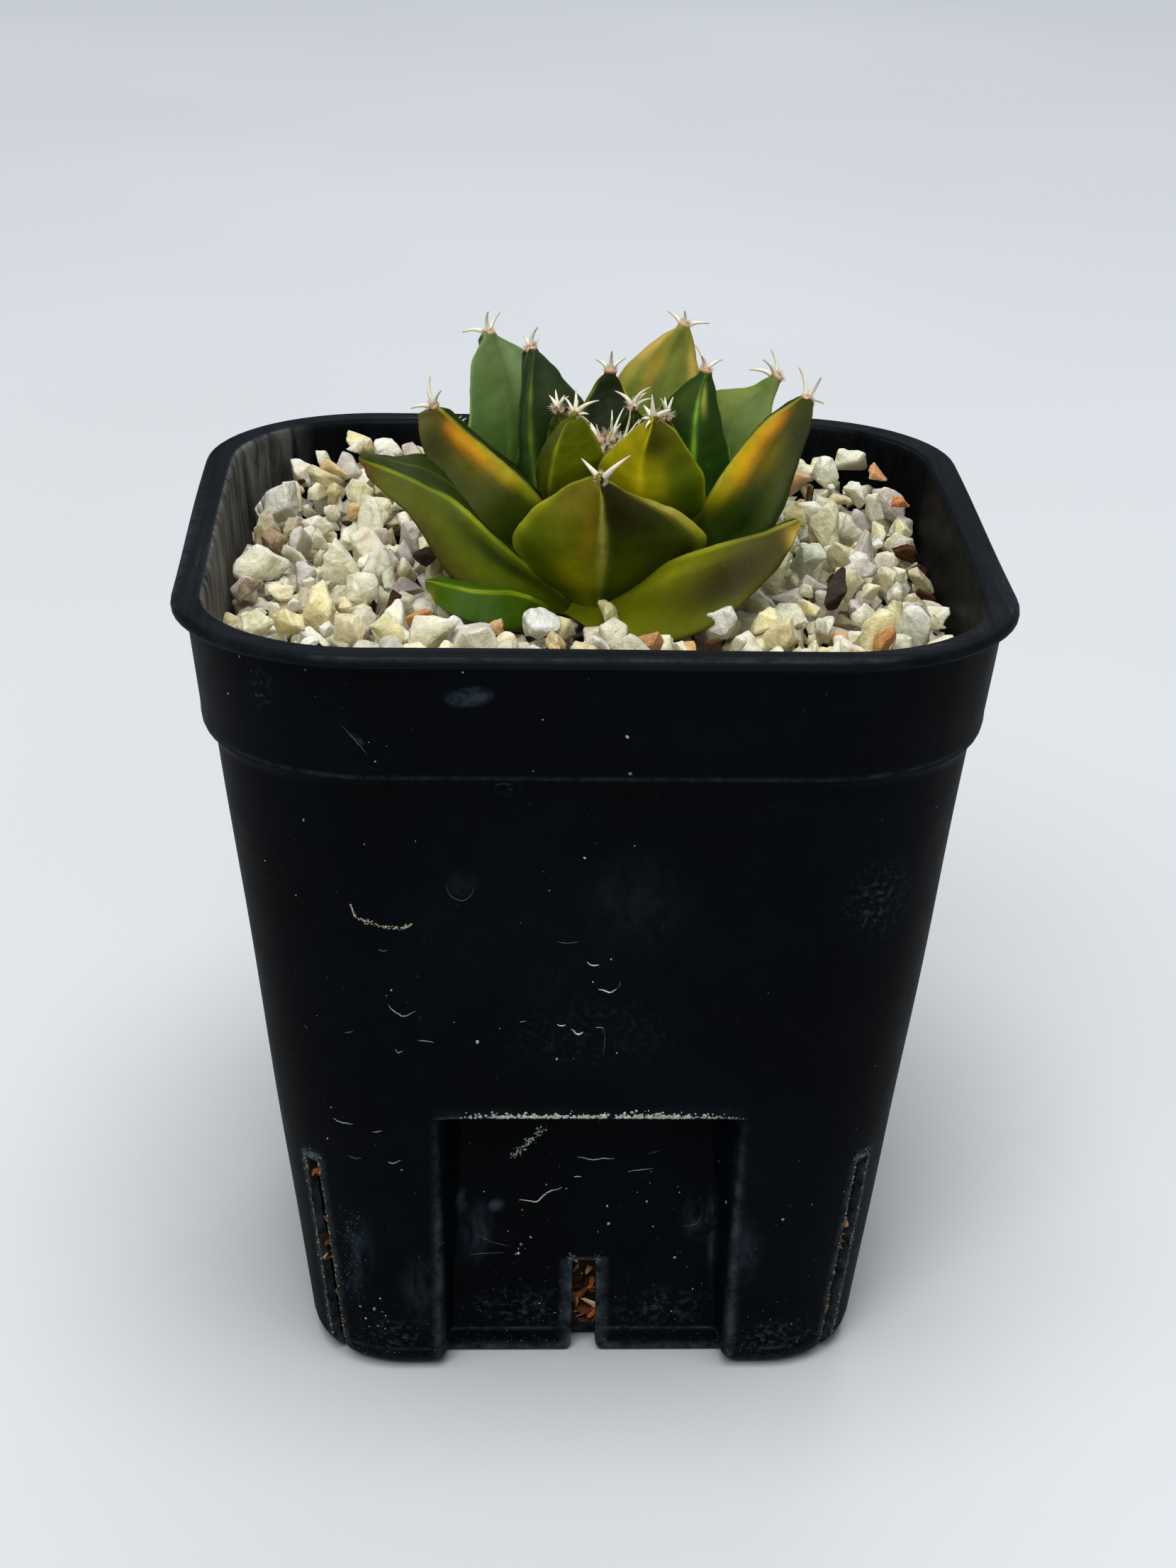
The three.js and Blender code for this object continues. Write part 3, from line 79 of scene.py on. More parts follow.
def srgb(r, g, b):
    def f(c):
        c = c / 255.0
        return c / 12.92 if c <= 0.04045 else ((c + 0.055) / 1.055) ** 2.4
    return np.array([f(r), f(g), f(b)])


class Mat:
    """Small builder for a procedural material."""

    def __init__(self, name):
        self.m = bpy.data.materials.new(name)
        self.m.use_nodes = True
        self.nt = self.m.node_tree
        self.nt.nodes.clear()
        self.out = self.nt.nodes.new("ShaderNodeOutputMaterial")
        self.b = self.nt.nodes.new("ShaderNodeBsdfPrincipled")
        self.nt.links.new(self.b.outputs[0], self.out.inputs[0])
        self.tc = self.nt.nodes.new("ShaderNodeTexCoord")
        self.obj = self.tc.outputs["Object"]

    def node(self, kind, **kw):
        n = self.nt.nodes.new(kind)
        for k, v in kw.items():
            setattr(n, k, v)
        return n

    def link(self, a, b):
        self.nt.links.new(a, b)

    def set(self, sock, val):
        self.b.inputs[sock].default_value = val

    def noise(self, scale, detail=4, rough=0.5, dist=0.0, vec=None, stretch=None):
        v = vec or self.obj
        if stretch is not None:
            mp = self.node("ShaderNodeMapping")
            mp.inputs["Scale"].default_value = stretch
            self.link(v, mp.inputs["Vector"])
            v = mp.outputs[0]
        n = self.node("ShaderNodeTexNoise")
        n.inputs["Scale"].default_value = scale
        n.inputs["Detail"].default_value = detail
        n.inputs["Roughness"].default_value = rough
        n.inputs["Distortion"].default_value = dist
        self.link(v, n.inputs["Vector"])
        return n.outputs["Fac"]

    def voronoi(self, scale, feature="F1", out="Distance", vec=None):
        n = self.node("ShaderNodeTexVoronoi", feature=feature)
        n.inputs["Scale"].default_value = scale
        self.link(vec or self.obj, n.inputs["Vector"])
        return n.outputs[out]

    def ramp(self, fac, stops):
        n = self.node("ShaderNodeValToRGB")
        e = n.color_ramp.elements
        while len(e) < len(stops):
            e.new(0.5)
        for el, (p, c) in zip(e, stops):
            el.position = p
            c = (c, c, c) if isinstance(c, (int, float)) else tuple(c)
            el.color = (*c[:3], 1)
        self.link(fac, n.inputs[0])
        return n.outputs[0]

    def math(self, op, a, b=None, clamp=False):
        n = self.node("ShaderNodeMath", operation=op, use_clamp=clamp)
        for i, v in enumerate((a, b)):
            if v is None:
                continue
            if isinstance(v, (int, float)):
                n.inputs[i].default_value = v
            else:
                self.link(v, n.inputs[i])
        return n.outputs[0]

    def mix(self, fac, a, b, kind="MIX"):
        n = self.node("ShaderNodeMix", data_type="RGBA", blend_type=kind)
        for i, v in ((0, fac), (6, a), (7, b)):
            if isinstance(v, (int, float)):
                n.inputs[i].default_value = v if i == 0 else (v, v, v, 1)
            elif isinstance(v, (tuple, list, np.ndarray)):
                n.inputs[i].default_value = (*[float(x) for x in v[:3]], 1)
            else:
                self.link(v, n.inputs[i])
        return n.outputs[2]

    def attr(self, name, out="Color"):
        n = self.node("ShaderNodeAttribute", attribute_type="GEOMETRY", attribute_name=name)
        return n.outputs[out]

    def bump(self, height, strength, distance, chain=None):
        n = self.node("ShaderNodeBump")
        n.inputs["Strength"].default_value = strength
        n.inputs["Distance"].default_value = distance
        self.link(height, n.inputs["Height"])
        if chain is not None:
            self.link(chain, n.inputs["Normal"])
        return n.outputs[0]

    def color(self, v):
        self.link(v, self.b.inputs["Base Color"])

    def rough(self, v):
        self.link(v, self.b.inputs["Roughness"])

    def normal(self, v):
        self.link(v, self.b.inputs["Normal"])


def spline(P, n):
    """Centripetal-like Catmull-Rom through the stations, n samples even in station index."""
    P = np.asarray(P, float)
    k = len(P) - 1
    d = np.linalg.norm(np.diff(P, axis=0), axis=1) ** 0.5
    t = np.concatenate([[0], np.cumsum(np.maximum(d, 1e-4))])
    m = np.zeros_like(P)
    for i in range(1, k):
        m[i] = ((P[i] - P[i - 1]) / (t[i] - t[i - 1]) * (t[i + 1] - t[i]) + (P[i + 1] - P[i]) / (t[i + 1] - t[i]) * (t[i] - t[i - 1])) / (t[i + 1] - t[i - 1])
    m[0] = (P[1] - P[0]) / (t[1] - t[0])
    m[k] = (P[k] - P[k - 1]) / (t[k] - t[k - 1])
    u = np.linspace(0, k, n)
    i = np.minimum(u.astype(int), k - 1)
    f = u - i
    h = (t[i + 1] - t[i])[:, None]
    f = f[:, None]
    h00 = 2 * f**3 - 3 * f**2 + 1; h10 = f**3 - 2 * f**2 + f
    h01 = -2 * f**3 + 3 * f**2; h11 = f**3 - f**2
    return h00 * P[i] + h10 * h * m[i] + h01 * P[i + 1] + h11 * h * m[i + 1]


def unit(v):
    v = np.asarray(v, float)
    return v / np.maximum(np.linalg.norm(v, axis=-1, keepdims=True), 1e-9)


def sstep(a, b, x):
    t = np.clip((np.asarray(x, float) - a) / (b - a), 0, 1)
    return t * t * (3 - 2 * t)


def fbm(x, y, z, scale, octaves=3, seed=0.0):
    """Smooth noise at many points, one at a time, as floats in about -1..1."""
    out = np.empty(len(x))
    for k in range(len(x)):
        out[k] = noise.fractal(Vector((x[k] * scale + seed, y[k] * scale, z[k] * scale)), 1.0, 2.0, octaves, noise_basis="PERLIN_ORIGINAL")
    return out


def cone_tube(points, radii, sides, rng=None):
    """A closed tapered tube; returns verts, faces."""
    P = np.asarray(points, float)
    T = unit(np.gradient(P, axis=0))
    ref = np.array([0.31, 0.87, 0.38])
    verts, faces = [], []
    prev = unit(np.cross(ref, T[0]))
    for i in range(len(P)):
        s = unit(prev - T[i] * np.dot(prev, T[i]))
        o = np.cross(T[i], s)
        prev = s
        for j in range(sides):
            a = TAU * j / sides
            verts.append(P[i] + radii[i] * (math.cos(a) * s + math.sin(a) * o))
    n = len(P)
    for i in range(n - 1):
        for j in range(sides):
            a = i * sides + j; b = i * sides + (j + 1) % sides
            faces.append((a, b, b + sides, a + sides))
    faces.append(tuple(range(sides - 1, -1, -1)))
    faces.append(tuple((n - 1) * sides + j for j in range(sides)))
    return verts, faces


def ring_square(side, radius, z, steps):
    h = side / 2 - radius
    out = []
    for sx, sy, start in ((1, 1, 0), (-1, 1, 90), (-1, -1, 180), (1, -1, 270)):
        for i in range(steps + 1):
            a = math.radians(start + 90.0 * i / steps)
            out.append((sx * h + radius * math.cos(a), sy * h + radius * math.sin(a), z))
    return np.array(out)


def fix_normals(verts, faces):
    """Turn a closed shell's faces out."""
    V = np.asarray(verts, float)
    vol = 0.0
    for f in faces:
        for i in range(1, len(f) - 1):
            vol += np.dot(V[f[0]], np.cross(V[f[i]], V[f[i + 1]]))
    return faces if vol > 0 else [tuple(reversed(f)) for f in faces]


class Bag:
    """Gathers many small closed shells into one mesh."""

    def __init__(self):
        self.v, self.f, self.a = [], [], {}

    def add(self, verts, faces, **attrs):
        o = len(self.v)
        self.v.extend(verts)
        self.f.extend(tuple(i + o for i in f) for f in faces)
        for k, val in attrs.items():
            self.a.setdefault(k, []).extend([val] * len(verts) if np.ndim(val) == 0 or (np.ndim(val) == 1 and len(verts) != len(val)) else list(val))

    def obj(self, name, mats, **kw):
        return mesh_obj(name, self.v, self.f, mats, attrs={k: np.array(a) for k, a in self.a.items()}, **kw)


# --------------------------------------------------------------- dimensions
POT_H = 92.0
COLLAR_Z = 77.8
WALL = 1.2
FLOOR_T = 1.8
LEDGE_Z = 34.5
FACE = 26.95
SLOT_HALF, SLOT_TOP = 1.4, 11.8
CSLOT_HALF, CSLOT_TOP = 1.0, 27.2
CNOTCH = 35.6            # how far out along the diagonal the slot starts in the floor
AXIS = np.array([1.8, 2.2])


def body_side(z):
    return 62.06 + (81.24 - 62.06) * z / COLLAR_Z


def body_rad(z):
    return 10.3 + (15.85 - 10.3) * z / COLLAR_Z


# ------------------------------------------------------------ camera, lights
def look():
    yaw, pitch, roll = map(math.radians, (-2.24, 22.49, 1.05))
    back = np.array([math.sin(yaw) * math.cos(pitch), -math.cos(yaw) * math.cos(pitch), math.sin(pitch)])
    right = np.array([math.cos(yaw), math.sin(yaw), 0.0])
    up = np.cross(back, right)
    r2 = math.cos(roll) * right + math.sin(roll) * up
    u2 = -math.sin(roll) * right + math.cos(roll) * up
    cam = bpy.data.cameras.new("Camera")
    cam.lens = 4362.5 / 2212 * 36
    cam.sensor_width = 36
    cam.clip_start, cam.clip_end = 0.01, 50
    ob = bpy.data.objects.new("Camera", cam)
    m = Matrix(((r2[0], u2[0], back[0], -0.01261), (r2[1], u2[1], back[1], -0.33435), (r2[2], u2[2], back[2], 0.19842), (0, 0, 0, 1)))
    ob.matrix_world = m
    scene.collection.objects.link(ob)
    scene.camera = ob

    world = bpy.data.worlds.new("Studio")
    scene.world = world
    world.use_nodes = True
    bg = world.node_tree.nodes["Background"]
    bg.inputs[0].default_value = (0.82, 0.91, 1.04, 1)
    bg.inputs[1].default_value = 0.38
    for name, loc, size, energy, col in (
        ("Overhead", (0.02, -0.42, 2.20), 1.4, 28.0, (1.0, 0.99, 0.98)),
        ("Front_fill", (-0.30, -1.15, 1.35), 0.9, 12.5, (1.0, 0.99, 0.985)),
        ("Back_rim", (0.20, 1.30, 1.50), 1.1, 7.0, (0.97, 0.985, 1.0)),
    ):
        li = bpy.data.lights.new(name, "AREA")
        li.shape = "DISK"
        li.size = size
        li.energy = energy
        li.color = col
        lo = bpy.data.objects.new(name, li)
        lo.location = loc
        lo.rotation_euler = (Vector((0, 0, 0.05)) - Vector(loc)).to_track_quat("-Z", "Y").to_euler()
        scene.collection.objects.link(lo)
    scene.view_settings.view_transform = "Standard"
    scene.view_settings.look = "None"
    scene.view_settings.gamma = 0.85


def floor():
    m = Mat("pale_floor")
    n = m.noise(3.0, 2, 0.5)
    fine = m.noise(900, 2, 0.6)
    m.color(m.ramp(n, [(0.3, srgb(212, 214, 214)), (0.7, srgb(219, 221, 221))]))
    m.set("Roughness", 0.85)
    m.set("Specular IOR Level", 0.15)
    m.normal(m.bump(fine, 0.08, 0.0003))
    s = 4000
    ob = mesh_obj("floor", [(-s, -s, -0.3), (s, -s, -0.3), (s, s, -0.3), (-s, s, -0.3)], [(0, 1, 2, 3)], [m.m], smooth=False)


look()
floor()


# ------------------------------------------------------------------------ pot
def pad(z):
    """How far a foot's edges are drawn in near the ground."""
    r = 2.5
    return r - math.sqrt(max(0.0, r * r - (r - z) ** 2)) if z < r else 0.0


def half_top(z):
    k = min(max(z, 0), LEDGE_Z) / LEDGE_Z
    return 15.4 + (14.0 - 15.4) * k


def mouth_half(z, outer):
    k = min(max(z, 0), LEDGE_Z) / LEDGE_Z
    m34 = 16.2 + (16.7 - 16.2) * k
    h = half_top(z)
    return h + (m34 - h) * (outer - FACE) / (34.0 - FACE)


def quarter(side, rad, z, depth, slot_half, inset=0.0):
    """One corner arc and the side after it, seen as the front side. Points (x, n): n is the distance out."""
    out = []
    s2 = side / 2
    h = s2 - rad
    dl = math.degrees(math.asin(min(0.9, CSLOT_HALF / max(rad, 2.0))))
    angles = list(np.linspace(0, 45 - dl, 8)) + [45.0] + list(np.linspace(45 + dl, 90, 8))
    for a in angles[:-1]:
        t = math.radians(180 + a)
        out.append((-h + rad * math.cos(t), -h + rad * math.sin(t)))
    outer = side / 2 + inset
    zr = z
    g = 0.9 * pad(z)
    mo = mouth_half(zr, outer) + inset + g
    hf = half_top(zr) + inset + g * 0.8
    face = s2 - depth
    P1, P2 = np.array([-mo, s2]), np.array([-hf, face])
    r1, r2 = (1.1 + inset, 0.8) if inset == 0 else (0.35, 1.7)
    A0 = np.array([-h, s2])
    w = P2 - P1
    wl = max(np.linalg.norm(w), 1e-6)
    d1, d2 = min(r1, wl * 0.45), min(r2, wl * 0.45)
    if depth < 1e-6:
        d1 = d2 = wl * 0.3
    e1 = P1 + np.array([-d1, 0]); f1 = P1 + w / wl * d1
    e2 = P2 - w / wl * d2; f2 = P2 + np.array([d2, 0])
    left = [A0 + (e1 - A0) * t for t in np.linspace(0, 1, 8)[:-1] ** 0.8]
    bez = lambda a, p, b, n: [(1 - t) ** 2 * a + 2 * t * (1 - t) * p + t * t * b for t in np.linspace(0, 1, n)]
    left += bez(e1, P1, f1, 6)
    left += [f1 + (e2 - f1) * t for t in (0.25, 0.5, 0.75)]
    left += bez(e2, P2, f2, 5)
    s0 = np.array([-slot_half, face])
    left += [f2 + (s0 - f2) * t for t in np.linspace(0, 1, 9)[1:]]
    right = [np.array([-p[0], p[1]]) for p in reversed(left)]
    path = left + [np.array([0, face])] + right
    for p in path[:-1]:
        out.append((p[0], -p[1]))
    return out


def pot_ring(side, rad, z, depth, inset=0.0):
    sh = SLOT_HALF + (0.9 * (1 - math.sqrt(max(0, 1 - (1 - min(z, 1.1) / 1.1) ** 2))) if z < 1.1 else 0)
    q = quarter(side, rad, z, depth, sh, inset)
    pts = []
    for k in range(4):
        c, s = [(1, 0), (0, 1), (-1, 0), (0, -1)][k]
        pts += [(x * c - y * s, x * s + y * c, z) for x, y in q]
    return pts


def warp(V):
    """A moulded pot is never quite flat."""
    x, y, z = V.T
    k = sstep(2, 30, z)
    a = 0.16 * np.sin(x * 0.071 + 1.3 + z * 0.03) * np.sin(y * 0.063 + 0.4) + 0.07 * np.sin(z * 0.17 + x * 0.05 + y * 0.09)
    r = np.maximum(np.hypot(x, y), 1)
    out = V.copy()
    out[:, 0] += a * k * x / r
    out[:, 1] += a * k * y / r
    out[:, 2] += 0.10 * k * sstep(70, 92, z) * np.sin(np.arctan2(y, x) * 3 + 0.8)
    return out


def make_pot():
    depth = lambda z: body_side(z) / 2 - FACE
    rows = []                       # outer rows, then the lip, then the inner rows, from the foot up and down again
    for z, ds, dr in [(z, -2 * pad(z) * 0.8 - 0.14, -pad(z) * 0.3) for z in (0, 0.05, 0.15, 0.32, 0.6, 1.0, 1.4, 1.8, 2.3)] + [(2.56, -0.16, 0), (2.72, -0.40, 0), (2.86, -0.26, 0), (3.0, 0.0, 0), (3.3, 0, 0)]:
        rows.append((z, body_side(max(z, 1)) + ds, body_rad(z) + dr, depth(z) + ds / 2))
    zs = list(np.arange(4.2, 11.4, 1.2)) + [11.3, 11.8, 12.3] + list(np.arange(13.5, 26.6, 1.3)) + [26.7, 27.2, 27.7] + list(np.arange(29, 33.0, 1.3)) + [33.2, 33.7]
    for z in zs:
        rows.append((z, body_side(z), body_rad(z), depth(z)))
    D = depth(LEDGE_Z)
    s = body_side(LEDGE_Z)
    for dz, dd in ((0.27, 0.05), (0.52, 0.18), (0.7, 0.42), (0.8, 0.8)):
        rows.append((33.7 + dz, body_side(33.7 + dz), body_rad(33.7 + dz), D - dd))
    for f in (0.75, 0.5, 0.25):
        rows.append((LEDGE_Z, s, body_rad(LEDGE_Z), 0.6 + (D - 1.4) * f))
    for dz, dd in ((0.0, 0.6), (0.05, 0.35), (0.18, 0.17), (0.38, 0.04), (0.6, 0.0)):
        rows.append((LEDGE_Z + dz, body_side(LEDGE_Z + dz), body_rad(LEDGE_Z + dz), dd))
    n_low = len(rows)
    for z in list(np.arange(36.5, 76.4, 2.2)) + [76.5]:
        rows.append((z, body_side(z), body_rad(z), 0))
    for z, sd, r in ((76.85, 81.32, 15.95), (77.12, 81.9, 16.7), (77.28, 82.8, 17.9), (77.4, 83.6, 19.1), (77.58, 84.08, 19.9), (77.85, 84.38, 20.3), (78.3, 84.56, 20.4)):
        rows.append((z, sd, r, 0))
    for z in np.linspace(79.5, 89.8, 9):
        rows.append((z, 84.45 + 2.7 * (z - 78.5) / 11.71, 20.4, 0))
    for z, sd, r in ((90.2, 87.15, 20.4), (90.4, 87.5, 20.45), (90.5, 88.2, 20.5), (90.57, 89.0, 20.55), (90.7, 89.55, 20.6), (90.95, 89.92, 20.6), (91.28, 90.0, 20.6), (91.58, 89.9, 20.55), (91.8, 89.62, 20.45),
                     (91.94, 89.2, 20.3), (92.0, 88.6, 20.1), (91.97, 87.6, 19.7), (91.93, 86.5, 19.1), (91.93, 85.4, 18.5), (91.95, 84.6, 18.0), (91.93, 84.1, 17.8), (91.82, 83.7, 17.6), (91.6, 83.35, 17.4), (91.2, 83.05, 17.25), (90.5, 82.85, 17.2)):
        rows.append((z, sd, r, 0))
    rings = [pot_ring(sd, r, z, d) for z, sd, r, d in rows]
    wear_and_highlight = [0.0] * len(rows)
    n_out = len(rows)
    # inside, from the lip down
    inner = []
    for z, sd, r in ((88.5, 82.5, 17.1), (86, 82.1, 16.95), (83, 81.65, 16.8), (80.5, 81.3, 16.6), (79.0, 81.04, 16.45), (78.2, 80.2, 15.8), (77.3, 79.1, 14.9), (76.4, 78.6, 14.6)):
        inner.append((z, sd, r, 0))
    for z in np.arange(72, 36.9, -3.5):
        inner.append((z, body_side(z) - 2.4, body_rad(z) - 1.2, 0))
    s_in = body_side(LEDGE_Z) - 2.4
    inner.append((LEDGE_Z + WALL + 0.3, s_in, body_rad(LEDGE_Z) - WALL, 0))
    for dd in (0.3, 1.5, D / 2, D - 1.5, D - 0.3):
        inner.append((LEDGE_Z + WALL, s_in, body_rad(LEDGE_Z) - WALL, dd))
    inner.append((LEDGE_Z + WALL - 0.4, s_in, body_rad(LEDGE_Z) - WALL, D))
    matched = []                   # inner rows that face an outer row of the same height
    for i in range(n_low - 1, -1, -1):
        z = rows[i][0]
        if FLOOR_T < z < 33.6 and rows[i][3] > 3:
            matched.append(i)
            inner.append((z, body_side(z) - 2.4, body_rad(z) - WALL, depth(z)))
    z = FLOOR_T
    i18 = next(i for i in range(n_low) if abs(rows[i][0] - FLOOR_T) < 1e-6)
    matched.append(i18)
    inner.append((z, body_side(z) - 2.4, body_rad(z) - WALL, depth(z)))
    start = {}
    for k, (z, sd, r, d) in enumerate(inner):
        rings.append(pot_ring(sd, r, z, d, WALL))
    first_match = len(rings) - len(matched)
    for k, i in enumerate(matched):
        start[i] = first_match + k
    nc = len(rings[0])
    V = [p for ring in rings for p in ring]
    nq = nc // 4
    i_slot = [17 - 1 + 7 + 6 + 3 + 5 + 8 + k for k in (-1, 0)]      # the two cells of each panel slot
    i_corner = [7, 8]                                                 # and of each corner slot
    zrow = [rings[r][0][2] for r in range(len(rings))]

    def cut(r, c):
        """Is the cell between rows r, r+1 and columns c, c+1 open?"""
        zc = (zrow[r] + zrow[r + 1]) / 2
        if r >= n_low and r < first_match:
            return False
        k = c % nq
        if k in i_slot and zc < SLOT_TOP:
            return True
        return k in i_corner and zc < CSLOT_TOP

    F = []
    idx = lambda r, c: r * nc + c % nc
    for r in range(len(rings) - 1):
        for c in range(nc):
            if not cut(r, c):
                F.append((idx(r, c), idx(r, c + 1), idx(r + 1, c + 1), idx(r + 1, c)))
    # walls of the slots, between an outer cell edge and the inner one of the same height
    low_matched = sorted(matched)
    for r in low_matched[:-1]:
        if r + 1 not in start:
            continue
        for c in range(nc):
            a, b = cut(r, c - 1 if c else nc - 1), cut(r, c)
            if a != b:
                q = (idx(r, c), idx(r + 1, c), idx(start[r + 1], c), idx(start[r], c))
                F.append(q if a else q[::-1])
    for r in low_matched:
        if r - 1 not in start or r + 1 not in start:
            continue
        for c in range(nc):
            a, b = cut(r - 1, c), cut(r, c)
            if a != b:
                q = (idx(r, c), idx(r, c + 1), idx(start[r], c + 1), idx(start[r], c))
                F.append(q if b else q[::-1])
    # the floor, with its notches and drain holes
    from mathutils.geometry import delaunay_2d_cdt
    holes = [(0.0, 0.0, 4.0)] + [(16 * math.cos(math.radians(45 + 90 * k)), 16 * math.sin(math.radians(45 + 90 * k)), 3.0) for k in range(4)]

    def cap(row, z, up, notch_at):
        pts, tag = [], []
        ring = [V[idx(row, c)] for c in range(nc)]
        c = 0
        seq = []
        for c in range(nc):
            k = c % nq
            if k == i_slot[1]:              # the middle of a slot: go round the notch instead
                q = c // nq
                cs, sn = [(1, 0), (0, 1), (-1, 0), (0, -1)][q]
                for x in (-SLOT_HALF, SLOT_HALF):
                    y = -notch_at
                    seq.append((x * cs - y * sn, x * sn + y * cs))
                continue
            if k == 8:                      # the middle of a corner slot
                a = (c // nq) * math.pi / 2 + math.radians(-135)
                for t in (-CSLOT_HALF, CSLOT_HALF):
                    seq.append((CNOTCH * math.cos(a) - t * math.sin(a), CNOTCH * math.sin(a) + t * math.cos(a)))
                continue
            seq.append(ring[c][:2])
        n0 = len(seq)
        pts = [Vector(p) for p in seq]
        faces = [list(range(n0))]
        hole_loops = []
        for hx, hy, hr in holes:
            loop = []
            for j in range(28):
                a = TAU * j / 28
                loop.append(len(pts))
                pts.append(Vector((hx + hr * math.cos(a), hy + hr * math.sin(a))))
            hole_loops.append(loop)
        edges = [(loop[j], loop[(j + 1) % 28]) for loop in hole_loops for j in range(28)]
        vo, eo, fo, *_ = delaunay_2d_cdt(pts, edges, faces, 1, 1e-7)
        base = len(V)
        V.extend([(p.x, p.y, z) for p in vo])
        for f in fo:
            cx_, cy_ = sum(vo[i].x for i in f) / len(f), sum(vo[i].y for i in f) / len(f)
            if any(math.hypot(cx_ - hx, cy_ - hy) < hr * 0.985 for hx, hy, hr in holes):
                continue
            q = [base + i for i in f]
            F.append(tuple(q if up else reversed(q)))

    cap(0, 0.0, False, 23.55)
    cap(len(rings) - 1, FLOOR_T, True, 23.55)
    for hx, hy, hr in holes:
        b = len(V)
        for z in (0.0, FLOOR_T):
            V.extend([(hx + hr * math.cos(TAU * j / 28), hy + hr * math.sin(TAU * j / 28), z) for j in range(28)])
        for j in range(28):
            F.append((b + (j + 1) % 28, b + j, b + 28 + j, b + 28 + (j + 1) % 28))
    for q in range(4):
        cs, sn = [(1, 0), (0, 1), (-1, 0), (0, -1)][q]
        at = lambda x, y, z: (x * cs - y * sn, x * sn + y * cs, z)
        for sx, col in ((-1, q * nq + i_slot[0]), (1, q * nq + i_slot[1] + 1)):
            b = len(V)
            line = [V[idx(r, col)] for r in range(0, i18 + 1)]
            inner_pt = V[idx(len(rings) - 1, col)]
            V.extend(line)
            V.extend([inner_pt, at(sx * SLOT_HALF, -23.55, FLOOR_T), at(sx * SLOT_HALF, -23.55, 0)])
            f = list(range(b, len(V)))
            F.append(tuple(f if sx > 0 else reversed(f)))
        b = len(V)
        V.extend([at(-SLOT_HALF, -23.55, 0), at(SLOT_HALF, -23.55, 0), at(SLOT_HALF, -23.55, FLOOR_T), at(-SLOT_HALF, -23.55, FLOOR_T)])
        F.append((b, b + 1, b + 2, b + 3))
        a = q * math.pi / 2 + math.radians(-135)
        dg = lambda t, z: (CNOTCH * math.cos(a) - t * math.sin(a), CNOTCH * math.sin(a) + t * math.cos(a), z)
        for sx, col in ((-1, q * nq + 7), (1, q * nq + 9)):
            b = len(V)
            V.extend([V[idx(r, col)] for r in range(0, i18 + 1)])
            V.extend([V[idx(len(rings) - 1, col)], dg(sx * CSLOT_HALF, FLOOR_T), dg(sx * CSLOT_HALF, 0)])
            f = list(range(b, len(V)))
            F.append(tuple(f if sx > 0 else reversed(f)))
        b = len(V)
        V.extend([dg(-CSLOT_HALF, 0), dg(CSLOT_HALF, 0), dg(CSLOT_HALF, FLOOR_T), dg(-CSLOT_HALF, FLOOR_T)])
        F.append((b, b + 1, b + 2, b + 3))
    V = np.array(V)
    Vw = warp(V)
    me = bpy.data.meshes.new("nursery_pot_shell")
    me.from_pydata([tuple(v) for v in (Vw * MM).tolist()], [], F)
    bm = bmesh.new()
    bm.from_mesh(me)
    bmesh.ops.remove_doubles(bm, verts=bm.verts, dist=2e-6)
    bmesh.ops.dissolve_degenerate(bm, dist=1e-6, edges=bm.edges)
    bmesh.ops.recalc_face_normals(bm, faces=bm.faces)
    open_edges = sum(1 for e in bm.edges if len(e.link_faces) != 2)
    print("POT verts", len(bm.verts), "faces", len(bm.faces), "edges not shared by two faces", open_edges)
    bm.to_mesh(me)
    bm.free()
    for p in me.polygons:
        p.use_smooth = True
    me.set_sharp_from_angle(angle=math.radians(38))
    # wear and painted highlight: how rubbed each point is, by where it lies; the pale lines under the collar's edge
    # and down the feet's edges are painted highlights
    co = np.empty(len(me.vertices) * 3)
    me.vertices.foreach_get("co", co)
    co = co.reshape(-1, 3) / MM
    x, y, z = co.T
    m = np.maximum(abs(x), abs(y))
    rim_out = np.exp(-((z - 91.80) / 0.14) ** 2) * sstep(87, 89.2, 2 * m) * 0.7
    # painted highlight along the collar's lower edge
    collar_edge_highlight = np.exp(-((z - 77.85) / 0.22) ** 2) * 0.40
    t = np.minimum(abs(x), abs(y))
    ledge = np.exp(-((z - 34.75) / 0.28) ** 2) * (t < 17) * (m > 33.5)
    foot = sstep(1.2, 0.1, z) * 0.8
    step = np.exp(-((z - 2.72) / 0.16) ** 2) * 0.7
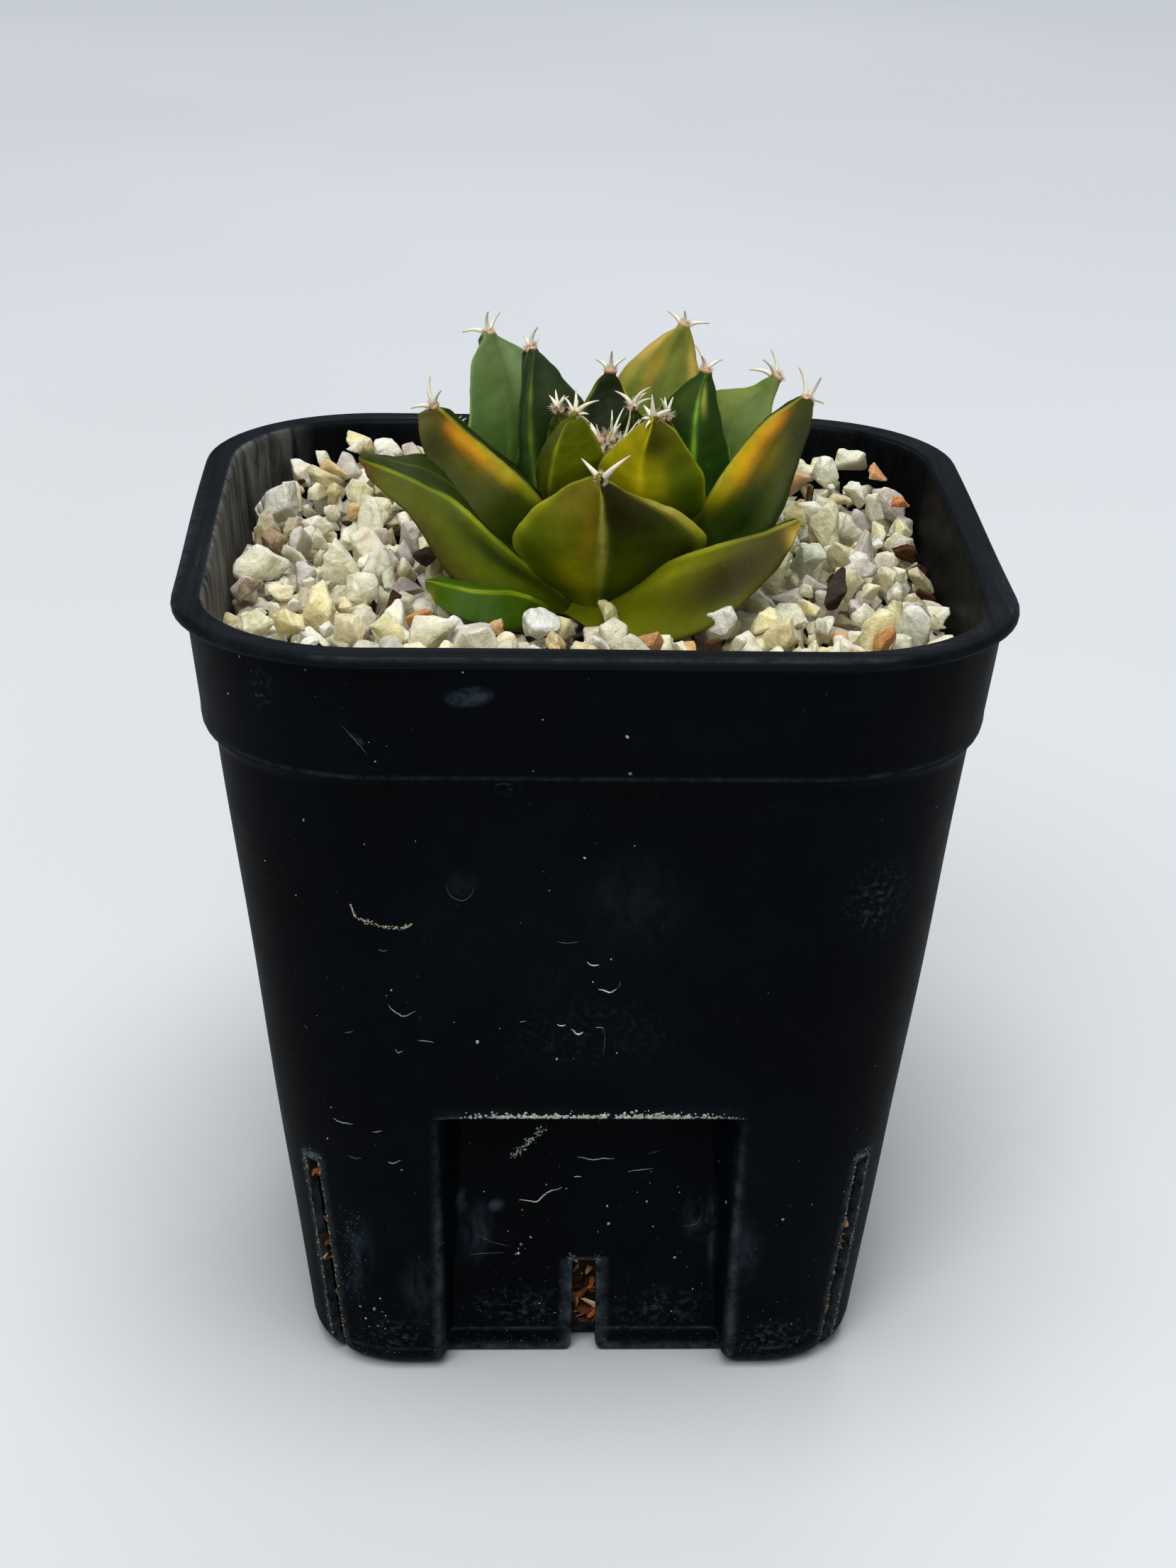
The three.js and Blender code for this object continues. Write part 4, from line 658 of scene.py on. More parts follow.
    # painted highlight down the edges of the feet
    foot_edge_highlight = np.exp(-((t - 16.6) / 0.55) ** 2) * (z < 34) * np.exp(-((m - body_side(z) / 2) / 0.8) ** 2) * 0.8
    slots = np.exp(-(np.maximum(t - SLOT_HALF, 0) / 0.25) ** 2) * (z < 12.1) * (m < 28)
    diag = abs(abs(x) - abs(y)) / math.sqrt(2)
    slots = np.maximum(slots, np.exp(-(np.maximum(diag - CSLOT_HALF, 0) / 0.35) ** 2) * (z < 27.8) * (np.hypot(x, y) > 36))
    wear_and_highlight = np.clip(np.maximum.reduce([rim_out, collar_edge_highlight, ledge * 0.8, foot, step, foot_edge_highlight, slots]), 0, 1)
    rad2 = 2 * m
    rub = np.exp(-((z - 91.62) / 0.22) ** 2) * (rad2 < 84.6) * (z < 91.9) + 0.35 * np.exp(-((z - 90.78) / 0.14) ** 2) * (rad2 > 86)
    corner = np.hypot(np.maximum(abs(x) - 26, 0), np.maximum(abs(y) - 26, 0))
    rub = np.where(np.minimum(abs(x), abs(y)) > 26, np.exp(-((z - 91.62) / 0.22) ** 2) * (corner < 16.9), rub)
    a = me.attributes.new("rub", "FLOAT", "POINT")
    a.data.foreach_set("value", np.clip(rub, 0, 1).astype(np.float32))
    a = me.attributes.new("wear_and_highlight", "FLOAT", "POINT")
    a.data.foreach_set("value", wear_and_highlight.astype(np.float32))
    ob = bpy.data.objects.new("nursery_pot_shell", me)
    scene.collection.objects.link(ob)
    return ob


def blob(m, x, z, rx, rz, turn=0.0, soft=0.5):
    """A soft ellipse on the front wall, in millimetres; returns a 0..1 mask."""
    mp = m.node("ShaderNodeMapping", vector_type="TEXTURE")
    mp.inputs["Location"].default_value = (x * MM, 0, z * MM)
    mp.inputs["Rotation"].default_value = (0, math.radians(turn), 0)
    mp.inputs["Scale"].default_value = (rx * MM, 1.0, rz * MM)
    m.link(m.obj, mp.inputs["Vector"])
    sp = m.node("ShaderNodeSeparateXYZ")
    m.link(mp.outputs[0], sp.inputs[0])
    r = m.math("SQRT", m.math("ADD", m.math("MULTIPLY", sp.outputs[0], sp.outputs[0]), m.math("MULTIPLY", sp.outputs[2], sp.outputs[2])))
    mr = m.node("ShaderNodeMapRange", interpolation_type="SMOOTHSTEP")
    mr.inputs["From Min"].default_value = 1.0
    mr.inputs["From Max"].default_value = 1.0 - soft
    m.link(r, mr.inputs["Value"])
    return mr.outputs[0]


def pot_material():
    m = Mat("pot_plastic")
    sp = m.node("ShaderNodeSeparateXYZ")
    m.link(m.obj, sp.inputs[0])
    X, Y, Z = sp.outputs
    big = m.noise(34, 4, 0.55)
    mid = m.noise(210, 5, 0.62)
    fine = m.noise(1500, 3, 0.6)
    grain = m.noise(5200, 2, 0.5)
    base = m.mix(m.ramp(big, [(0.38, 0.0), (0.66, 1.0)]), POT_DARK, POT_BLUE)
    base = m.mix(m.ramp(mid, [(0.5, 0.0), (0.8, 0.30)]), base, POT_GREY)
    # moulded grain: faint paler points all over
    point = m.math("MULTIPLY", m.ramp(grain, [(0.60, 0.0), (0.74, 1.0)]), m.ramp(m.noise(90, 4, 0.6), [(0.36, 0.15), (0.66, 1.0)]))
    base = m.mix(m.math("MULTIPLY", point, 0.12), base, POT_POINT)
    drift = m.math("MULTIPLY", m.ramp(m.noise(70, 6, 0.7, 0.8), [(0.60, 0.0), (0.80, 1.0)]), m.ramp(fine, [(0.46, 0.0), (0.72, 1.0)]))
    base = m.mix(m.math("MULTIPLY", drift, 0.05), base, DUST)
    front = m.ramp(m.math("MULTIPLY", Y, -10), [(0.24, 0.0), (0.26, 1.0)])
    wisp = m.noise(330, 6, 0.72, 1.1, stretch=(1.0, 1.0, 0.45))
    marks = None
    for x, z, rx, rz, turn, amount, how in FRONT_MARKS:
        b = m.math("MULTIPLY", blob(m, x, z, rx, rz, turn, 0.9 if how != "smudge" else 0.45), amount)
        tex = {"film": m.ramp(wisp, [(0.40, 0.0), (0.66, 1.0)]), "smudge": m.ramp(m.noise(620, 5, 0.7, 0.8), [(0.38, 0.08), (0.62, 1.0)]), "dust": m.ramp(fine, [(0.50, 0.0), (0.66, 1.0)]), "speck": m.ramp(m.voronoi(1700), [(0.0, 1.0), (0.12, 1.0), (0.18, 0.0)])}[how]
        b = m.math("MULTIPLY", b, tex)
        marks = b if marks is None else m.math("MAXIMUM", marks, b)
    marks = m.math("MULTIPLY", marks, front)
    base = m.mix(marks, base, FILM)
    # the lip: greyer, with fine streaks along its run
    lip = m.ramp(m.math("MULTIPLY", Z, 10), [(0.9045, 0.0), (0.9085, 1.0)])
    sx = m.noise(260, 4, 0.7, 0.2, stretch=(0.06, 1.8, 2.6))
    sy = m.noise(260, 4, 0.7, 0.2, stretch=(1.8, 0.06, 2.6))
    ax = m.math("SUBTRACT", m.math("ABSOLUTE", X), m.math("ABSOLUTE", Y))
    pick = m.math("MULTIPLY_ADD", ax, 120.0)
    pick.node.inputs[2].default_value = 0.5
    pick.node.use_clamp = True
    streak = m.mix(pick, sx, sy)
    lipcol = m.mix(m.ramp(streak, [(0.34, 0.0), (0.70, 1.0)]), LIP_DARK, LIP_PALE)
    scuff = m.math("MULTIPLY", m.ramp(streak, [(0.60, 0.0), (0.68, 1.0)]), m.ramp(m.noise(110, 5, 0.75), [(0.52, 0.0), (0.62, 1.0)]))
    lipcol = m.mix(m.math("MULTIPLY", scuff, 0.45), lipcol, SCUFF)
    base = m.mix(lip, base, lipcol)
    # worn edges and painted edge highlights, in one pale colour
    wear_and_highlight = m.attr("wear_and_highlight", "Fac")
    wn = m.math("MULTIPLY", wear_and_highlight, m.ramp(m.noise(520, 5, 0.72), [(0.36, 0.10), (0.62, 1.0)]))
    base = m.mix(m.math("MULTIPLY", wn, 0.75), base, WORN_AND_HIGHLIGHT)
    # the inner edge of the lip is rubbed pale
    base = m.mix(m.math("MULTIPLY", m.math("POWER", m.attr("rub", "Fac"), 3.0), m.ramp(streak, [(0.36, 0.05), (0.60, 0.9)])), base, RUBBED)
    # painted shade: the inner walls below the rim are darkened; dust dried in runs on the inside of the left wall,
    # less on the others
    inside = m.attr("inside", "Fac")
    base = m.mix(m.math("MULTIPLY", inside, 0.9), base, POT_DARK)
    runs = m.noise(640, 5, 0.68, 0.6, stretch=(1, 1, 0.16))
    west = m.ramp(m.math("MULTIPLY", X, -10), [(0.33, 0.03), (0.39, 1.0)])
    dusty = m.math("MULTIPLY", m.math("MULTIPLY", inside, m.ramp(runs, [(0.33, 0.08), (0.62, 1.0)])), west)
    base = m.mix(m.math("MULTIPLY", dusty, 0.85), base, DUST)
    m.color(base)
    rough = m.math("MULTIPLY_ADD", mid, 0.22)
    rough.node.inputs[2].default_value = 0.40
    m.rough(m.math("ADD", rough, m.math("MULTIPLY", wn, 0.2), clamp=True))
    m.set("Specular IOR Level", 0.045)
    b = m.bump(grain, 0.22, 0.00006)
    b = m.bump(fine, 0.20, 0.00008, b)
    b = m.bump(mid, 0.25, 0.00025, b)
    m.normal(m.bump(m.math("MULTIPLY", streak, lip), 0.35, 0.00012, b))
    return m.m


C_LIME = srgb(232, 234, 224)
POT_DARK = (0.0010, 0.0019, 0.0031)
POT_BLUE = (0.0018, 0.0040, 0.0070)
POT_GREY = (0.0075, 0.0095, 0.0120)
POT_POINT = (0.060, 0.074, 0.090)
DUST = (0.24, 0.235, 0.22)
FILM = (0.060, 0.085, 0.110)
LIP_DARK = (0.0038, 0.0055, 0.0075)
LIP_PALE = (0.015, 0.020, 0.025)
SCUFF = (0.26, 0.27, 0.27)
# pale colour of worn edges and of the painted edge highlights
WORN_AND_HIGHLIGHT = (0.085, 0.105, 0.120)
RUBBED = (0.26, 0.27, 0.265)
FRONT_MARKS = [
    # x, z, half width, half height, turn, amount, kind
    (-13.3, 87.2, 2.9, 1.35, -8, 0.62, "smudge"),      # oval smudge on the collar
    (-34.5, 86.5, 1.5, 3.6, 6, 0.55, "dust"),
    (-24.6, 82.0, 1.6, 0.8, 45, 0.45, "dust"),
    (-9.4, 75.9, 2.0, 0.9, 0, 0.40, "dust"),
    (30.0, 62.0, 5.0, 6.5, 10, 0.40, "dust"),
    (4.5, 62.0, 8.0, 9.0, 0, 0.14, "film"),
    (-14.0, 64.5, 2.2, 2.2, 0, 0.25, "film"),
    (0.0, 46.0, 13.0, 7.0, 0, 0.14, "dust"),
    (-14.0, 19.6, 1.3, 2.2, 10, 0.9, "film"),         # dried water marks on the feet's inner edges and the panel
    (-12.6, 15.4, 2.6, 5.6, 10, 0.55, "film"),
    (-10.3, 19.0, 1.5, 1.1, -25, 1.0, "film"),
    (12.9, 17.6, 2.8, 4.6, -10, 0.62, "film"),
    (14.6, 16.0, 0.8, 8.0, 0, 0.6, "film"),
    (18.1, 16.5, 2.4, 6.0, 0, 0.42, "film"),
    (-18.8, 11.0, 3.0, 7.0, 0, 0.30, "film"),
    (-25.6, 15.5, 2.4, 8.0, 0, 0.42, "film"),
    (-7.0, 5.5, 9.0, 3.6, 0, 0.45, "dust"),
    (9.0, 5.5, 8.0, 3.6, 0, 0.45, "dust"),
    (-22.0, 4.5, 6.0, 4.0, 0, 0.40, "dust"),
    (22.0, 3.5, 7.0, 4.6, 0, 0.55, "dust"),
]
pot = make_pot()


def inside_attr(ob):
    me = ob.data
    co = np.empty(len(me.vertices) * 3)
    me.vertices.foreach_get("co", co)
    co = co.reshape(-1, 3) / MM
    no = np.empty(len(me.vertices) * 3)
    me.vertices.foreach_get("normal", no)
    no = no.reshape(-1, 3)
    m = np.hypot(co[:, 0], co[:, 1])
    inward = -(no[:, 0] * co[:, 0] + no[:, 1] * co[:, 1]) / np.maximum(m, 1)
    # the upper inner walls, which take painted shade and dust in the material
    val = sstep(0.2, 0.7, inward) * sstep(70, 80, co[:, 2])
    a = me.attributes.new("inside", "FLOAT", "POINT")
    a.data.foreach_set("value", val.astype(np.float32))


inside_attr(pot)
pot.data.materials.append(pot_material())
part(pot, "nursery_pot")
POT_BVH = BVHTree.FromObject(pot, bpy.context.evaluated_depsgraph_get())


def on_wall(x, z, lift=0.02):
    """The point of the front wall at x, z in millimetres."""
    hit, nrm, *_ = POT_BVH.ray_cast(Vector((x, -60, z)) * MM, Vector((0, 1, 0)))
    if hit is None:
        return None
    return np.array(hit) / MM + np.array(nrm) * lift


C = srgb
# ------------------------------------------------- limescale, chips, scratches
def cast(o, d, lift=0.0):
    """First point of the pot met from o along d, and the way out there, in millimetres."""
    hit, nrm, *_ = POT_BVH.ray_cast(Vector(o) * MM, Vector(d).normalized())
    if hit is None:
        return None
    n = np.array(nrm)
    if np.dot(n, d) > 0:
        n = -n
    return np.array(hit) / MM + n * lift, n


def front_at(x, z, lift=0.0):
    return cast((x, -60, z), (0, 1, 0), lift)


# radius at the middle, shade, run of (x, z) along the front wall
SCRATCHES = [
    (0.26, 'a', [(-25.8, 62.0), (-25.2, 60.5), (-23.7, 59.8), (-22.0, 59.3), (-20.3, 59.2), (-19.3, 59.7)]),
    (0.07, 'c', [(-22.9, 56.5), (-22.4, 56.3), (-21.9, 56.4)]),
    (0.1, 'b', [(-21.9, 49.5), (-21.3, 48.7), (-20.3, 48.1), (-19.1, 48.7)]),
    (0.05, 'c', [(-15.7, 64.4), (-15.4, 63.4), (-14.7, 62.8), (-14.0, 62.6), (-13.2, 63.1), (-12.8, 64.2)]),
    (0.07, 'c', [(-26.7, 45.7), (-26.3, 45.8), (-25.8, 46.0)]),
    (0.05, 'c', [(-31.2, 45.5), (-30.7, 45.2)]),
    (0.08, 'b', [(-21.3, 43.8), (-20.9, 43.4), (-20.5, 43.6)]),
    (0.07, 'b', [(-18.8, 45.0), (-18.0, 44.9), (-17.1, 44.7)]),
    (0.06, 'c', [(-4.0, 57.5), (-2.8, 57.4), (-1.7, 57.6)]),
    (0.11, 'a', [(-0.8, 55.0), (-0.2, 54.6), (0.5, 54.7)]),
    (0.11, 'a', [(0.5, 51.6), (1.2, 51.4), (1.8, 51.2), (2.5, 51.6)]),
    (0.05, 'c', [(2.5, 51.6), (2.8, 52.1), (2.8, 52.7)]),
    (0.1, 'a', [(-3.8, 47.0), (-3.4, 46.9), (-2.9, 47.0)]),
    (0.12, 'a', [(-2.2, 46.4), (-1.6, 45.8), (-1.0, 46.1)]),
    (0.08, 'b', [(0.3, 46.7), (1.2, 46.6)]),
    (0.07, 'b', [(-7.9, 47.3), (-7.2, 47.5)]),
    (0.04, 'c', [(1.2, 46.6), (1.4, 44.8), (1.2, 43.1)]),
    (0.06, 'c', [(-26.2, 83.7), (-25.0, 82.3), (-23.7, 80.5)]),
    (0.06, 'c', [(-10.6, 76.4), (-10.0, 76.7), (-9.0, 76.6)]),
    (0.09, 'b', [(-28.2, 34.1), (-27.4, 33.8), (-26.0, 33.8)]),
    (0.07, 'b', [(-23.9, 33.0), (-23.4, 33.0), (-22.8, 33.2)]),
    (0.06, 'c', [(-26.7, 29.4), (-25.9, 29.2), (-25.1, 29.3)]),
    (0.08, 'b', [(-22.2, 29.0), (-21.6, 28.8), (-20.8, 29.3)]),
    (0.08, 'a', [(-1.0, 25.3), (-0.2, 25.1), (0.7, 24.9), (2.1, 25.1), (3.2, 25.0)]),
    (0.08, 'a', [(-1.4, 22.8), (-0.5, 22.7)]),
    (0.08, 'b', [(4.7, 23.4), (5.9, 23.6), (7.6, 23.8)]),
    (0.12, 'a', [(-7.6, 19.7), (-6.5, 19.6), (-5.5, 19.5), (-4.9, 20.2), (-4.1, 20.8), (-2.7, 21.3)]),
    (0.06, 'c', [(-13.2, 12.5), (-11.5, 12.7), (-9.2, 12.8)]),
    (0.05, 'c', [(-12.4, 15.2), (-10.7, 14.2), (-8.6, 13.6)]),
    (0.05, 'c', [(11.1, 16.2), (12.8, 16.6), (13.4, 18.1)]),
    (0.06, 'c', [(7.1, 25.7), (8.3, 26.1)]),
]
# single specks on the upper wall, the collar, the front panel and the feet
DOTS = [
    [(-0.1, 52.5), (-10.0, 46.5), (-18.9, 69.8), (-34.9, 65.2), (-7.9, 59.9), (-1.3, 67.9), (1.8, 55.4), (-22.1, 50.7), (-29.7, 47.3), (-14.9, 47.3), (-24.2, 69.4), (-30.5, 71.7), (-4.9, 63.9), (3.9, 69.4), (2.7, 43.4), (-2.0, 42.6), (-3.8, 42.6), (-12.4, 44.8), (-21.6, 51.4)],
    [(2.7, 82.8), (-22.9, 79.8), (-14.0, 90.0), (-38.2, 84.5), (-29.8, 89.7), (-23.5, 82.0), (-5.9, 84.7), (3.1, 78.6), (-6.8, 78.8), (-36.7, 89.6), (-35.5, 88.3), (-21.7, 81.6)],
    [(-11.6, 20.8), (-7.2, 18.4), (-7.2, 17.7), (-8.8, 15.6), (-6.2, 14.8), (-7.3, 13.9), (-7.6, 13.3), (-6.8, 13.3), (-7.6, 12.7), (-7.9, 12.6), (1.5, 15.5), (2.7, 16.6), (2.5, 18.9), (7.0, 19.5), (7.8, 16.2), (10.4, 12.1), (-2.2, 21.2), (14.9, 25.7), (7.4, 23.4), (7.3, 21.9), (-13.2, 27.1), (5.9, 20.7), (10.5, 21.4), (10.7, 20.7), (-4.5, 21.7), (-5.1, 6.0), (-2.6, 5.0), (3.7, 6.9), (-11.9, 5.0), (-9.0, 7.0), (10.2, 4.9), (12.6, 7.9)],
    [(21.9, 21.1), (15.7, 21.8), (-23.3, 9.9), (-24.0, 8.3), (-23.1, 8.0), (-22.7, 7.5), (-22.4, 6.7), (-23.6, 5.9), (-22.8, 5.6), (-25.0, 6.7), (-24.6, 5.6), (-25.6, 8.3), (-30.2, 27.9), (-28.9, 31.1), (23.3, 29.1), (28.9, 23.6), (29.8, 32.1), (-28.4, 35.5), (-20.7, 27.9), (-19.3, 24.7), (20.3, 8.1), (23.7, 6.0)],
]
LIME = {"a": C_LIME, "b": C_LIME * 0.52, "c": C_LIME * 0.22}


def flake(bag, p, n, size, rng, colour, flat=0.45):
    """A small crusty grain pressed on the wall."""
    a = unit(np.cross(n, rng.normal(size=3)))
    b = np.cross(n, a)
    nu, nv = (5, 3) if size < 0.11 else (6, 3)
    sx, sy = size * rng.uniform(0.75, 1.35), size * rng.uniform(0.6, 1.0)
    V, F = [], []
    for i in range(1, nv):
        th = math.pi * i / nv
        for j in range(nu):
            ph = TAU * j / nu
            w = rng.uniform(0.78, 1.18)
            V.append(p + (a * math.cos(ph) * sx + b * math.sin(ph) * sy) * math.sin(th) * w + n * math.cos(th) * size * flat)
    V += [p + n * size * flat, p - n * size * flat]
    for i in range(nv - 2):
        for j in range(nu):
            x0, x1 = i * nu + j, i * nu + (j + 1) % nu
            F.append((x0, x1, x1 + nu, x0 + nu))
    for j in range(nu):
        F.append((len(V) - 2, (j + 1) % nu, j))
        F.append((len(V) - 1, (nv - 2) * nu + j, (nv - 2) * nu + (j + 1) % nu))
    bag.add(V, fix_normals(V, F), Col=np.asarray(colour) * rng.uniform(0.8, 1.08))


def lime_material():
    m = Mat("limescale")
    col = m.attr("Col")
    n = m.noise(2400, 4, 0.65)
    col = m.mix(m.ramp(n, [(0.35, 0.0), (0.75, 1.0)]), m.mix(1.0, col, (0.55, 0.56, 0.55), "MULTIPLY"), col)
    m.color(col)
    m.set("Roughness", 0.85)
    m.set("Specular IOR Level", 0.2)
    m.normal(m.bump(n, 0.6, 0.00008))
    return m.m


def wall_marks():
    rng = np.random.default_rng(404)
    bag = Bag()
    # scratches
    for r, kind, pts in SCRATCHES:
        P = []
        ctrl = spline(np.array([(x, 0, z) for x, z in pts]), max(5, 4 * len(pts))) if len(pts) > 2 else np.linspace([pts[0][0], 0, pts[0][1]], [pts[-1][0], 0, pts[-1][1]], 5)
        for x, _, z in ctrl:
            h = front_at(x + rng.normal() * 0.03, z + rng.normal() * 0.03, 0.0)
            if h is not None:
                P.append(h[0])
        t = np.linspace(0, 1, len(P))
        if r > 0.2:                     # the broad one is a band of grains
            for k in range(150):
                i = rng.uniform(0, len(P) - 1)
                a = int(i); b = min(a + 1, len(P) - 1)
                p = P[a] + (P[b] - P[a]) * (i - a)
                w = r * math.sin(math.pi * i / (len(P) - 1)) ** 0.6
                h = front_at(p[0], p[2] + rng.normal() * w * 0.5, 0.0)
                flake(bag, h[0], h[1], rng.uniform(0.06, 0.15), rng, C(196, 188, 160), 0.35)
            continue
        rad = r * (0.35 + 0.65 * np.sin(np.pi * t)) * rng.uniform(0.75, 1.2, len(P))
        v, f = cone_tube(P, rad * 0.8, 5)
        bag.add(v, fix_normals(v, f), Col=np.asarray(LIME[kind]))
    # specks
    for group in DOTS:
        for x, z in group:
            h = front_at(x, z)
            if h is not None:
                flake(bag, h[0], h[1], float(np.clip(rng.lognormal(math.log(0.12), 0.4), 0.06, 0.26)), rng, LIME["a"] * rng.uniform(0.35, 1.0))
    # crust along the ledge over the front panel, thick in runs, thin between
    runs = ((-14.6, -10.6, 26, 0.16), (-10.8, -9.0, 26, 0.24), (-9.4, -3.2, 120, 0.20), (-3.0, 2.0, 90, 0.19), (2.6, 10.8, 170, 0.20), (10.4, 14.8, 46, 0.17), (14.6, 17.0, 10, 0.1))
    for x0, x1, n, s in runs:
        for _ in range(n):
            x = rng.uniform(x0, x1)
            z = 34.78 + abs(rng.normal()) * 0.22 * (2.2 if rng.random() < 0.18 else 1)
            h = front_at(x, z)
            flake(bag, h[0], h[1], s * rng.uniform(0.5, 1.35), rng, C_LIME * rng.uniform(0.55, 1.0), 0.4)
    for _ in range(120):                # grains caught on the ledge's lower edge
        x = rng.normal() * 6 + 3
        if abs(x) > 15:
            continue
        h = front_at(x, 34.25 - abs(rng.normal()) * 0.7)
        if h is not None:
            flake(bag, h[0], h[1], rng.uniform(0.05, 0.14), rng, C_LIME * rng.uniform(0.3, 0.8))
    # the trail that runs down across the panel
    for k in range(95):
        t = rng.random() ** 0.9
        x, z = -4.8 - 3.6 * t + rng.normal() * 0.22, 29.1 - 3.9 * t ** 0.95 + rng.normal() * 0.24
        h = front_at(x, z)
        if h is not None:
            flake(bag, h[0], h[1], rng.uniform(0.07, 0.2) * (1 - 0.3 * t), rng, C_LIME * rng.uniform(0.5, 1.0))
    # dusty grit low on the feet and panels, on all four sides
    for q in range(4):
        cs, sn = [(1, 0), (0, 1), (-1, 0), (0, -1)][q]
        turn = lambda v: (v[0] * cs - v[1] * sn, v[0] * sn + v[1] * cs, v[2])
        for _ in range(520 if q == 0 else 260):
            x = rng.uniform(-29, 29)
            z = 0.7 + rng.exponential(4.2)
            if z > 33:
                continue
            h = cast(turn((x, -60, z)), turn((0, 1, 0)))
            if h is not None:
                flake(bag, h[0], h[1], float(np.clip(rng.lognormal(math.log(0.055), 0.4), 0.03, 0.15)), rng, C(150, 152, 148) * rng.uniform(0.3, 1.0))
        for _ in range(160):            # and a few anywhere
            x, z = rng.uniform(-38, 38), rng.uniform(4, 90)
            h = cast(turn((x, -60, z)), turn((0, 1, 0)))
            if h is not None:
                flake(bag, h[0], h[1], float(np.clip(rng.lognormal(math.log(0.05), 0.4), 0.03, 0.13)), rng, C(160, 166, 166) * rng.uniform(0.2, 0.8))
    # frayed crust down both edges of every corner slot
    for q in range(4):
        b = q * math.pi / 2 + math.radians(-135)
        out = np.array([math.cos(b), math.sin(b), 0])
        lat = np.array([-math.sin(b), math.cos(b), 0])
        for side in (-1, 1):
            heavy = 1.0 if (q in (0, 1) and side == (1 if q == 1 else -1)) else 0.5
            for _ in range(int(300 * heavy)):
                z = 27.6 - rng.beta(1.1, 1.0) * 25.5
                t = side * (1.02 + abs(rng.normal()) * 0.26 * heavy)
                h = cast(tuple(out * 70 + lat * t + np.array([0, 0, z])), tuple(-out))
                if h is not None and np.hypot(*h[0][:2]) > 37.5:
                    pale = rng.random() < 0.35
                    flake(bag, h[0], h[1], rng.uniform(0.06, 0.2), rng, (C(176, 172, 146) if pale else C(110, 118, 118)) * rng.uniform(0.35, 1.0))
        for _ in range(40):             # crust over the slot's head
            h = cast(tuple(out * 70 + lat * rng.normal() * 0.9 + np.array([0, 0, 27.5 + abs(rng.normal()) * 0.5])), tuple(-out))
            if h is not None:
                flake(bag, h[0], h[1], rng.uniform(0.06, 0.17), rng, C(150, 158, 160) * rng.uniform(0.4, 1.0))
    # grit round the head of the front panel slot
    for _ in range(46):
        h = front_at(rng.choice((-1.5, 1.5)) + rng.normal() * 0.25, 12.0 + rng.normal() * 0.35)
        if h is not None and h[0][1] < -26:
            flake(bag, h[0], h[1], rng.uniform(0.05, 0.14), rng, C(140, 148, 150) * rng.uniform(0.4, 1.0))
    # mottled patch on the front-left foot beside its slot
    for _ in range(190):
        x, z = rng.normal() * 0.75 - 26.6 + rng.uniform(-0.5, 0.6), rng.uniform(9, 22)
        h = front_at(x, z)
        if h is not None:
            flake(bag, h[0], h[1], rng.uniform(0.04, 0.12), rng, C(120, 140, 160) * rng.uniform(0.2, 0.75))
    ob = bag.obj("limescale_marks", [lime_material()])
    part(ob, "nursery_pot")
    print("MARKS faces", len(ob.data.polygons))


wall_marks()

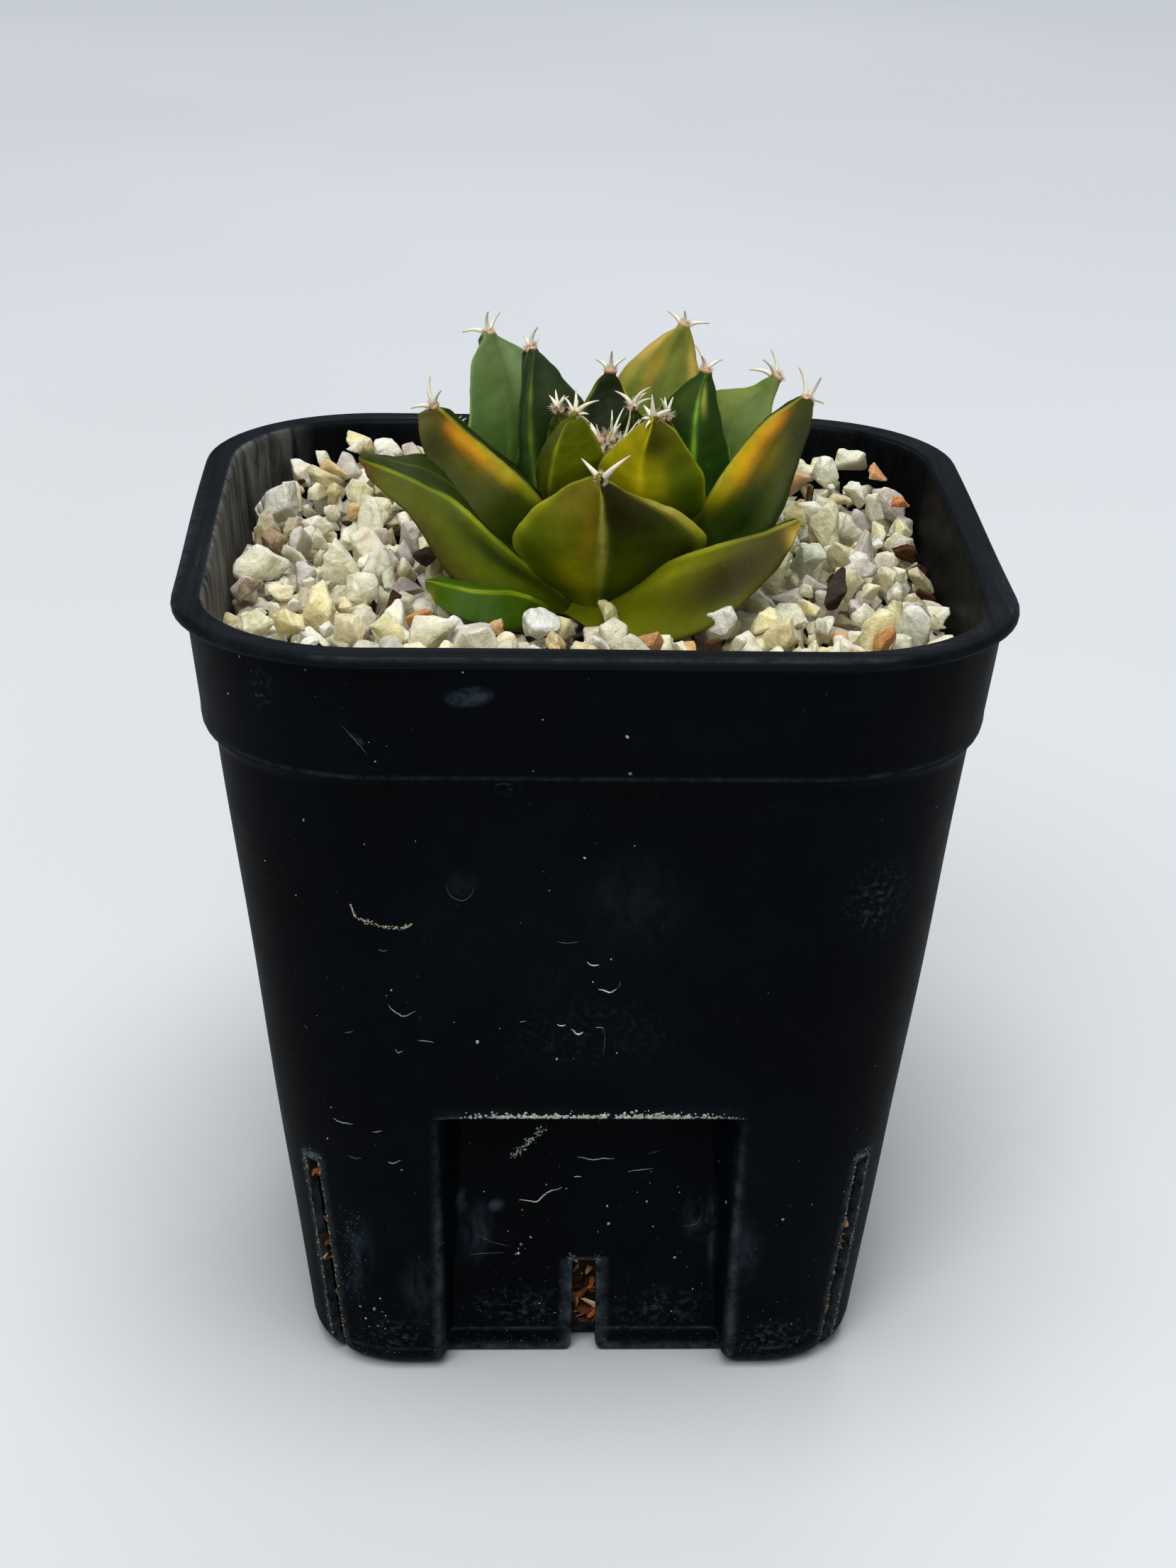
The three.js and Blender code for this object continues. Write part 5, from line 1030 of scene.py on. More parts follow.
# The rails of each tubercle: its two margins, the keel below and the crest above, from the stem out, in millimetres.
TUB = {
    'tubercle_01_front_broad': dict(key='L', edge=0.8,
        left=[[-0.62, -5, 82.81], [-2.02, -6, 84.53], [-4.6, -7.24, 86.24], [-6.88, -8.34, 88.34], [-8.35, -9.25, 91.04], [-8.33, -9.94, 94.03], [-6.86, -10.71, 96.59], [-4.72, -12, 98.71], [-2.46, -14, 100.75], [-0.03, -16.5, 102.42]],
        right=[[3.02, -5, 82.39], [4.04, -6, 83.82], [6.88, -7.24, 85.77], [9.5, -8.34, 88.01], [11.79, -9.25, 90.63], [12.38, -9.94, 93.66], [10.2, -10.71, 96.19], [7.2, -12, 97.96], [4.12, -14, 99.63], [1.23, -16.5, 101.97]],
        keel=[[1.15, -6.5, 82.45], [0.93, -8.5, 83.93], [0.88, -10.93, 86.7], [0.83, -12.93, 89.3], [0.8, -14.4, 91.68], [0.89, -15.52, 93.92], [0.93, -16.3, 96.03], [0.83, -16.76, 98.02], [0.7, -17.06, 99.96], [0.53, -17.2, 101.83]],
        crest=[[1.2, -5.2, 82.58], [1.01, -6.34, 84.14], [1.15, -8.03, 86.16], [1.32, -9.4, 88.43], [1.72, -10.42, 91.02], [2.03, -11.07, 93.86], [1.67, -11.66, 96.33], [1.24, -12.68, 98.29], [0.83, -14.35, 100.17], [0.6, -16.5, 102.19]],
        areole=[0.66, -16.5, 101.86], aim=[-0.07, -0.78, 0.62],
        spines=[[-1.49, -15.74, 104.08], [3.69, -17.55, 105]],
    ),
    'tubercle_02_inner_front_right': dict(key='M', edge=0.7,
        left=[[1.56, -1, 92.99], [3.22, -3, 95.12], [1.74, -3.38, 96.1], [0.65, -3.84, 97.53], [0.46, -4.39, 99.29], [1.22, -5.01, 100.87], [2.37, -5.72, 102.27], [3.46, -6.55, 103.71], [4.58, -7.48, 105.12], [5.86, -8.5, 106.28]],
        right=[[5.44, -1, 91.01], [9.69, -3, 91.83], [11.33, -3.38, 93.09], [12.43, -3.84, 94.84], [12.89, -4.39, 96.95], [12.47, -5.01, 99.1], [11.42, -5.72, 101.08], [10.23, -6.55, 103], [8.94, -7.48, 104.86], [7.31, -8.5, 106.29]],
        keel=[[3.23, -2.8, 90.69], [6, -6, 91.29], [5.77, -7.49, 93.57], [5.55, -8.75, 95.75], [5.35, -9.62, 97.8], [5.15, -9.97, 99.66], [5.12, -9.99, 101.41], [5.35, -9.93, 103.12], [5.77, -9.78, 104.76], [6.33, -9.5, 106.31]],
        crest=[[3.46, -1.11, 91.93], [6.4, -3.18, 93.36], [6.49, -3.89, 94.46], [6.52, -4.56, 96.09], [6.66, -5.18, 98.04], [6.83, -5.76, 99.9], [6.88, -6.35, 101.6], [6.84, -7, 103.3], [6.75, -7.72, 104.96], [6.59, -8.5, 106.28]],
        areole=[6.55, -8.5, 106.28], aim=[-0.11, -0.61, 0.78],
        spines=[[5.46, -7.61, 107.73], [6.26, -9.34, 109.45], [8.48, -7.51, 107.19], [5.39, -9.12, 103.17]],
    ),
    'tubercle_03_inner_front_left': dict(key='N', edge=0.7,
        left=[[-0.66, 0.3, 91.95], [-3.41, 0, 93.02], [-4.53, -0.13, 94.35], [-5.57, -0.36, 95.8], [-6.21, -0.66, 97.39], [-5.93, -1.01, 99.13], [-5.42, -1.45, 100.87], [-4.65, -2.03, 102.5], [-3.67, -2.73, 104.03], [-2.44, -3.5, 105.26]],
        right=[[1.66, -0.3, 93.05], [0.46, -1, 94.85], [1.05, -1.38, 96.22], [1.38, -1.75, 97.61], [1.39, -2.12, 99.05], [1.29, -2.5, 100.5], [0.94, -2.88, 101.86], [0.28, -3.25, 103.17], [-0.37, -3.62, 104.46], [-1.3, -4, 105.41]],
        keel=[[-0.7, -1.5, 91.85], [-3.48, -3, 92.85], [-4.06, -4.15, 94.72], [-4.4, -5.1, 96.53], [-4.44, -5.73, 98.24], [-4.28, -5.98, 99.85], [-4.03, -5.98, 101.36], [-3.69, -5.86, 102.82], [-3.2, -5.55, 104.15], [-2.48, -5, 105.33]],
        crest=[[0.48, -0.08, 92.49], [-1.51, -0.64, 93.92], [-1.81, -1.08, 95.28], [-2.19, -1.5, 96.73], [-2.51, -1.87, 98.25], [-2.42, -2.22, 99.84], [-2.33, -2.55, 101.38], [-2.25, -2.92, 102.84], [-2.06, -3.32, 104.24], [-1.87, -3.75, 105.34]],
        areole=[-1.92, -3.75, 105.37], aim=[0.12, -0.46, 0.88],
        spines=[[-1.76, -2.8, 108.13], [0.74, -4.54, 107.38], [-0.13, -3.1, 104.27]],
    ),
    'tubercle_04_young_left': dict(key='N2', edge=0.5,
        left=[[-0.77, 2, 95.77], [-4.47, 3, 96.57], [-4.67, 2.75, 97.56], [-4.81, 2.5, 98.54], [-4.87, 2.25, 99.53], [-4.85, 2, 100.51], [-4.74, 1.75, 101.49], [-4.59, 1.5, 102.46], [-4.36, 1.25, 103.39], [-4.04, 1, 104.31]],
        right=[[1.17, 2, 96.23], [-1.25, 3, 97.34], [-1.23, 2.75, 98.32], [-1.23, 2.5, 99.29], [-1.25, 2.25, 100.24], [-1.3, 2, 101.19], [-1.51, 1.75, 102.13], [-1.87, 1.5, 103.01], [-2.36, 1.25, 103.78], [-3.01, 1, 104.47]],
        keel=[[0.29, 0.55, 95.64], [-2.72, 0.58, 96.35], [-2.82, 0.35, 97.34], [-2.89, 0.17, 98.32], [-2.94, 0.01, 99.31], [-2.97, -0.12, 100.3], [-3.03, -0.16, 101.32], [-3.14, -0.05, 102.31], [-3.29, 0.16, 103.27], [-3.5, 0.43, 104.21]],
        crest=[[0.2, 1.95, 95.99], [-2.85, 2.92, 96.93], [-2.94, 2.55, 97.89], [-3, 2.24, 98.85], [-3.04, 1.96, 99.81], [-3.06, 1.73, 100.78], [-3.12, 1.52, 101.75], [-3.22, 1.34, 102.69], [-3.35, 1.16, 103.56], [-3.52, 1, 104.39]],
        areole=[-3.54, 1, 104.53], aim=[-0.19, -0.29, 0.94],
        spines=[[-4.61, 1.93, 106.16], [-2.47, -0.07, 106.58]],
    ),
    'tubercle_05_young_right': dict(key='M2', edge=0.5,
        left=[[2.59, 2, 95.21], [7.37, 3, 97.4], [7.23, 2.5, 98.36], [7.12, 2, 99.3], [7.05, 1.5, 100.22], [7, 1, 101.13], [7.04, 0.5, 102.04], [7.25, 0, 102.94], [7.58, -0.5, 103.76], [8.05, -1, 104.46]],
        right=[[5.41, 2, 94.79], [12.07, 3, 96.69], [11.79, 2.5, 97.72], [11.48, 2, 98.72], [11.12, 1.5, 99.7], [10.72, 1, 100.65], [10.27, 0.5, 101.57], [9.76, 0, 102.47], [9.28, -0.5, 103.37], [8.83, -1, 104.28]],
        keel=[[3.9, 0.67, 94.32], [9.55, 0.78, 95.9], [9.35, 0.31, 96.89], [9.15, -0.12, 97.87], [8.94, -0.53, 98.85], [8.72, -0.91, 99.82], [8.51, -1.21, 100.84], [8.36, -1.39, 101.9], [8.3, -1.47, 102.98], [8.37, -1.5, 104.06]],
        crest=[[4, 1.95, 94.98], [9.71, 2.92, 97], [9.5, 2.32, 97.94], [9.28, 1.76, 98.88], [9.07, 1.24, 99.82], [8.84, 0.75, 100.76], [8.64, 0.29, 101.69], [8.49, -0.15, 102.62], [8.42, -0.58, 103.52], [8.44, -1, 104.37]],
        areole=[8.4, -1, 104.46], aim=[0.01, -0.53, 0.85],
        spines=[[8.84, -0.25, 105.35], [7.65, -1.97, 106.97]],
    ),
    'tubercle_06_young_back': dict(key='O', edge=0.5,
        left=[[2.06, 3.5, 97.49], [3.65, 5, 99.02], [3.52, 4.88, 99.69], [3.45, 4.75, 100.35], [3.41, 4.62, 101.01], [3.43, 4.5, 101.65], [3.57, 4.38, 102.29], [3.82, 4.25, 102.91], [4.13, 4.12, 103.46], [4.54, 4, 103.94]],
        right=[[4.34, 3.5, 97.51], [7.43, 5, 99.04], [7.34, 4.88, 99.73], [7.2, 4.75, 100.4], [7.02, 4.62, 101.05], [6.81, 4.5, 101.68], [6.54, 4.38, 102.3], [6.2, 4.25, 102.89], [5.83, 4.12, 103.44], [5.4, 4, 103.95]],
        keel=[[3.2, 2.2, 97.26], [5.54, 2.84, 98.64], [5.43, 2.73, 99.31], [5.33, 2.65, 99.98], [5.22, 2.58, 100.63], [5.12, 2.55, 101.28], [5.05, 2.6, 101.94], [5.01, 2.79, 102.59], [4.97, 3.08, 103.2], [4.97, 3.42, 103.79]],
        crest=[[3.2, 3.45, 97.49], [5.54, 4.92, 99.01], [5.43, 4.68, 99.67], [5.32, 4.48, 100.33], [5.22, 4.33, 100.97], [5.12, 4.22, 101.61], [5.05, 4.14, 102.25], [5.01, 4.08, 102.86], [4.98, 4.04, 103.43], [4.97, 4, 103.95]],
        areole=[4.93, 4, 104.06], aim=[-0.02, -0.24, 0.97],
        spines=[[2.88, 4.7, 105.94], [6.78, 3.08, 106.85]],
    ),
    'tubercle_07_back_left_tall': dict(key='A', edge=0.7,
        left=[[-2.93, 4.6, 88.27], [-11.26, 5, 92.9], [-12.4, 6.03, 94.84], [-13.13, 7.18, 96.89], [-13.51, 8.47, 99.01], [-13.63, 9.97, 101.1], [-13.57, 11.5, 103.2], [-13.37, 12.91, 105.33], [-12.97, 14.24, 107.47], [-11.86, 15.5, 109.3]],
        right=[[-0.07, 6.4, 87.73], [-6.5, 8, 92], [-5.41, 9.5, 94.21], [-4.69, 11, 96.53], [-4.34, 12.56, 98.93], [-4.38, 14.27, 101.32], [-4.75, 15.65, 103.76], [-5.91, 16.37, 106.12], [-7.96, 16.8, 107.83], [-10.5, 17, 108.93]],
        keel=[[-2.47, 6.79, 87.2], [-10.49, 8.65, 91.12], [-10.76, 11.13, 92.46], [-10.9, 13.24, 94.19], [-10.82, 14.72, 96.08], [-10.77, 16.05, 98.34], [-10.79, 17.33, 101.22], [-10.93, 17.84, 103.89], [-11.39, 17.53, 106.23], [-11.88, 16.76, 108.61]],
        crest=[[-1.55, 5.56, 87.96], [-8.96, 6.6, 92.39], [-9.05, 8.02, 94.37], [-9.08, 9.45, 96.49], [-9.1, 10.9, 98.71], [-9.17, 12.48, 100.95], [-9.3, 13.9, 103.29], [-9.73, 14.88, 105.59], [-10.52, 15.63, 107.57], [-11.18, 16.25, 109.11]],
        areole=[-11.2, 16.25, 109.26], aim=[-0.4, 0.41, 0.82],
        spines=[[-14.42, 16.89, 109.45], [-11.4, 15.53, 112.35], [-10.04, 17.25, 111.82]],
    ),
    'tubercle_08_back_left_inner': dict(key='B', edge=0.7,
        left=[[-1.57, 5.4, 89.4], [-7.64, 5, 92.93], [-7.9, 5.38, 95.02], [-8.02, 5.84, 97.08], [-7.99, 6.39, 99.12], [-7.92, 7.01, 101.14], [-7.81, 7.72, 103.12], [-7.66, 8.55, 105.08], [-7.45, 9.48, 107], [-6.92, 10.5, 108.77]],
        right=[[2.17, 6.6, 88.6], [-1.41, 7, 91.59], [-0.06, 8.85, 93.4], [0.59, 10.43, 95.47], [0.79, 11.52, 97.84], [0.57, 11.96, 100.4], [-0.41, 11.99, 102.77], [-2.11, 11.93, 104.8], [-3.77, 11.78, 106.89], [-5.71, 11.5, 108.6]],
        keel=[[-0.34, 7.53, 88.31], [-5.59, 8.56, 91.11], [-5.67, 10.28, 92.83], [-5.85, 11.67, 94.89], [-5.89, 12.61, 97.41], [-5.78, 12.98, 99.96], [-5.9, 12.85, 101.82], [-6.41, 12.64, 103.87], [-6.69, 12.32, 106.23], [-6.91, 11.64, 108.21]],
        crest=[[-0.5, 4.5, 89.46], [-5.86, 3.5, 93.03], [-6.23, 3.82, 95.08], [-6.56, 4.27, 97.09], [-6.82, 4.85, 99.07], [-6.95, 5.51, 101.03], [-6.99, 6.32, 102.96], [-6.95, 7.32, 104.83], [-6.82, 8.5, 106.66], [-6.53, 9.8, 108.44]],
        areole=[-6.44, 11, 108.87], aim=[-0.37, 0.19, 0.91],
        spines=[[-7.35, 11.89, 110.48], [-5.76, 10.35, 111.84]],
    ),
    'tubercle_09_back_small': dict(key='C', edge=0.5,
        left=[[0.78, 6, 91.99], [0.33, 7, 96.9], [-0.17, 8.14, 97.94], [-0.48, 9.2, 99.02], [-0.54, 10.15, 100.18], [-0.53, 10.99, 101.4], [-0.31, 11.74, 102.56], [0.39, 12.41, 103.66], [1.17, 13, 104.71], [2.14, 13.5, 105.6]],
        right=[[3.82, 6, 92.01], [5.41, 7, 96.94], [5.79, 8.14, 97.99], [5.98, 9.2, 99.07], [5.96, 10.15, 100.18], [5.71, 10.99, 101.32], [5.32, 11.74, 102.45], [4.76, 12.41, 103.53], [4.08, 13, 104.58], [3.24, 13.5, 105.53]],
        keel=[[2.31, 6.79, 91.1], [2.88, 8.32, 95.41], [2.82, 9.94, 96.1], [2.76, 11.35, 97.08], [2.71, 12.48, 98.39], [2.57, 13.17, 99.9], [2.49, 13.55, 101.34], [2.55, 13.89, 102.72], [2.59, 14.12, 104.04], [2.67, 14.2, 105.18]],
        crest=[[2.3, 6.06, 91.94], [2.87, 7.09, 96.81], [2.81, 8.38, 97.72], [2.75, 9.53, 98.74], [2.71, 10.55, 99.88], [2.59, 11.38, 101.1], [2.51, 12.07, 102.29], [2.57, 12.65, 103.45], [2.62, 13.13, 104.58], [2.69, 13.5, 105.57]],
        areole=[2.69, 13.5, 105.61], aim=[0.06, 0.48, 0.88],
        spines=[[1.05, 14.32, 107.06], [2.79, 12.66, 108.52], [4.52, 14.18, 107.31]],
    ),
    'tubercle_10_back_right_tall': dict(key='D', edge=0.7,
        left=[[3.18, 6.5, 88.94], [6.54, 7, 95.44], [5.02, 8.69, 97.22], [3.79, 10.26, 99.2], [2.94, 11.7, 101.4], [3.05, 12.99, 103.77], [4.15, 14.15, 105.91], [6.07, 15.22, 107.58], [8.19, 16.17, 109.09], [10.53, 17, 110.24]],
        right=[[5.82, 6.5, 88.06], [10.95, 7, 93.96], [12.16, 8.21, 95.78], [12.99, 9.44, 97.72], [13.48, 10.71, 99.78], [13.45, 12, 101.87], [13.18, 13.33, 103.95], [12.85, 14.69, 106.02], [12.52, 16.08, 108.09], [11.86, 17.5, 110.01]],
        keel=[[4.11, 7.83, 87.35], [8.1, 9.21, 92.77], [8.3, 11.69, 94.01], [8.31, 13.83, 95.78], [8.22, 15.44, 98.04], [8.21, 16.55, 100.51], [8.52, 17.31, 102.77], [9.27, 17.89, 104.96], [10.11, 18.15, 107.38], [10.82, 18.02, 109.61]],
        crest=[[4.48, 6.57, 88.43], [8.71, 7.12, 94.59], [8.56, 8.77, 96.26], [8.38, 10.3, 98.16], [8.21, 11.71, 100.29], [8.25, 12.99, 102.54], [8.65, 14.15, 104.68], [9.44, 15.24, 106.62], [10.34, 16.28, 108.5], [11.19, 17.25, 110.13]],
        areole=[11.21, 17.25, 110.18], aim=[0.4, 0.54, 0.74],
        spines=[[9.45, 18.22, 111.87], [11.29, 16.59, 112.36], [14.35, 18.05, 110.46]],
    ),
    'tubercle_11_back_right_inner': dict(key='E', edge=0.7,
        left=[[4.33, 4.8, 89.9], [10.78, 4, 93.37], [9.56, 4.9, 94.97], [8.58, 5.71, 96.71], [7.82, 6.41, 98.61], [7.56, 6.99, 100.65], [7.89, 7.48, 102.68], [9.05, 7.9, 104.36], [10.69, 8.25, 105.75], [12.4, 8.5, 107.02]],
        right=[[6.67, 4.2, 90.1], [14.69, 3, 93.71], [15.75, 3.54, 95.27], [16.23, 4.14, 96.9], [16.16, 4.8, 98.6], [15.72, 5.51, 100.26], [15.19, 6.28, 101.88], [14.86, 7.12, 103.53], [14.62, 8.03, 105.18], [14.1, 9, 106.72]],
        keel=[[5.89, 5.81, 89.39], [13.39, 5.69, 92.52], [13.43, 7.47, 93.77], [13.26, 8.9, 95.39], [12.8, 9.77, 97.29], [12.3, 10.17, 99.22], [11.96, 10.3, 101.03], [12.16, 10.3, 102.76], [12.64, 10.09, 104.64], [12.93, 9.65, 106.56]],
        crest=[[5.35, 3.9, 90.19], [12.48, 2.5, 93.85], [12.2, 2.68, 95.56], [12.02, 3.02, 97.22], [11.97, 3.48, 98.85], [11.99, 4.01, 100.47], [12.06, 4.71, 102.03], [12.26, 5.63, 103.52], [12.54, 6.75, 104.95], [12.89, 8, 106.35]],
        areole=[13.21, 8.75, 107.04], aim=[0.36, 0.37, 0.85],
        spines=[[12.09, 9.61, 110.13], [12.72, 7.93, 109.31], [15.33, 9.64, 108.41]],
    ),
    'tubercle_12_right_back': dict(key='F', edge=0.7,
        left=[[5.77, 5.1, 87.76], [13.35, 5, 94.59], [12.98, 7.61, 96.16], [12.85, 9.8, 97.89], [12.89, 11.51, 99.82], [13.26, 12.95, 101.78], [14.71, 13.84, 103.23], [16.96, 14, 103.72], [19.22, 14, 104.16], [21.26, 14, 105.25]],
        right=[[7.23, 3.9, 87.24], [15.77, 3, 93.71], [16.99, 4.03, 94.96], [18.11, 5.18, 96.23], [19.15, 6.47, 97.55], [20.05, 7.97, 98.88], [20.79, 9.5, 100.3], [21.28, 10.91, 101.83], [21.79, 12.24, 103.36], [22.48, 13.5, 104.87]],
        keel=[[6.8, 5.51, 86.04], [15.07, 5.68, 91.71], [16.05, 8.02, 92.55], [16.85, 10.18, 93.91], [17.28, 11.92, 95.64], [17.48, 13.16, 97.58], [18.22, 13.89, 99.45], [19.51, 14.14, 100.91], [20.93, 14.33, 102.5], [22.06, 14.59, 104.55]],
        crest=[[6.52, 4.56, 87.42], [14.59, 4.09, 94.01], [15.1, 6.05, 95.24], [15.65, 7.82, 96.67], [16.19, 9.38, 98.27], [16.78, 10.85, 99.93], [17.82, 12, 101.42], [19.17, 12.68, 102.52], [20.54, 13.24, 103.63], [21.87, 13.75, 105.06]],
        areole=[21.87, 13.75, 105.1], aim=[0.69, 0.32, 0.65],
        spines=[[18.87, 14.72, 105.87], [20.21, 12.67, 107.66], [21.25, 14.49, 108.39]],
    ),
    'tubercle_13_right_long': dict(key='G', edge=0.7,
        left=[[5.55, -0.35, 87.82], [9.1, -2, 89.63], [10.85, -2.71, 92.03], [12.38, -2.97, 94.45], [13.83, -2.81, 96.82], [15.3, -1.84, 98.96], [16.97, -0.45, 100.85], [18.83, 0.75, 102.67], [20.93, 1.88, 104.24], [23.3, 3, 105.51]],
        right=[[7.45, 3.35, 87.18], [12.25, 4.16, 88.58], [14.62, 4.65, 90.78], [16.4, 4.89, 93.11], [17.73, 4.82, 95.52], [18.86, 5.11, 97.77], [19.75, 4.97, 99.93], [20.66, 4.34, 102.06], [22.09, 4.14, 103.85], [23.93, 4.23, 105.3]],
        keel=[[7.38, -2.15, 87.52], [12.14, -5, 89.14], [14.86, -6.82, 90.41], [17.34, -7.77, 91.99], [19.36, -7.77, 94.03], [20.77, -6.54, 96.29], [21.79, -4.65, 98.57], [22.84, -2.69, 100.83], [23.91, -0.48, 103.05], [24.64, 2, 105.29]],
        crest=[[6.59, 1.45, 87.48], [10.82, 1, 89.08], [13.07, 0.78, 91.27], [14.82, 0.71, 93.58], [16.25, 0.72, 95.94], [17.53, 1.37, 98.15], [18.74, 2.03, 100.21], [20.02, 2.38, 102.24], [21.66, 2.92, 103.99], [23.62, 3.62, 105.41]],
        areole=[24.3, 3.62, 105.31], aim=[0.82, 0.23, 0.53],
        spines=[[23.51, 4.54, 108.98], [25.93, 2.67, 108.33], [26.52, 4.36, 104.76]],
    ),
    'tubercle_14_left_long': dict(key='H', edge=0.7,
        left=[[0.04, 4.26, 86.63], [-1.19, 5.53, 87.36], [-2.24, 6.16, 89.56], [-3.61, 6.39, 91.71], [-5.32, 6.22, 93.81], [-7.32, 6.24, 95.65], [-9.5, 5.93, 97.51], [-11.73, 5.05, 99.57], [-13.94, 4.17, 101.6], [-16.1, 3.25, 103.67]],
        right=[[-0.64, 0.34, 87.97], [-2.32, -1, 89.6], [-3.59, -1.65, 92.25], [-5.04, -1.94, 94.58], [-6.71, -1.86, 96.59], [-8.59, -1.17, 98.21], [-10.57, -0.27, 99.65], [-12.54, 0.35, 101.18], [-14.51, 0.83, 102.74], [-16.45, 1.2, 104.38]],
        keel=[[-3.23, -1.46, 86.75], [-6.64, -4, 87.57], [-8.51, -5.23, 90.06], [-10.49, -5.85, 92.17], [-12.49, -5.82, 94.04], [-14.36, -4.89, 95.74], [-15.99, -3.48, 97.52], [-17.34, -2.09, 99.51], [-18.25, -0.61, 101.68], [-18.53, 1, 103.98]],
        crest=[[-0.38, 2.29, 87.24], [-1.89, 2.25, 88.38], [-3.24, 2.23, 90.66], [-4.76, 2.19, 92.82], [-6.49, 2.14, 94.85], [-8.42, 2.5, 96.61], [-10.44, 2.81, 98.32], [-12.43, 2.69, 100.2], [-14.39, 2.5, 102.09], [-16.27, 2.23, 104.02]],
        areole=[-17.35, 2.23, 104.52], aim=[-0.74, -0.1, 0.67],
        spines=[[-17.88, 2.83, 108.1], [-16.62, 1.14, 106.86], [-20.02, 2.97, 104.22]],
    ),
    'tubercle_15_left_low_dry_tip': dict(key='I', edge=0.6,
        left=[[-2.24, -3.1, 86.86], [-5.19, -3, 87.25], [-7.59, -1.88, 89.06], [-9.79, -1.01, 91.17], [-11.79, -0.36, 93.54], [-13.74, -0.06, 96.06], [-15.95, -0.34, 98.5], [-18.69, -1.06, 99.99], [-21.75, -2.42, 100.16], [-24.77, -4.5, 100.86]],
        right=[[-0.16, -6.1, 85.54], [-1.73, -8, 85.04], [-4.56, -9.17, 87.82], [-7.38, -9.83, 90.36], [-10.13, -9.88, 92.72], [-12.67, -9.27, 95.09], [-15.39, -8.32, 97.11], [-18.51, -7.34, 98.49], [-21.76, -6.24, 99.6], [-25.1, -5, 100.5]],
        keel=[[-0.6, -6.7, 85.19], [-2.45, -9, 84.46], [-6.1, -11.22, 86.11], [-9.73, -12.6, 87.27], [-13.14, -12.89, 88.58], [-15.82, -12.33, 90.87], [-17.75, -11.35, 93.76], [-19.75, -10, 96.45], [-22.53, -8, 98.28], [-25.26, -5.5, 100.07]],
        crest=[[-1.31, -4.66, 86.16], [-3.65, -5.6, 86.07], [-6.5, -5.65, 88.14], [-9.1, -5.52, 90.27], [-11.49, -5.16, 92.54], [-13.71, -4.66, 95.01], [-16.11, -4.28, 97.34], [-18.92, -4.13, 98.92], [-21.89, -4.3, 99.7], [-24.93, -4.75, 100.68]],
    ),
    'tubercle_16_front_left_low': dict(key='J', edge=0.6,
        left=[[-4.04, -7.2, 84.83], [-6.67, -8, 85.2], [-7.93, -8.28, 86.07], [-9.23, -8.69, 86.79], [-10.59, -9.22, 87.34], [-11.99, -9.96, 87.9], [-13.36, -10.75, 88.54], [-14.74, -11.41, 88.95], [-16.14, -11.99, 89.15], [-17.52, -12.5, 89.19]],
        right=[[-2.36, -8.4, 84.37], [-3.88, -10, 84.43], [-5.37, -11.89, 86.34], [-6.98, -13.35, 87.64], [-8.73, -14.18, 88.31], [-10.52, -14.68, 88.56], [-12.29, -14.95, 88.73], [-14.04, -14.8, 88.99], [-15.78, -14.11, 89.16], [-17.52, -13, 89.21]],
        keel=[[-3.21, -9, 83.46], [-5.29, -11, 82.91], [-7.02, -14.14, 84.23], [-8.7, -16.33, 85.25], [-10.35, -16.98, 85.76], [-11.96, -17, 86.13], [-13.53, -16.99, 86.66], [-15.03, -16.66, 87.26], [-16.44, -15.57, 87.79], [-17.71, -14, 88.39]],
        crest=[[-3.24, -7.83, 84.55], [-5.34, -9.06, 84.74], [-6.81, -10.22, 86.03], [-8.33, -11.17, 86.97], [-9.89, -11.84, 87.53], [-11.46, -12.43, 87.93], [-13.01, -12.91, 88.38], [-14.52, -13.14, 88.79], [-16.02, -13.06, 89.05], [-17.52, -12.75, 89.2]],
    ),
    'tubercle_17_front_right_low': dict(key='K', edge=0.7,
        left=[[-4.92, -7.1, 83.98], [-3.49, -8, 84.66], [-0.18, -9, 86.02], [3.04, -10.01, 87.54], [5.98, -11.07, 89.63], [8.94, -11.98, 91.59], [12.12, -12.64, 92.94], [15.35, -12.95, 94.06], [18.64, -12.71, 94.93], [21.87, -12, 95.97]],
        right=[[-4.68, -5.3, 82.42], [-3.09, -4.99, 82.05], [0.33, -5.15, 82.68], [3.64, -5.51, 83.63], [6.64, -6.08, 85.31], [9.63, -6.79, 87.09], [12.75, -7.92, 88.85], [15.85, -9.2, 90.82], [18.98, -10.19, 92.75], [22, -11.02, 95.12]],
        keel=[[-4.73, -8, 84.07], [-3.17, -9.5, 84.81], [0.22, -13.18, 84.25], [3.87, -15.94, 84.14], [7.6, -17.93, 84.78], [11.2, -18.85, 86.17], [14.5, -18.29, 88.07], [17.47, -16.96, 90.27], [20.04, -15.1, 92.74], [22.12, -12.6, 95.44]],
        crest=[[-4.75, -6.26, 83.13], [-3.21, -6.6, 83.25], [0.13, -7.34, 84.06], [3.43, -8.12, 85.19], [6.44, -8.96, 87.04], [9.43, -9.75, 88.94], [12.58, -10.59, 90.56], [15.73, -11.29, 92.21], [18.88, -11.56, 93.72], [21.94, -11.51, 95.54]],
    ),
    'tubercle_18_rear_left': dict(key='Q1', edge=0.7,
        left=[[-4.81, 3.72, 86.62], [-7.2, 3.99, 87.22], [-9.43, 4.41, 87.95], [-11.33, 5.17, 88.84], [-12.72, 6.41, 89.91], [-13.77, 7.95, 91.14], [-14.52, 9.7, 92.48], [-14.98, 11.66, 93.94], [-15.37, 13.57, 95.47], [-15.94, 15.18, 97.04]],
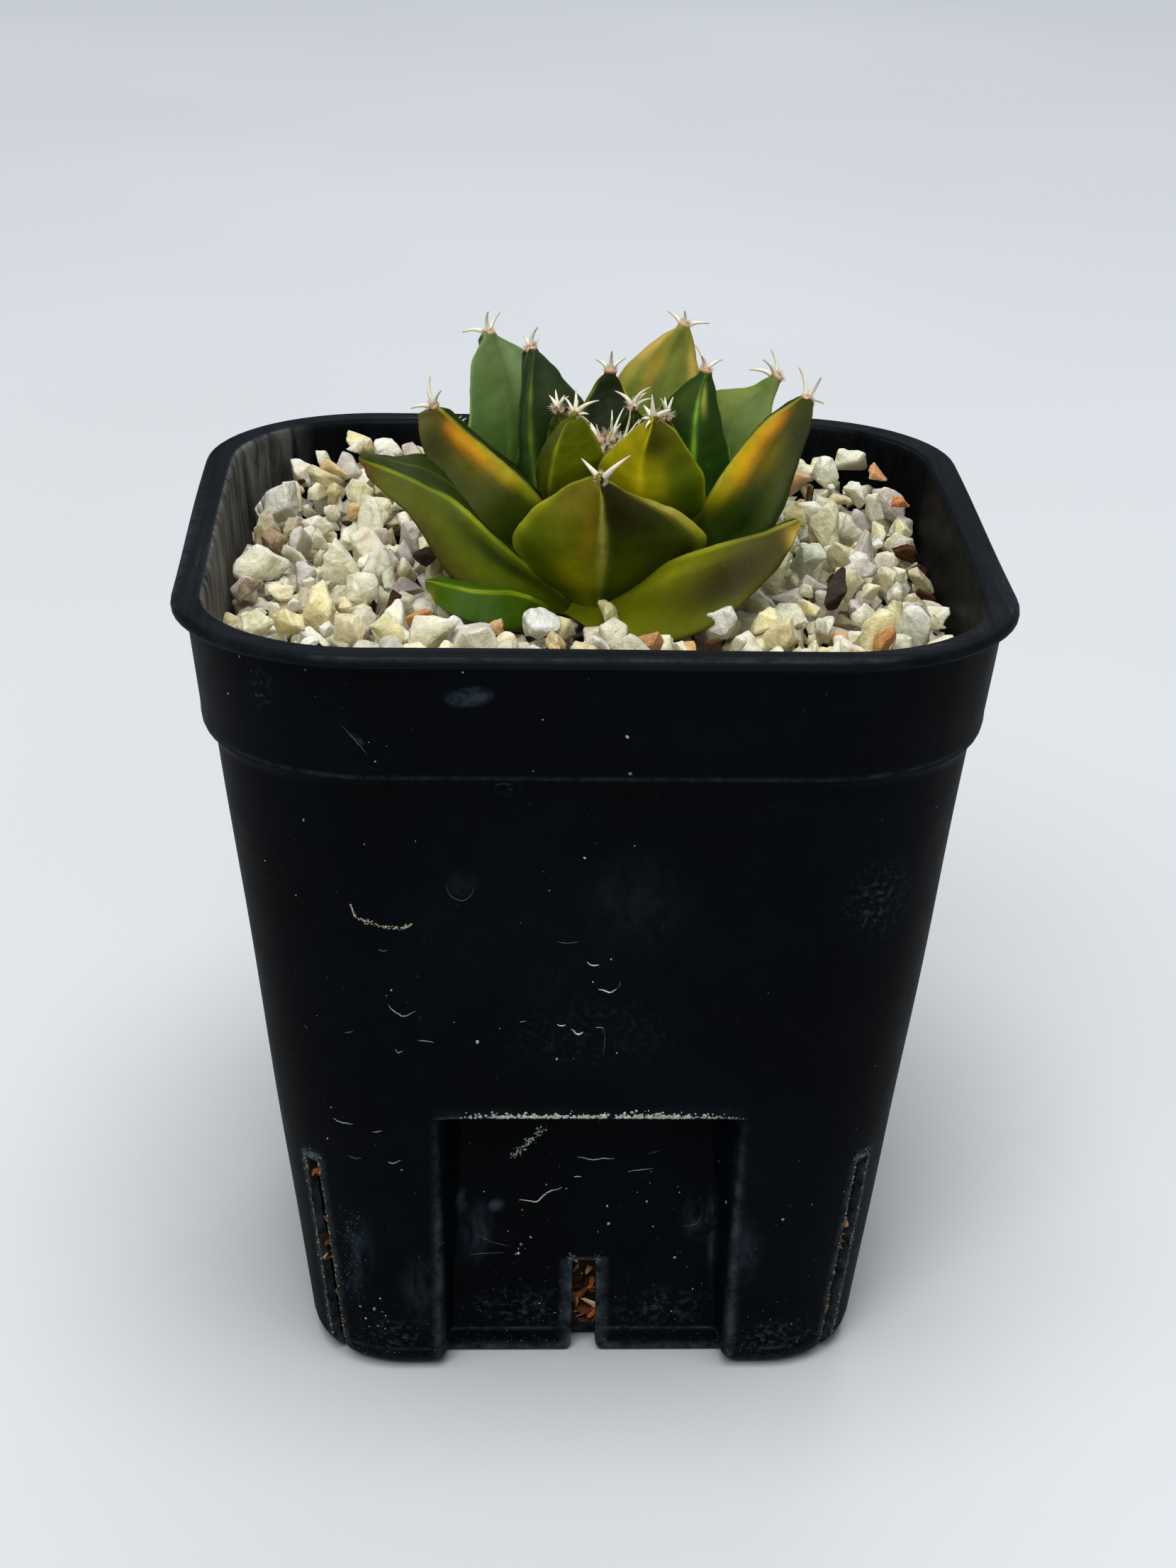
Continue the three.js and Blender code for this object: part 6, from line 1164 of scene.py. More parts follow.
        right=[[-1.05, 8.07, 87.38], [-1.76, 10.23, 88.29], [-2.58, 12.18, 89.26], [-3.66, 13.75, 90.26], [-5.15, 14.77, 91.27], [-6.92, 15.43, 92.31], [-8.88, 15.79, 93.41], [-11.04, 15.87, 94.56], [-13.15, 15.92, 95.81], [-14.98, 16.19, 97.18]],
        keel=[[-3.48, 6.84, 84.34], [-5.29, 8.42, 84.24], [-7.19, 10.07, 84.3], [-8.84, 11.36, 85.36], [-10.38, 12.52, 86.72], [-11.77, 13.52, 88.37], [-12.98, 14.34, 90.28], [-14, 14.97, 92.42], [-15, 15.62, 94.42], [-15.89, 16.19, 96.42]],
        crest=[[-2.93, 5.89, 87], [-4.53, 7.18, 87.56], [-6.1, 8.44, 88.26], [-7.64, 9.67, 89.1], [-9.13, 10.84, 90.09], [-10.55, 11.95, 91.24], [-11.9, 12.99, 92.53], [-13.17, 13.96, 93.96], [-14.35, 14.85, 95.49], [-15.46, 15.68, 97.11]],
        areole=[-15.46, 15.68, 97.11], aim=[-0.57, 0.44, 0.69],
        spines=[[-16.51, 13.72, 99.24], [-13.91, 17.26, 99.09], [-14.47, 15.19, 99.96]],
    ),
    'tubercle_19_rear_centre': dict(key='Q2', edge=0.7,
        left=[[-2.91, 7.13, 87.15], [-4.9, 8.93, 87.81], [-6.61, 10.76, 88.54], [-7.79, 12.7, 89.32], [-8.18, 14.83, 90.12], [-8.04, 17.07, 90.97], [-7.51, 19.39, 91.87], [-6.57, 21.8, 92.85], [-5.63, 24.16, 93.92], [-4.95, 26.39, 95.12]],
        right=[[3.61, 8.92, 86.45], [4.49, 11.53, 86.82], [5.11, 14.06, 87.32], [5.22, 16.43, 87.98], [4.56, 18.54, 88.83], [3.38, 20.46, 89.83], [1.83, 22.21, 90.97], [-0.09, 23.78, 92.23], [-2, 25.28, 93.59], [-3.62, 26.8, 95]],
        keel=[[-0.13, 8.6, 83.77], [-0.87, 11.1, 83.3], [-1.63, 13.72, 82.97], [-2.23, 16.1, 83.77], [-2.76, 18.35, 84.92], [-3.22, 20.43, 86.4], [-3.61, 22.32, 88.2], [-3.91, 23.97, 90.3], [-4.24, 25.62, 92.23], [-4.53, 27.13, 94.2]],
        crest=[[0.35, 8.02, 86.8], [-0.24, 10.27, 87.11], [-0.81, 12.51, 87.56], [-1.38, 14.72, 88.16], [-1.92, 16.88, 88.93], [-2.45, 18.99, 89.86], [-2.95, 21.02, 90.96], [-3.42, 22.96, 92.21], [-3.86, 24.82, 93.58], [-4.28, 26.6, 95.06]],
        areole=[-4.28, 26.6, 95.06], aim=[-0.2, 0.8, 0.56],
        spines=[[-6.42, 26.05, 97.22], [-2.18, 27.23, 97.06], [-3.93, 26.09, 98.05]],
    ),
    'tubercle_20_rear_right': dict(key='Q3', edge=0.7,
        left=[[1.84, 9.06, 86.73], [1.65, 11.7, 87.19], [1.68, 14.2, 87.78], [2.14, 16.43, 88.51], [3.25, 18.24, 89.41], [4.78, 19.76, 90.45], [6.61, 21.03, 91.61], [8.75, 22.06, 92.88], [10.85, 23.03, 94.24], [12.65, 24.1, 95.66]],
        right=[[7.4, 5.94, 87.27], [9.65, 7.19, 87.96], [11.66, 8.53, 88.73], [13.21, 10.08, 89.55], [14.08, 11.98, 90.41], [14.48, 14.1, 91.33], [14.54, 16.37, 92.31], [14.24, 18.81, 93.35], [13.92, 21.2, 94.5], [13.85, 23.38, 95.76]],
        keel=[[5.2, 8.04, 84.11], [6.47, 10.25, 83.75], [7.81, 12.57, 83.54], [8.91, 14.65, 84.39], [9.93, 16.61, 85.59], [10.85, 18.43, 87.1], [11.65, 20.07, 88.92], [12.31, 21.5, 91.01], [12.99, 22.92, 92.94], [13.6, 24.22, 94.9]],
        crest=[[4.62, 7.5, 87], [5.69, 9.48, 87.38], [6.76, 11.46, 87.89], [7.81, 13.4, 88.55], [8.82, 15.3, 89.37], [9.8, 17.14, 90.36], [10.73, 18.9, 91.5], [11.62, 20.6, 92.79], [12.46, 22.21, 94.2], [13.25, 23.74, 95.71]],
        areole=[13.25, 23.74, 95.71], aim=[0.38, 0.71, 0.59],
        spines=[[11.27, 24.7, 97.87], [15.21, 22.73, 97.71], [13.13, 23.04, 98.68]],
    ),
    'tubercle_21_right_rear_low': dict(key='Q4', edge=0.7,
        left=[[5.59, 7.48, 87.17], [6.52, 9.37, 87.7], [7.54, 11.07, 88.26], [8.77, 12.4, 88.81], [10.33, 13.17, 89.33], [12.1, 13.58, 89.84], [14.03, 13.71, 90.37], [16.13, 13.56, 90.91], [18.22, 13.41, 91.51], [20.09, 13.56, 92.21]],
        right=[[8.4, 2.92, 86.43], [10.58, 2.82, 86.65], [12.65, 2.9, 86.95], [14.48, 3.35, 87.37], [15.96, 4.32, 87.93], [17.19, 5.65, 88.6], [18.23, 7.24, 89.37], [19.06, 9.08, 90.22], [19.87, 10.9, 91.13], [20.86, 12.4, 92.04]],
        keel=[[7.27, 5.79, 84.24], [8.97, 6.9, 83.77], [10.73, 8.06, 83.38], [12.37, 9.01, 83.91], [13.96, 9.89, 84.69], [15.47, 10.69, 85.74], [16.89, 11.41, 87.03], [18.19, 12.02, 88.57], [19.5, 12.67, 89.94], [20.74, 13.28, 91.34]],
        crest=[[7, 5.2, 86.8], [8.57, 6.14, 86.98], [10.15, 7.08, 87.23], [11.71, 8.01, 87.59], [13.26, 8.91, 88.07], [14.78, 9.79, 88.67], [16.26, 10.63, 89.39], [17.7, 11.44, 90.22], [19.11, 12.22, 91.14], [20.47, 12.98, 92.12]],
        areole=[20.48, 12.98, 92.12], aim=[0.78, 0.45, 0.44],
        spines=[[19.63, 15.03, 94.27], [21.9, 11.26, 94.09], [20.46, 12.72, 95.17]],
    ),
    'tubercle_22_rear_left_low': dict(key='Q5', edge=0.7,
        left=[[-3.94, 5.34, 85.42], [-6.01, 6.12, 85.39], [-7.91, 7.05, 85.43], [-9.49, 8.22, 85.55], [-10.57, 9.77, 85.76], [-11.31, 11.57, 86.05], [-11.8, 13.55, 86.42], [-12.04, 15.7, 86.85], [-12.27, 17.85, 87.34], [-12.8, 19.75, 87.85]],
        right=[[0.15, 8.52, 85.78], [-0.11, 10.71, 85.91], [-0.53, 12.76, 86.08], [-1.27, 14.55, 86.27], [-2.5, 15.96, 86.47], [-4.06, 17.11, 86.68], [-5.86, 18.07, 86.93], [-7.91, 18.84, 87.21], [-9.95, 19.6, 87.54], [-11.68, 20.59, 87.94]],
        keel=[[-1.8, 7.08, 83.21], [-2.96, 8.66, 82.46], [-4.16, 10.29, 81.77], [-5.39, 11.86, 81.94], [-6.61, 13.39, 82.35], [-7.81, 14.88, 83.01], [-8.98, 16.32, 83.92], [-10.11, 17.67, 85.08], [-11.23, 19.04, 86.08], [-12.31, 20.35, 87.12]],
        crest=[[-1.89, 6.93, 85.6], [-3.05, 8.43, 85.45], [-4.21, 9.94, 85.37], [-5.38, 11.45, 85.39], [-6.54, 12.95, 85.53], [-7.71, 14.43, 85.78], [-8.86, 15.9, 86.16], [-10, 17.35, 86.65], [-11.13, 18.77, 87.24], [-12.24, 20.17, 87.89]],
        areole=[-12.24, 20.17, 87.9], aim=[-0.6, 0.77, 0.24],
        spines=[[-14.42, 19.39, 89.93], [-10.99, 22.14, 89.74]],
    ),
}


# ---------------------------------------------------------------------- plant
C = srgb
def T(r, g, b):
    """A skin colour as it looks in soft light, turned into an albedo."""
    return srgb(r, g, b) ** 0.85


# Per tubercle: colours of the outer face (low, middle, tip; left and right of the keel, where they differ the darker
# side is painted shade), of the inner face (on A, B, D and F with a pale painted sky sheen), its margins and ridge
# (partly painted highlight), then soft patches of blush, painted shade and painted sheen: (face, along, across, half
# length, half width, colour, strength).
TONES = {
    "L": dict(out=[(T(108, 114, 20), T(66, 80, 14)), (T(84, 90, 16), T(52, 62, 10)), (T(96, 90, 36), T(42, 42, 18))], inn=[T(56, 74, 16), T(52, 66, 20)], margin=T(140, 132, 80), ridge=T(138, 140, 84),
              spots=[("o", 0.34, -0.32, 0.20, 0.26, T(122, 122, 14), 0.85), ("o", 0.62, -0.16, 0.24, 0.12, T(116, 100, 18), 0.75), ("o", 0.45, -0.75, 0.28, 0.22, T(62, 78, 12), 0.6), ("o", 0.80, 0.30, 0.18, 0.42, T(36, 33, 14), 0.9),
                     ("o", 0.40, 0.28, 0.22, 0.22, T(88, 94, 16), 0.5), ("o", 0.86, -0.6, 0.18, 0.35, T(112, 102, 66), 0.55), ("o", 0.70, 0.95, 0.20, 0.09, T(164, 142, 106), 0.75), ("o", 0.45, 0.96, 0.20, 0.08, T(126, 132, 44), 0.7), ("o", 0.55, -0.96, 0.35, 0.08, T(118, 122, 48), 0.6)]),
    "M": dict(out=[(T(100, 102, 8), T(84, 94, 8)), (T(122, 112, 8), T(96, 102, 8)), (T(126, 112, 22), T(76, 72, 18))], inn=[T(80, 90, 16), T(66, 78, 16)], margin=T(132, 136, 62), ridge=T(190, 168, 30),
              spots=[("o", 0.45, -0.06, 0.32, 0.26, T(182, 156, 6), 0.95), ("o", 0.58, 0.30, 0.20, 0.20, T(138, 128, 8), 0.6), ("o", 0.42, 0.74, 0.38, 0.30, T(64, 80, 8), 0.85), ("o", 0.86, 0.36, 0.12, 0.40, T(60, 60, 14), 0.85), ("o", 0.74, -0.6, 0.20, 0.4, T(144, 124, 16), 0.6), ("o", 0.50, -0.95, 0.3, 0.12, T(150, 140, 50), 0.6)]),
    "N": dict(out=[(T(58, 66, 10), T(84, 92, 12)), (T(66, 72, 12), T(92, 98, 16)), (T(72, 74, 34), T(84, 88, 30))], inn=[T(60, 74, 18), T(56, 70, 20)], margin=T(116, 124, 50), ridge=T(120, 126, 46),
              spots=[("o", 0.40, 0.45, 0.25, 0.32, T(104, 106, 16), 0.6), ("o", 0.5, -0.75, 0.4, 0.25, T(52, 60, 10), 0.6)]),
    "N2": dict(out=[(T(44, 56, 14),) * 2, (T(46, 56, 16),) * 2, (T(56, 62, 28),) * 2], inn=[T(44, 56, 16), T(40, 52, 16)], margin=T(100, 106, 52), ridge=T(96, 104, 44), spots=[]),
    "M2": dict(out=[(T(46, 58, 14),) * 2, (T(48, 58, 16),) * 2, (T(56, 62, 28),) * 2], inn=[T(44, 56, 16), T(40, 52, 16)], margin=T(120, 118, 58), ridge=T(110, 112, 50), spots=[]),
    "O": dict(out=[(T(34, 46, 14),) * 2, (T(34, 44, 14),) * 2, (T(44, 50, 22),) * 2], inn=[T(28, 40, 14), T(26, 36, 14)], margin=T(96, 98, 50), ridge=T(76, 86, 40), spots=[]),
    "A": dict(out=[(T(52, 70, 28),) * 2, (T(50, 66, 30),) * 2, (T(56, 66, 40),) * 2], inn=[T(42, 64, 20), T(78, 92, 60)], margin=T(106, 120, 76), ridge=T(66, 82, 44),
              spots=[("i", 0.78, 0.4, 0.22, 0.4, T(100, 112, 84), 0.75), ("i", 0.36, -0.3, 0.22, 0.5, T(46, 66, 24), 0.7), ("i", 0.55, 0.75, 0.35, 0.22, T(66, 78, 50), 0.6), ("i", 0.70, -0.5, 0.2, 0.4, T(78, 94, 56), 0.5)]),
    "B": dict(out=[(T(44, 60, 24),) * 2, (T(40, 54, 26),) * 2, (T(42, 52, 30),) * 2], inn=[T(44, 66, 16), T(50, 62, 38)], margin=T(88, 102, 60), ridge=T(116, 136, 56),
              spots=[("i", 0.45, 0.45, 0.35, 0.30, T(26, 40, 14), 0.85), ("i", 0.80, 0.5, 0.20, 0.4, T(66, 78, 56), 0.7), ("i", 0.55, -0.35, 0.4, 0.22, T(40, 58, 24), 0.75), ("i", 0.35, -0.7, 0.3, 0.2, T(58, 78, 24), 0.6)]),
    "C": dict(out=[(T(24, 36, 12),) * 2, (T(24, 34, 12),) * 2, (T(34, 42, 20),) * 2], inn=[T(22, 36, 10), T(26, 36, 14)], margin=T(124, 116, 56), ridge=T(36, 50, 22), spots=[("i", 0.72, 0.94, 0.3, 0.10, T(196, 164, 92), 0.8), ("i", 0.80, -0.92, 0.2, 0.10, T(110, 116, 56), 0.6)]),
    "D": dict(out=[(T(60, 78, 28),) * 2, (T(66, 78, 32),) * 2, (T(66, 74, 36),) * 2], inn=[T(74, 98, 36), T(112, 116, 54)], margin=T(146, 146, 84), ridge=T(92, 102, 48),
              spots=[("i", 0.84, -0.80, 0.16, 0.22, T(214, 156, 86), 0.95), ("i", 0.66, -0.80, 0.14, 0.18, T(156, 142, 70), 0.7), ("i", 0.72, -0.30, 0.22, 0.24, T(146, 126, 50), 0.85), ("i", 0.50, -0.10, 0.2, 0.14, T(66, 76, 28), 0.7), ("i", 0.78, 0.80, 0.14, 0.18, T(196, 148, 84), 0.8),
                     ("i", 0.60, 0.5, 0.3, 0.3, T(92, 96, 38), 0.7), ("i", 0.92, 0.1, 0.08, 0.5, T(84, 84, 40), 0.7), ("i", 0.45, -0.6, 0.2, 0.3, T(86, 108, 52), 0.6)]),
    "E": dict(out=[(T(30, 46, 20),) * 2, (T(28, 42, 20),) * 2, (T(30, 40, 22),) * 2], inn=[T(22, 40, 16), T(24, 36, 18)], margin=T(78, 92, 50), ridge=T(84, 112, 46),
              spots=[("i", 0.5, -0.5, 0.5, 0.4, T(16, 30, 12), 0.7), ("i", 0.86, 0.28, 0.14, 0.2, T(96, 96, 74), 0.7), ("i", 0.85, -0.5, 0.14, 0.4, T(40, 48, 26), 0.7)]),
    "F": dict(out=[(T(62, 80, 36),) * 2, (T(64, 80, 38),) * 2, (T(70, 82, 44),) * 2], inn=[T(66, 84, 40), T(92, 102, 56)], margin=T(120, 130, 78), ridge=T(76, 90, 44),
              spots=[("i", 0.55, -0.6, 0.35, 0.4, T(108, 112, 58), 0.75), ("i", 0.35, 0.2, 0.25, 0.5, T(52, 70, 34), 0.7), ("i", 0.8, 0.3, 0.18, 0.5, T(78, 88, 60), 0.6)]),
    "G": dict(out=[(T(30, 52, 8), T(40, 56, 12)), (T(48, 58, 8), T(54, 66, 12)), (T(58, 60, 14), T(52, 54, 20))], inn=[T(40, 54, 16), T(40, 54, 16)], margin=T(150, 136, 74), ridge=T(74, 86, 28),
              spots=[("o", 0.80, -0.95, 0.13, 0.18, T(206, 128, 40), 0.9), ("o", 0.63, -0.94, 0.16, 0.20, T(198, 140, 12), 0.9), ("o", 0.46, -0.95, 0.12, 0.14, T(134, 126, 18), 0.8), ("o", 0.72, -0.62, 0.14, 0.18, T(106, 94, 10), 0.7), ("o", 0.42, -0.50, 0.22, 0.16, T(22, 40, 5), 0.85),
                     ("o", 0.55, -0.12, 0.24, 0.12, T(32, 48, 8), 0.7), ("o", 0.30, -0.25, 0.14, 0.14, T(62, 74, 10), 0.6), ("o", 0.86, -0.20, 0.12, 0.45, T(36, 40, 10), 0.9), ("o", 0.62, -0.36, 0.16, 0.16, T(66, 70, 10), 0.6), ("o", 0.15, -0.6, 0.12, 0.5, T(26, 48, 8), 0.7)]),
    "H": dict(out=[(T(16, 28, 6), T(38, 50, 8)), (T(38, 46, 8), T(58, 64, 8)), (T(60, 62, 30), T(62, 60, 28))], inn=[T(34, 48, 18), T(36, 50, 22)], margin=T(136, 132, 70), ridge=T(84, 90, 42),
              spots=[("o", 0.84, 0.94, 0.12, 0.20, T(212, 128, 52), 0.9), ("o", 0.70, 0.95, 0.12, 0.18, T(200, 132, 26), 0.9), ("o", 0.57, 0.96, 0.12, 0.14, T(158, 130, 20), 0.85), ("o", 0.42, 0.97, 0.14, 0.09, T(120, 128, 40), 0.7), ("o", 0.70, 0.66, 0.16, 0.16, T(92, 84, 10), 0.55),
                     ("o", 0.97, 0.0, 0.09, 1.0, T(96, 88, 64), 0.7), ("o", 0.25, 0.6, 0.2, 0.3, T(32, 46, 8), 0.6), ("o", 0.86, 0.35, 0.10, 0.35, T(50, 52, 22), 0.7)]),
    "I": dict(out=[(T(48, 62, 8), T(70, 78, 10)), (T(54, 60, 16), T(76, 84, 12)), (T(62, 60, 26), T(78, 80, 26))], inn=[T(40, 54, 18), T(48, 60, 24)], margin=T(136, 146, 58), ridge=T(92, 100, 30),
              spots=[("o", 0.45, 0.55, 0.30, 0.18, T(90, 98, 14), 0.6), ("o", 0.40, 0.84, 0.25, 0.08, T(30, 44, 6), 0.85), ("o", 0.62, 0.2, 0.25, 0.35, T(74, 64, 36), 0.75), ("o", 0.98, 0.0, 0.06, 1.0, T(84, 56, 32), 0.95), ("o", 0.25, 0.4, 0.15, 0.4, T(60, 72, 8), 0.6)]),
    "J": dict(out=[(T(64, 78, 8), T(64, 78, 8)), (T(48, 68, 6), T(48, 68, 6)), (T(52, 76, 12), T(52, 72, 12))], inn=[T(60, 80, 12), T(50, 72, 14)], margin=T(118, 130, 44), ridge=T(80, 96, 24), spots=[("o", 0.97, 0, 0.05, 1.0, T(112, 94, 50), 0.6)]),
    "K": dict(out=[(T(98, 102, 30), T(92, 96, 26)), (T(80, 84, 18), T(66, 72, 18)), (T(50, 44, 12), T(48, 42, 18))], inn=[T(66, 74, 18), T(40, 44, 14)], margin=T(120, 118, 46), ridge=T(84, 86, 26),
              spots=[("o", 0.70, -0.55, 0.26, 0.32, T(40, 36, 6), 0.9), ("o", 0.62, -0.10, 0.25, 0.18, T(76, 76, 24), 0.5), ("o", 0.45, -0.9, 0.3, 0.10, T(114, 114, 40), 0.6), ("o", 0.85, -0.3, 0.12, 0.4, T(58, 50, 16), 0.7), ("i", 0.7, 0.0, 0.3, 0.5, T(48, 44, 12), 0.6),
                     ("o", 0.98, 0.0, 0.05, 1.0, T(150, 128, 92), 0.9)]),
    "Q": dict(out=[(T(56, 72, 20),) * 2, (T(54, 70, 24),) * 2, (T(60, 70, 32),) * 2], inn=[T(56, 74, 24), T(60, 74, 34)], margin=T(124, 122, 66), ridge=T(90, 100, 42), spots=[("i", 0.8, 0.8, 0.2, 0.2, T(196, 146, 70), 0.6), ("o", 0.7, -0.85, 0.2, 0.22, T(190, 150, 44), 0.6)]),
}
SEG_U, SEG_A = 60, 72


def skin_material():
    m = Mat("tubercle_skin")
    col = m.attr("Col")
    mott = m.noise(420, 5, 0.62, 0.3)
    cell = m.noise(2600, 3, 0.55)
    col = m.mix(m.ramp(mott, [(0.36, 0.0), (0.72, 0.42)]), col, m.mix(1.0, col, (1.40, 1.30, 1.05), "MULTIPLY"))
    col = m.mix(m.ramp(m.noise(900, 4, 0.6), [(0.50, 0.0), (0.80, 0.45)]), col, m.mix(1.0, col, (0.62, 0.70, 0.55), "MULTIPLY"))
    col = m.mix(m.ramp(m.noise(150, 4, 0.55, 0.5), [(0.42, 0.0), (0.70, 0.35)]), col, m.mix(1.0, col, (0.66, 0.78, 0.62), "MULTIPLY"))
    dots = m.math("MULTIPLY", m.ramp(m.voronoi(1050), [(0.0, 1.0), (0.06, 0.8), (0.11, 0.0)]), m.ramp(m.noise(330, 3, 0.6), [(0.47, 0.0), (0.60, 1.0)]))
    col = m.mix(m.math("MULTIPLY", dots, 0.16), col, C(196, 200, 130))
    bloom = m.math("MULTIPLY", m.ramp(m.noise(1900, 4, 0.7), [(0.60, 0.0), (0.78, 1.0)]), 0.05)
    col = m.mix(bloom, col, C(190, 190, 150))
    m.color(col)
    r = m.math("MULTIPLY_ADD", mott, 0.16)
    r.node.inputs[2].default_value = 0.40
    m.rough(r)
    m.set("Specular IOR Level", 0.13)
    m.set("Subsurface Weight", 0.05)
    m.set("Subsurface Radius", (0.6, 0.8, 0.1))
    m.set("Subsurface Scale", 0.0008)
    b = m.bump(cell, 0.20, 0.00005)
    b = m.bump(mott, 0.28, 0.00018, b)
    m.normal(m.bump(dots, 0.35, 0.00006, b))
    return m.m


SKIN = skin_material()


def lerp3(stops, t):
    t = np.clip(t, 0, 1)[..., None]
    a, b, c = [np.asarray(s, float) for s in stops]
    return np.where(t < 0.5, a + (b - a) * np.clip(t * 2, 0, 1), b + (c - b) * np.clip(t * 2 - 1, 0, 1))


def tubercle(name, spec):
    key = spec["key"]
    tone = TONES["Q" if key[0] == "Q" else key]
    rng = np.random.default_rng(sum(map(ord, name)))
    n, k = SEG_U, SEG_A
    L, R, K, T = (spline(spec[s], n) for s in ("left", "right", "keel", "crest"))
    U = np.linspace(0, 1, n)
    t = TAU * np.arange(k) / k
    ang = t - 0.58 * np.sin(4 * t) / 4
    mid = (L + R) / 2
    W = (R - L) / 2
    wl = np.linalg.norm(W, axis=1)
    Kv, Cv = K - mid, T - mid
    wn = unit(W)
    up = -unit(Kv - wn * np.sum(Kv * wn, axis=1, keepdims=True))
    e = np.minimum(spec["edge"], 0.8 * wl)
    ph = rng.random(8) * TAU
    wav = 1 + 0.016 * np.sin(U * 17 + ph[0]) + 0.012 * np.sin(U * 31 + ph[1])
    rings = []
    for i in range(n):
        X, s = np.cos(ang), np.sin(ang)
        top = s >= 0
        r = np.where(top, 0.25, 0.12)
        h = (np.hypot(X, r) - r) / (np.hypot(1, r) - r)
        B = np.where(top[:, None], Cv[i], Kv[i])
        P = mid[i] + W[i] * (X * wav[i])[:, None] + B * (1 - h**1.25)[:, None] + up[i] * (np.sign(s) * e[i] * np.abs(s) ** 0.9)[:, None]
        # the margins swell a little and the faces dish
        dish = 0.05 * wl[i] * np.sin(np.pi * np.clip(np.abs(X), 0, 1)) * np.sin(np.pi * np.clip(U[i] * 1.05, 0, 1))
        P -= up[i] * (np.where(top, 1.0, -1.0) * dish * 0.55)[:, None]
        rings.append(P)
    # rounded tip and closed foot
    c_end = rings[-1].mean(0)
    ahead = unit(c_end - rings[-4].mean(0))
    for th in np.linspace(0, math.pi / 2, 7)[1:-1]:
        rings.append(c_end + (rings[n - 1] - c_end) * math.cos(th) + ahead * 0.75 * math.sin(th))
    V = np.concatenate(rings)
    m_r = len(rings)
    faces = []
    for i in range(m_r - 1):
        for j in range(k):
            a, b = i * k + j, i * k + (j + 1) % k
            faces.append((a, b, b + k, a + k))
    V = np.vstack([V, rings[0].mean(0), c_end + ahead * 0.75])
    for j in range(k):
        faces.append((m_r * k, (j + 1) % k, j))
        faces.append((m_r * k + 1, (m_r - 1) * k + j, (m_r - 1) * k + (j + 1) % k))
    faces = fix_normals(V, faces)
    # organic unevenness
    disp = fbm(V[:, 0], V[:, 1], V[:, 2], 0.22, 3, ph[2]) * 0.16 + fbm(V[:, 0], V[:, 1], V[:, 2], 0.9, 2, ph[3]) * 0.05
    me_tmp = bpy.data.meshes.new("tmp")
    me_tmp.from_pydata(V.tolist(), [], faces)
    me_tmp.update()
    no = np.empty(len(V) * 3)
    me_tmp.vertices.foreach_get("normal", no)
    bpy.data.meshes.remove(me_tmp)
    V = V + no.reshape(-1, 3) * disp[:, None]
    # colours
    u = np.repeat(np.minimum(np.arange(m_r), n - 1) / (n - 1), k)
    X = np.tile(np.cos(ang), m_r)
    s = np.tile(np.sin(ang), m_r)
    lo, mi, hi = tone["out"]
    # the outer face runs from its left colour to its right across the keel; where they differ, the darker side is
    # painted shade
    side = sstep(-0.16, 0.16, X + 0.05 * np.sin(u * 14 + ph[4]))[:, None]
    outc = lerp3([lo[0], mi[0], hi[0]], u) * (1 - side) + lerp3([lo[1], mi[1], hi[1]], u) * side
    i0, i1 = tone["inn"]
    innc = np.asarray(i0) + (np.asarray(i1) - np.asarray(i0)) * sstep(0.1, 0.9, u)[:, None]
    outer = s < 0
    col = np.where(outer[:, None], outc, innc)
    wob = 0.06 * np.sin(u * 19 + ph[5]) + 0.05 * np.sin(X * 7 + ph[6])
    # soft patches: blushes and marks, and painted shade and painted sheen
    for face, cu, cx_, ru, rx, cc, st in tone["spots"]:
        mask = outer if face == "o" else ~outer
        d = np.hypot((u - cu) / ru, (X - cx_) / rx) + wob
        w = st * np.exp(-1.6 * np.maximum(d, 0) ** 2.4) * mask
        col = col * (1 - w[:, None]) + np.asarray(cc) * w[:, None]
    # a paler line down the keel and crest, partly a painted highlight
    rj = tone["ridge"]
    ridge_w = np.where(outer, 0.060, 0.075)
    w = np.exp(-(X / ridge_w) ** 2) * np.where(outer, 0.75, 0.65) * sstep(0.05, 0.3, u) * (1 - 0.4 * sstep(0.85, 1, u)) * (0.75 + 0.25 * np.sin(u * 23 + ph[7]))
    col = col * (1 - w[:, None]) + np.asarray(rj) * w[:, None]
    # paler margins, partly a painted highlight along the rounded edges
    em = sstep(0.945, 0.999, np.abs(X)) * (0.45 + 0.35 * np.sin(u * 9 + ph[1]) ** 2) * sstep(0.05, 0.25, u)
    col = col * (1 - em[:, None]) + np.asarray(tone["margin"]) * em[:, None]
    if key == "L":      # dry pale scar down the keel
        sc = np.exp(-((X + 0.02 * np.sin(u * 11)) / 0.030) ** 2) * outer * sstep(0.30, 0.55, u) * (0.45 + 0.4 * np.sin(u * 41 + 1) ** 2)
        col = col * (1 - sc[:, None]) + np.array([0.42, 0.40, 0.27]) * sc[:, None]
    # darker towards the foot at the stem: painted shade where the tubercles crowd together
    foot = 1 - sstep(0.0, 0.18, u)
    col = col * (1 - 0.25 * foot[:, None])
    # painted sky sheen: A, B, D and F keep their blue, which leaves them grey-green; the others lose half their blue
    col = col * np.array([1, 1, 1.0 if key[0] in "ABDF" else 0.5])
    col = np.vstack([col, col[:1], col[-1:]])
    ob = mesh_obj("skin_" + name, V, faces, [SKIN], attrs={"Col": deepen(col * KEY_GAIN.get(key[0], 1.0) * np.vstack([np.where(outer, OUT_GAIN, INN_GAIN)[:, None], [[OUT_GAIN]], [[INN_GAIN]]]))})
    return part(ob, name)


OUT_GAIN, INN_GAIN = 1.42, 1.34
KEY_GAIN = {"E": 2.0, "G": 0.78, "H": 0.82, "I": 0.78, "D": 0.80, "B": 0.85, "A": 1.15}


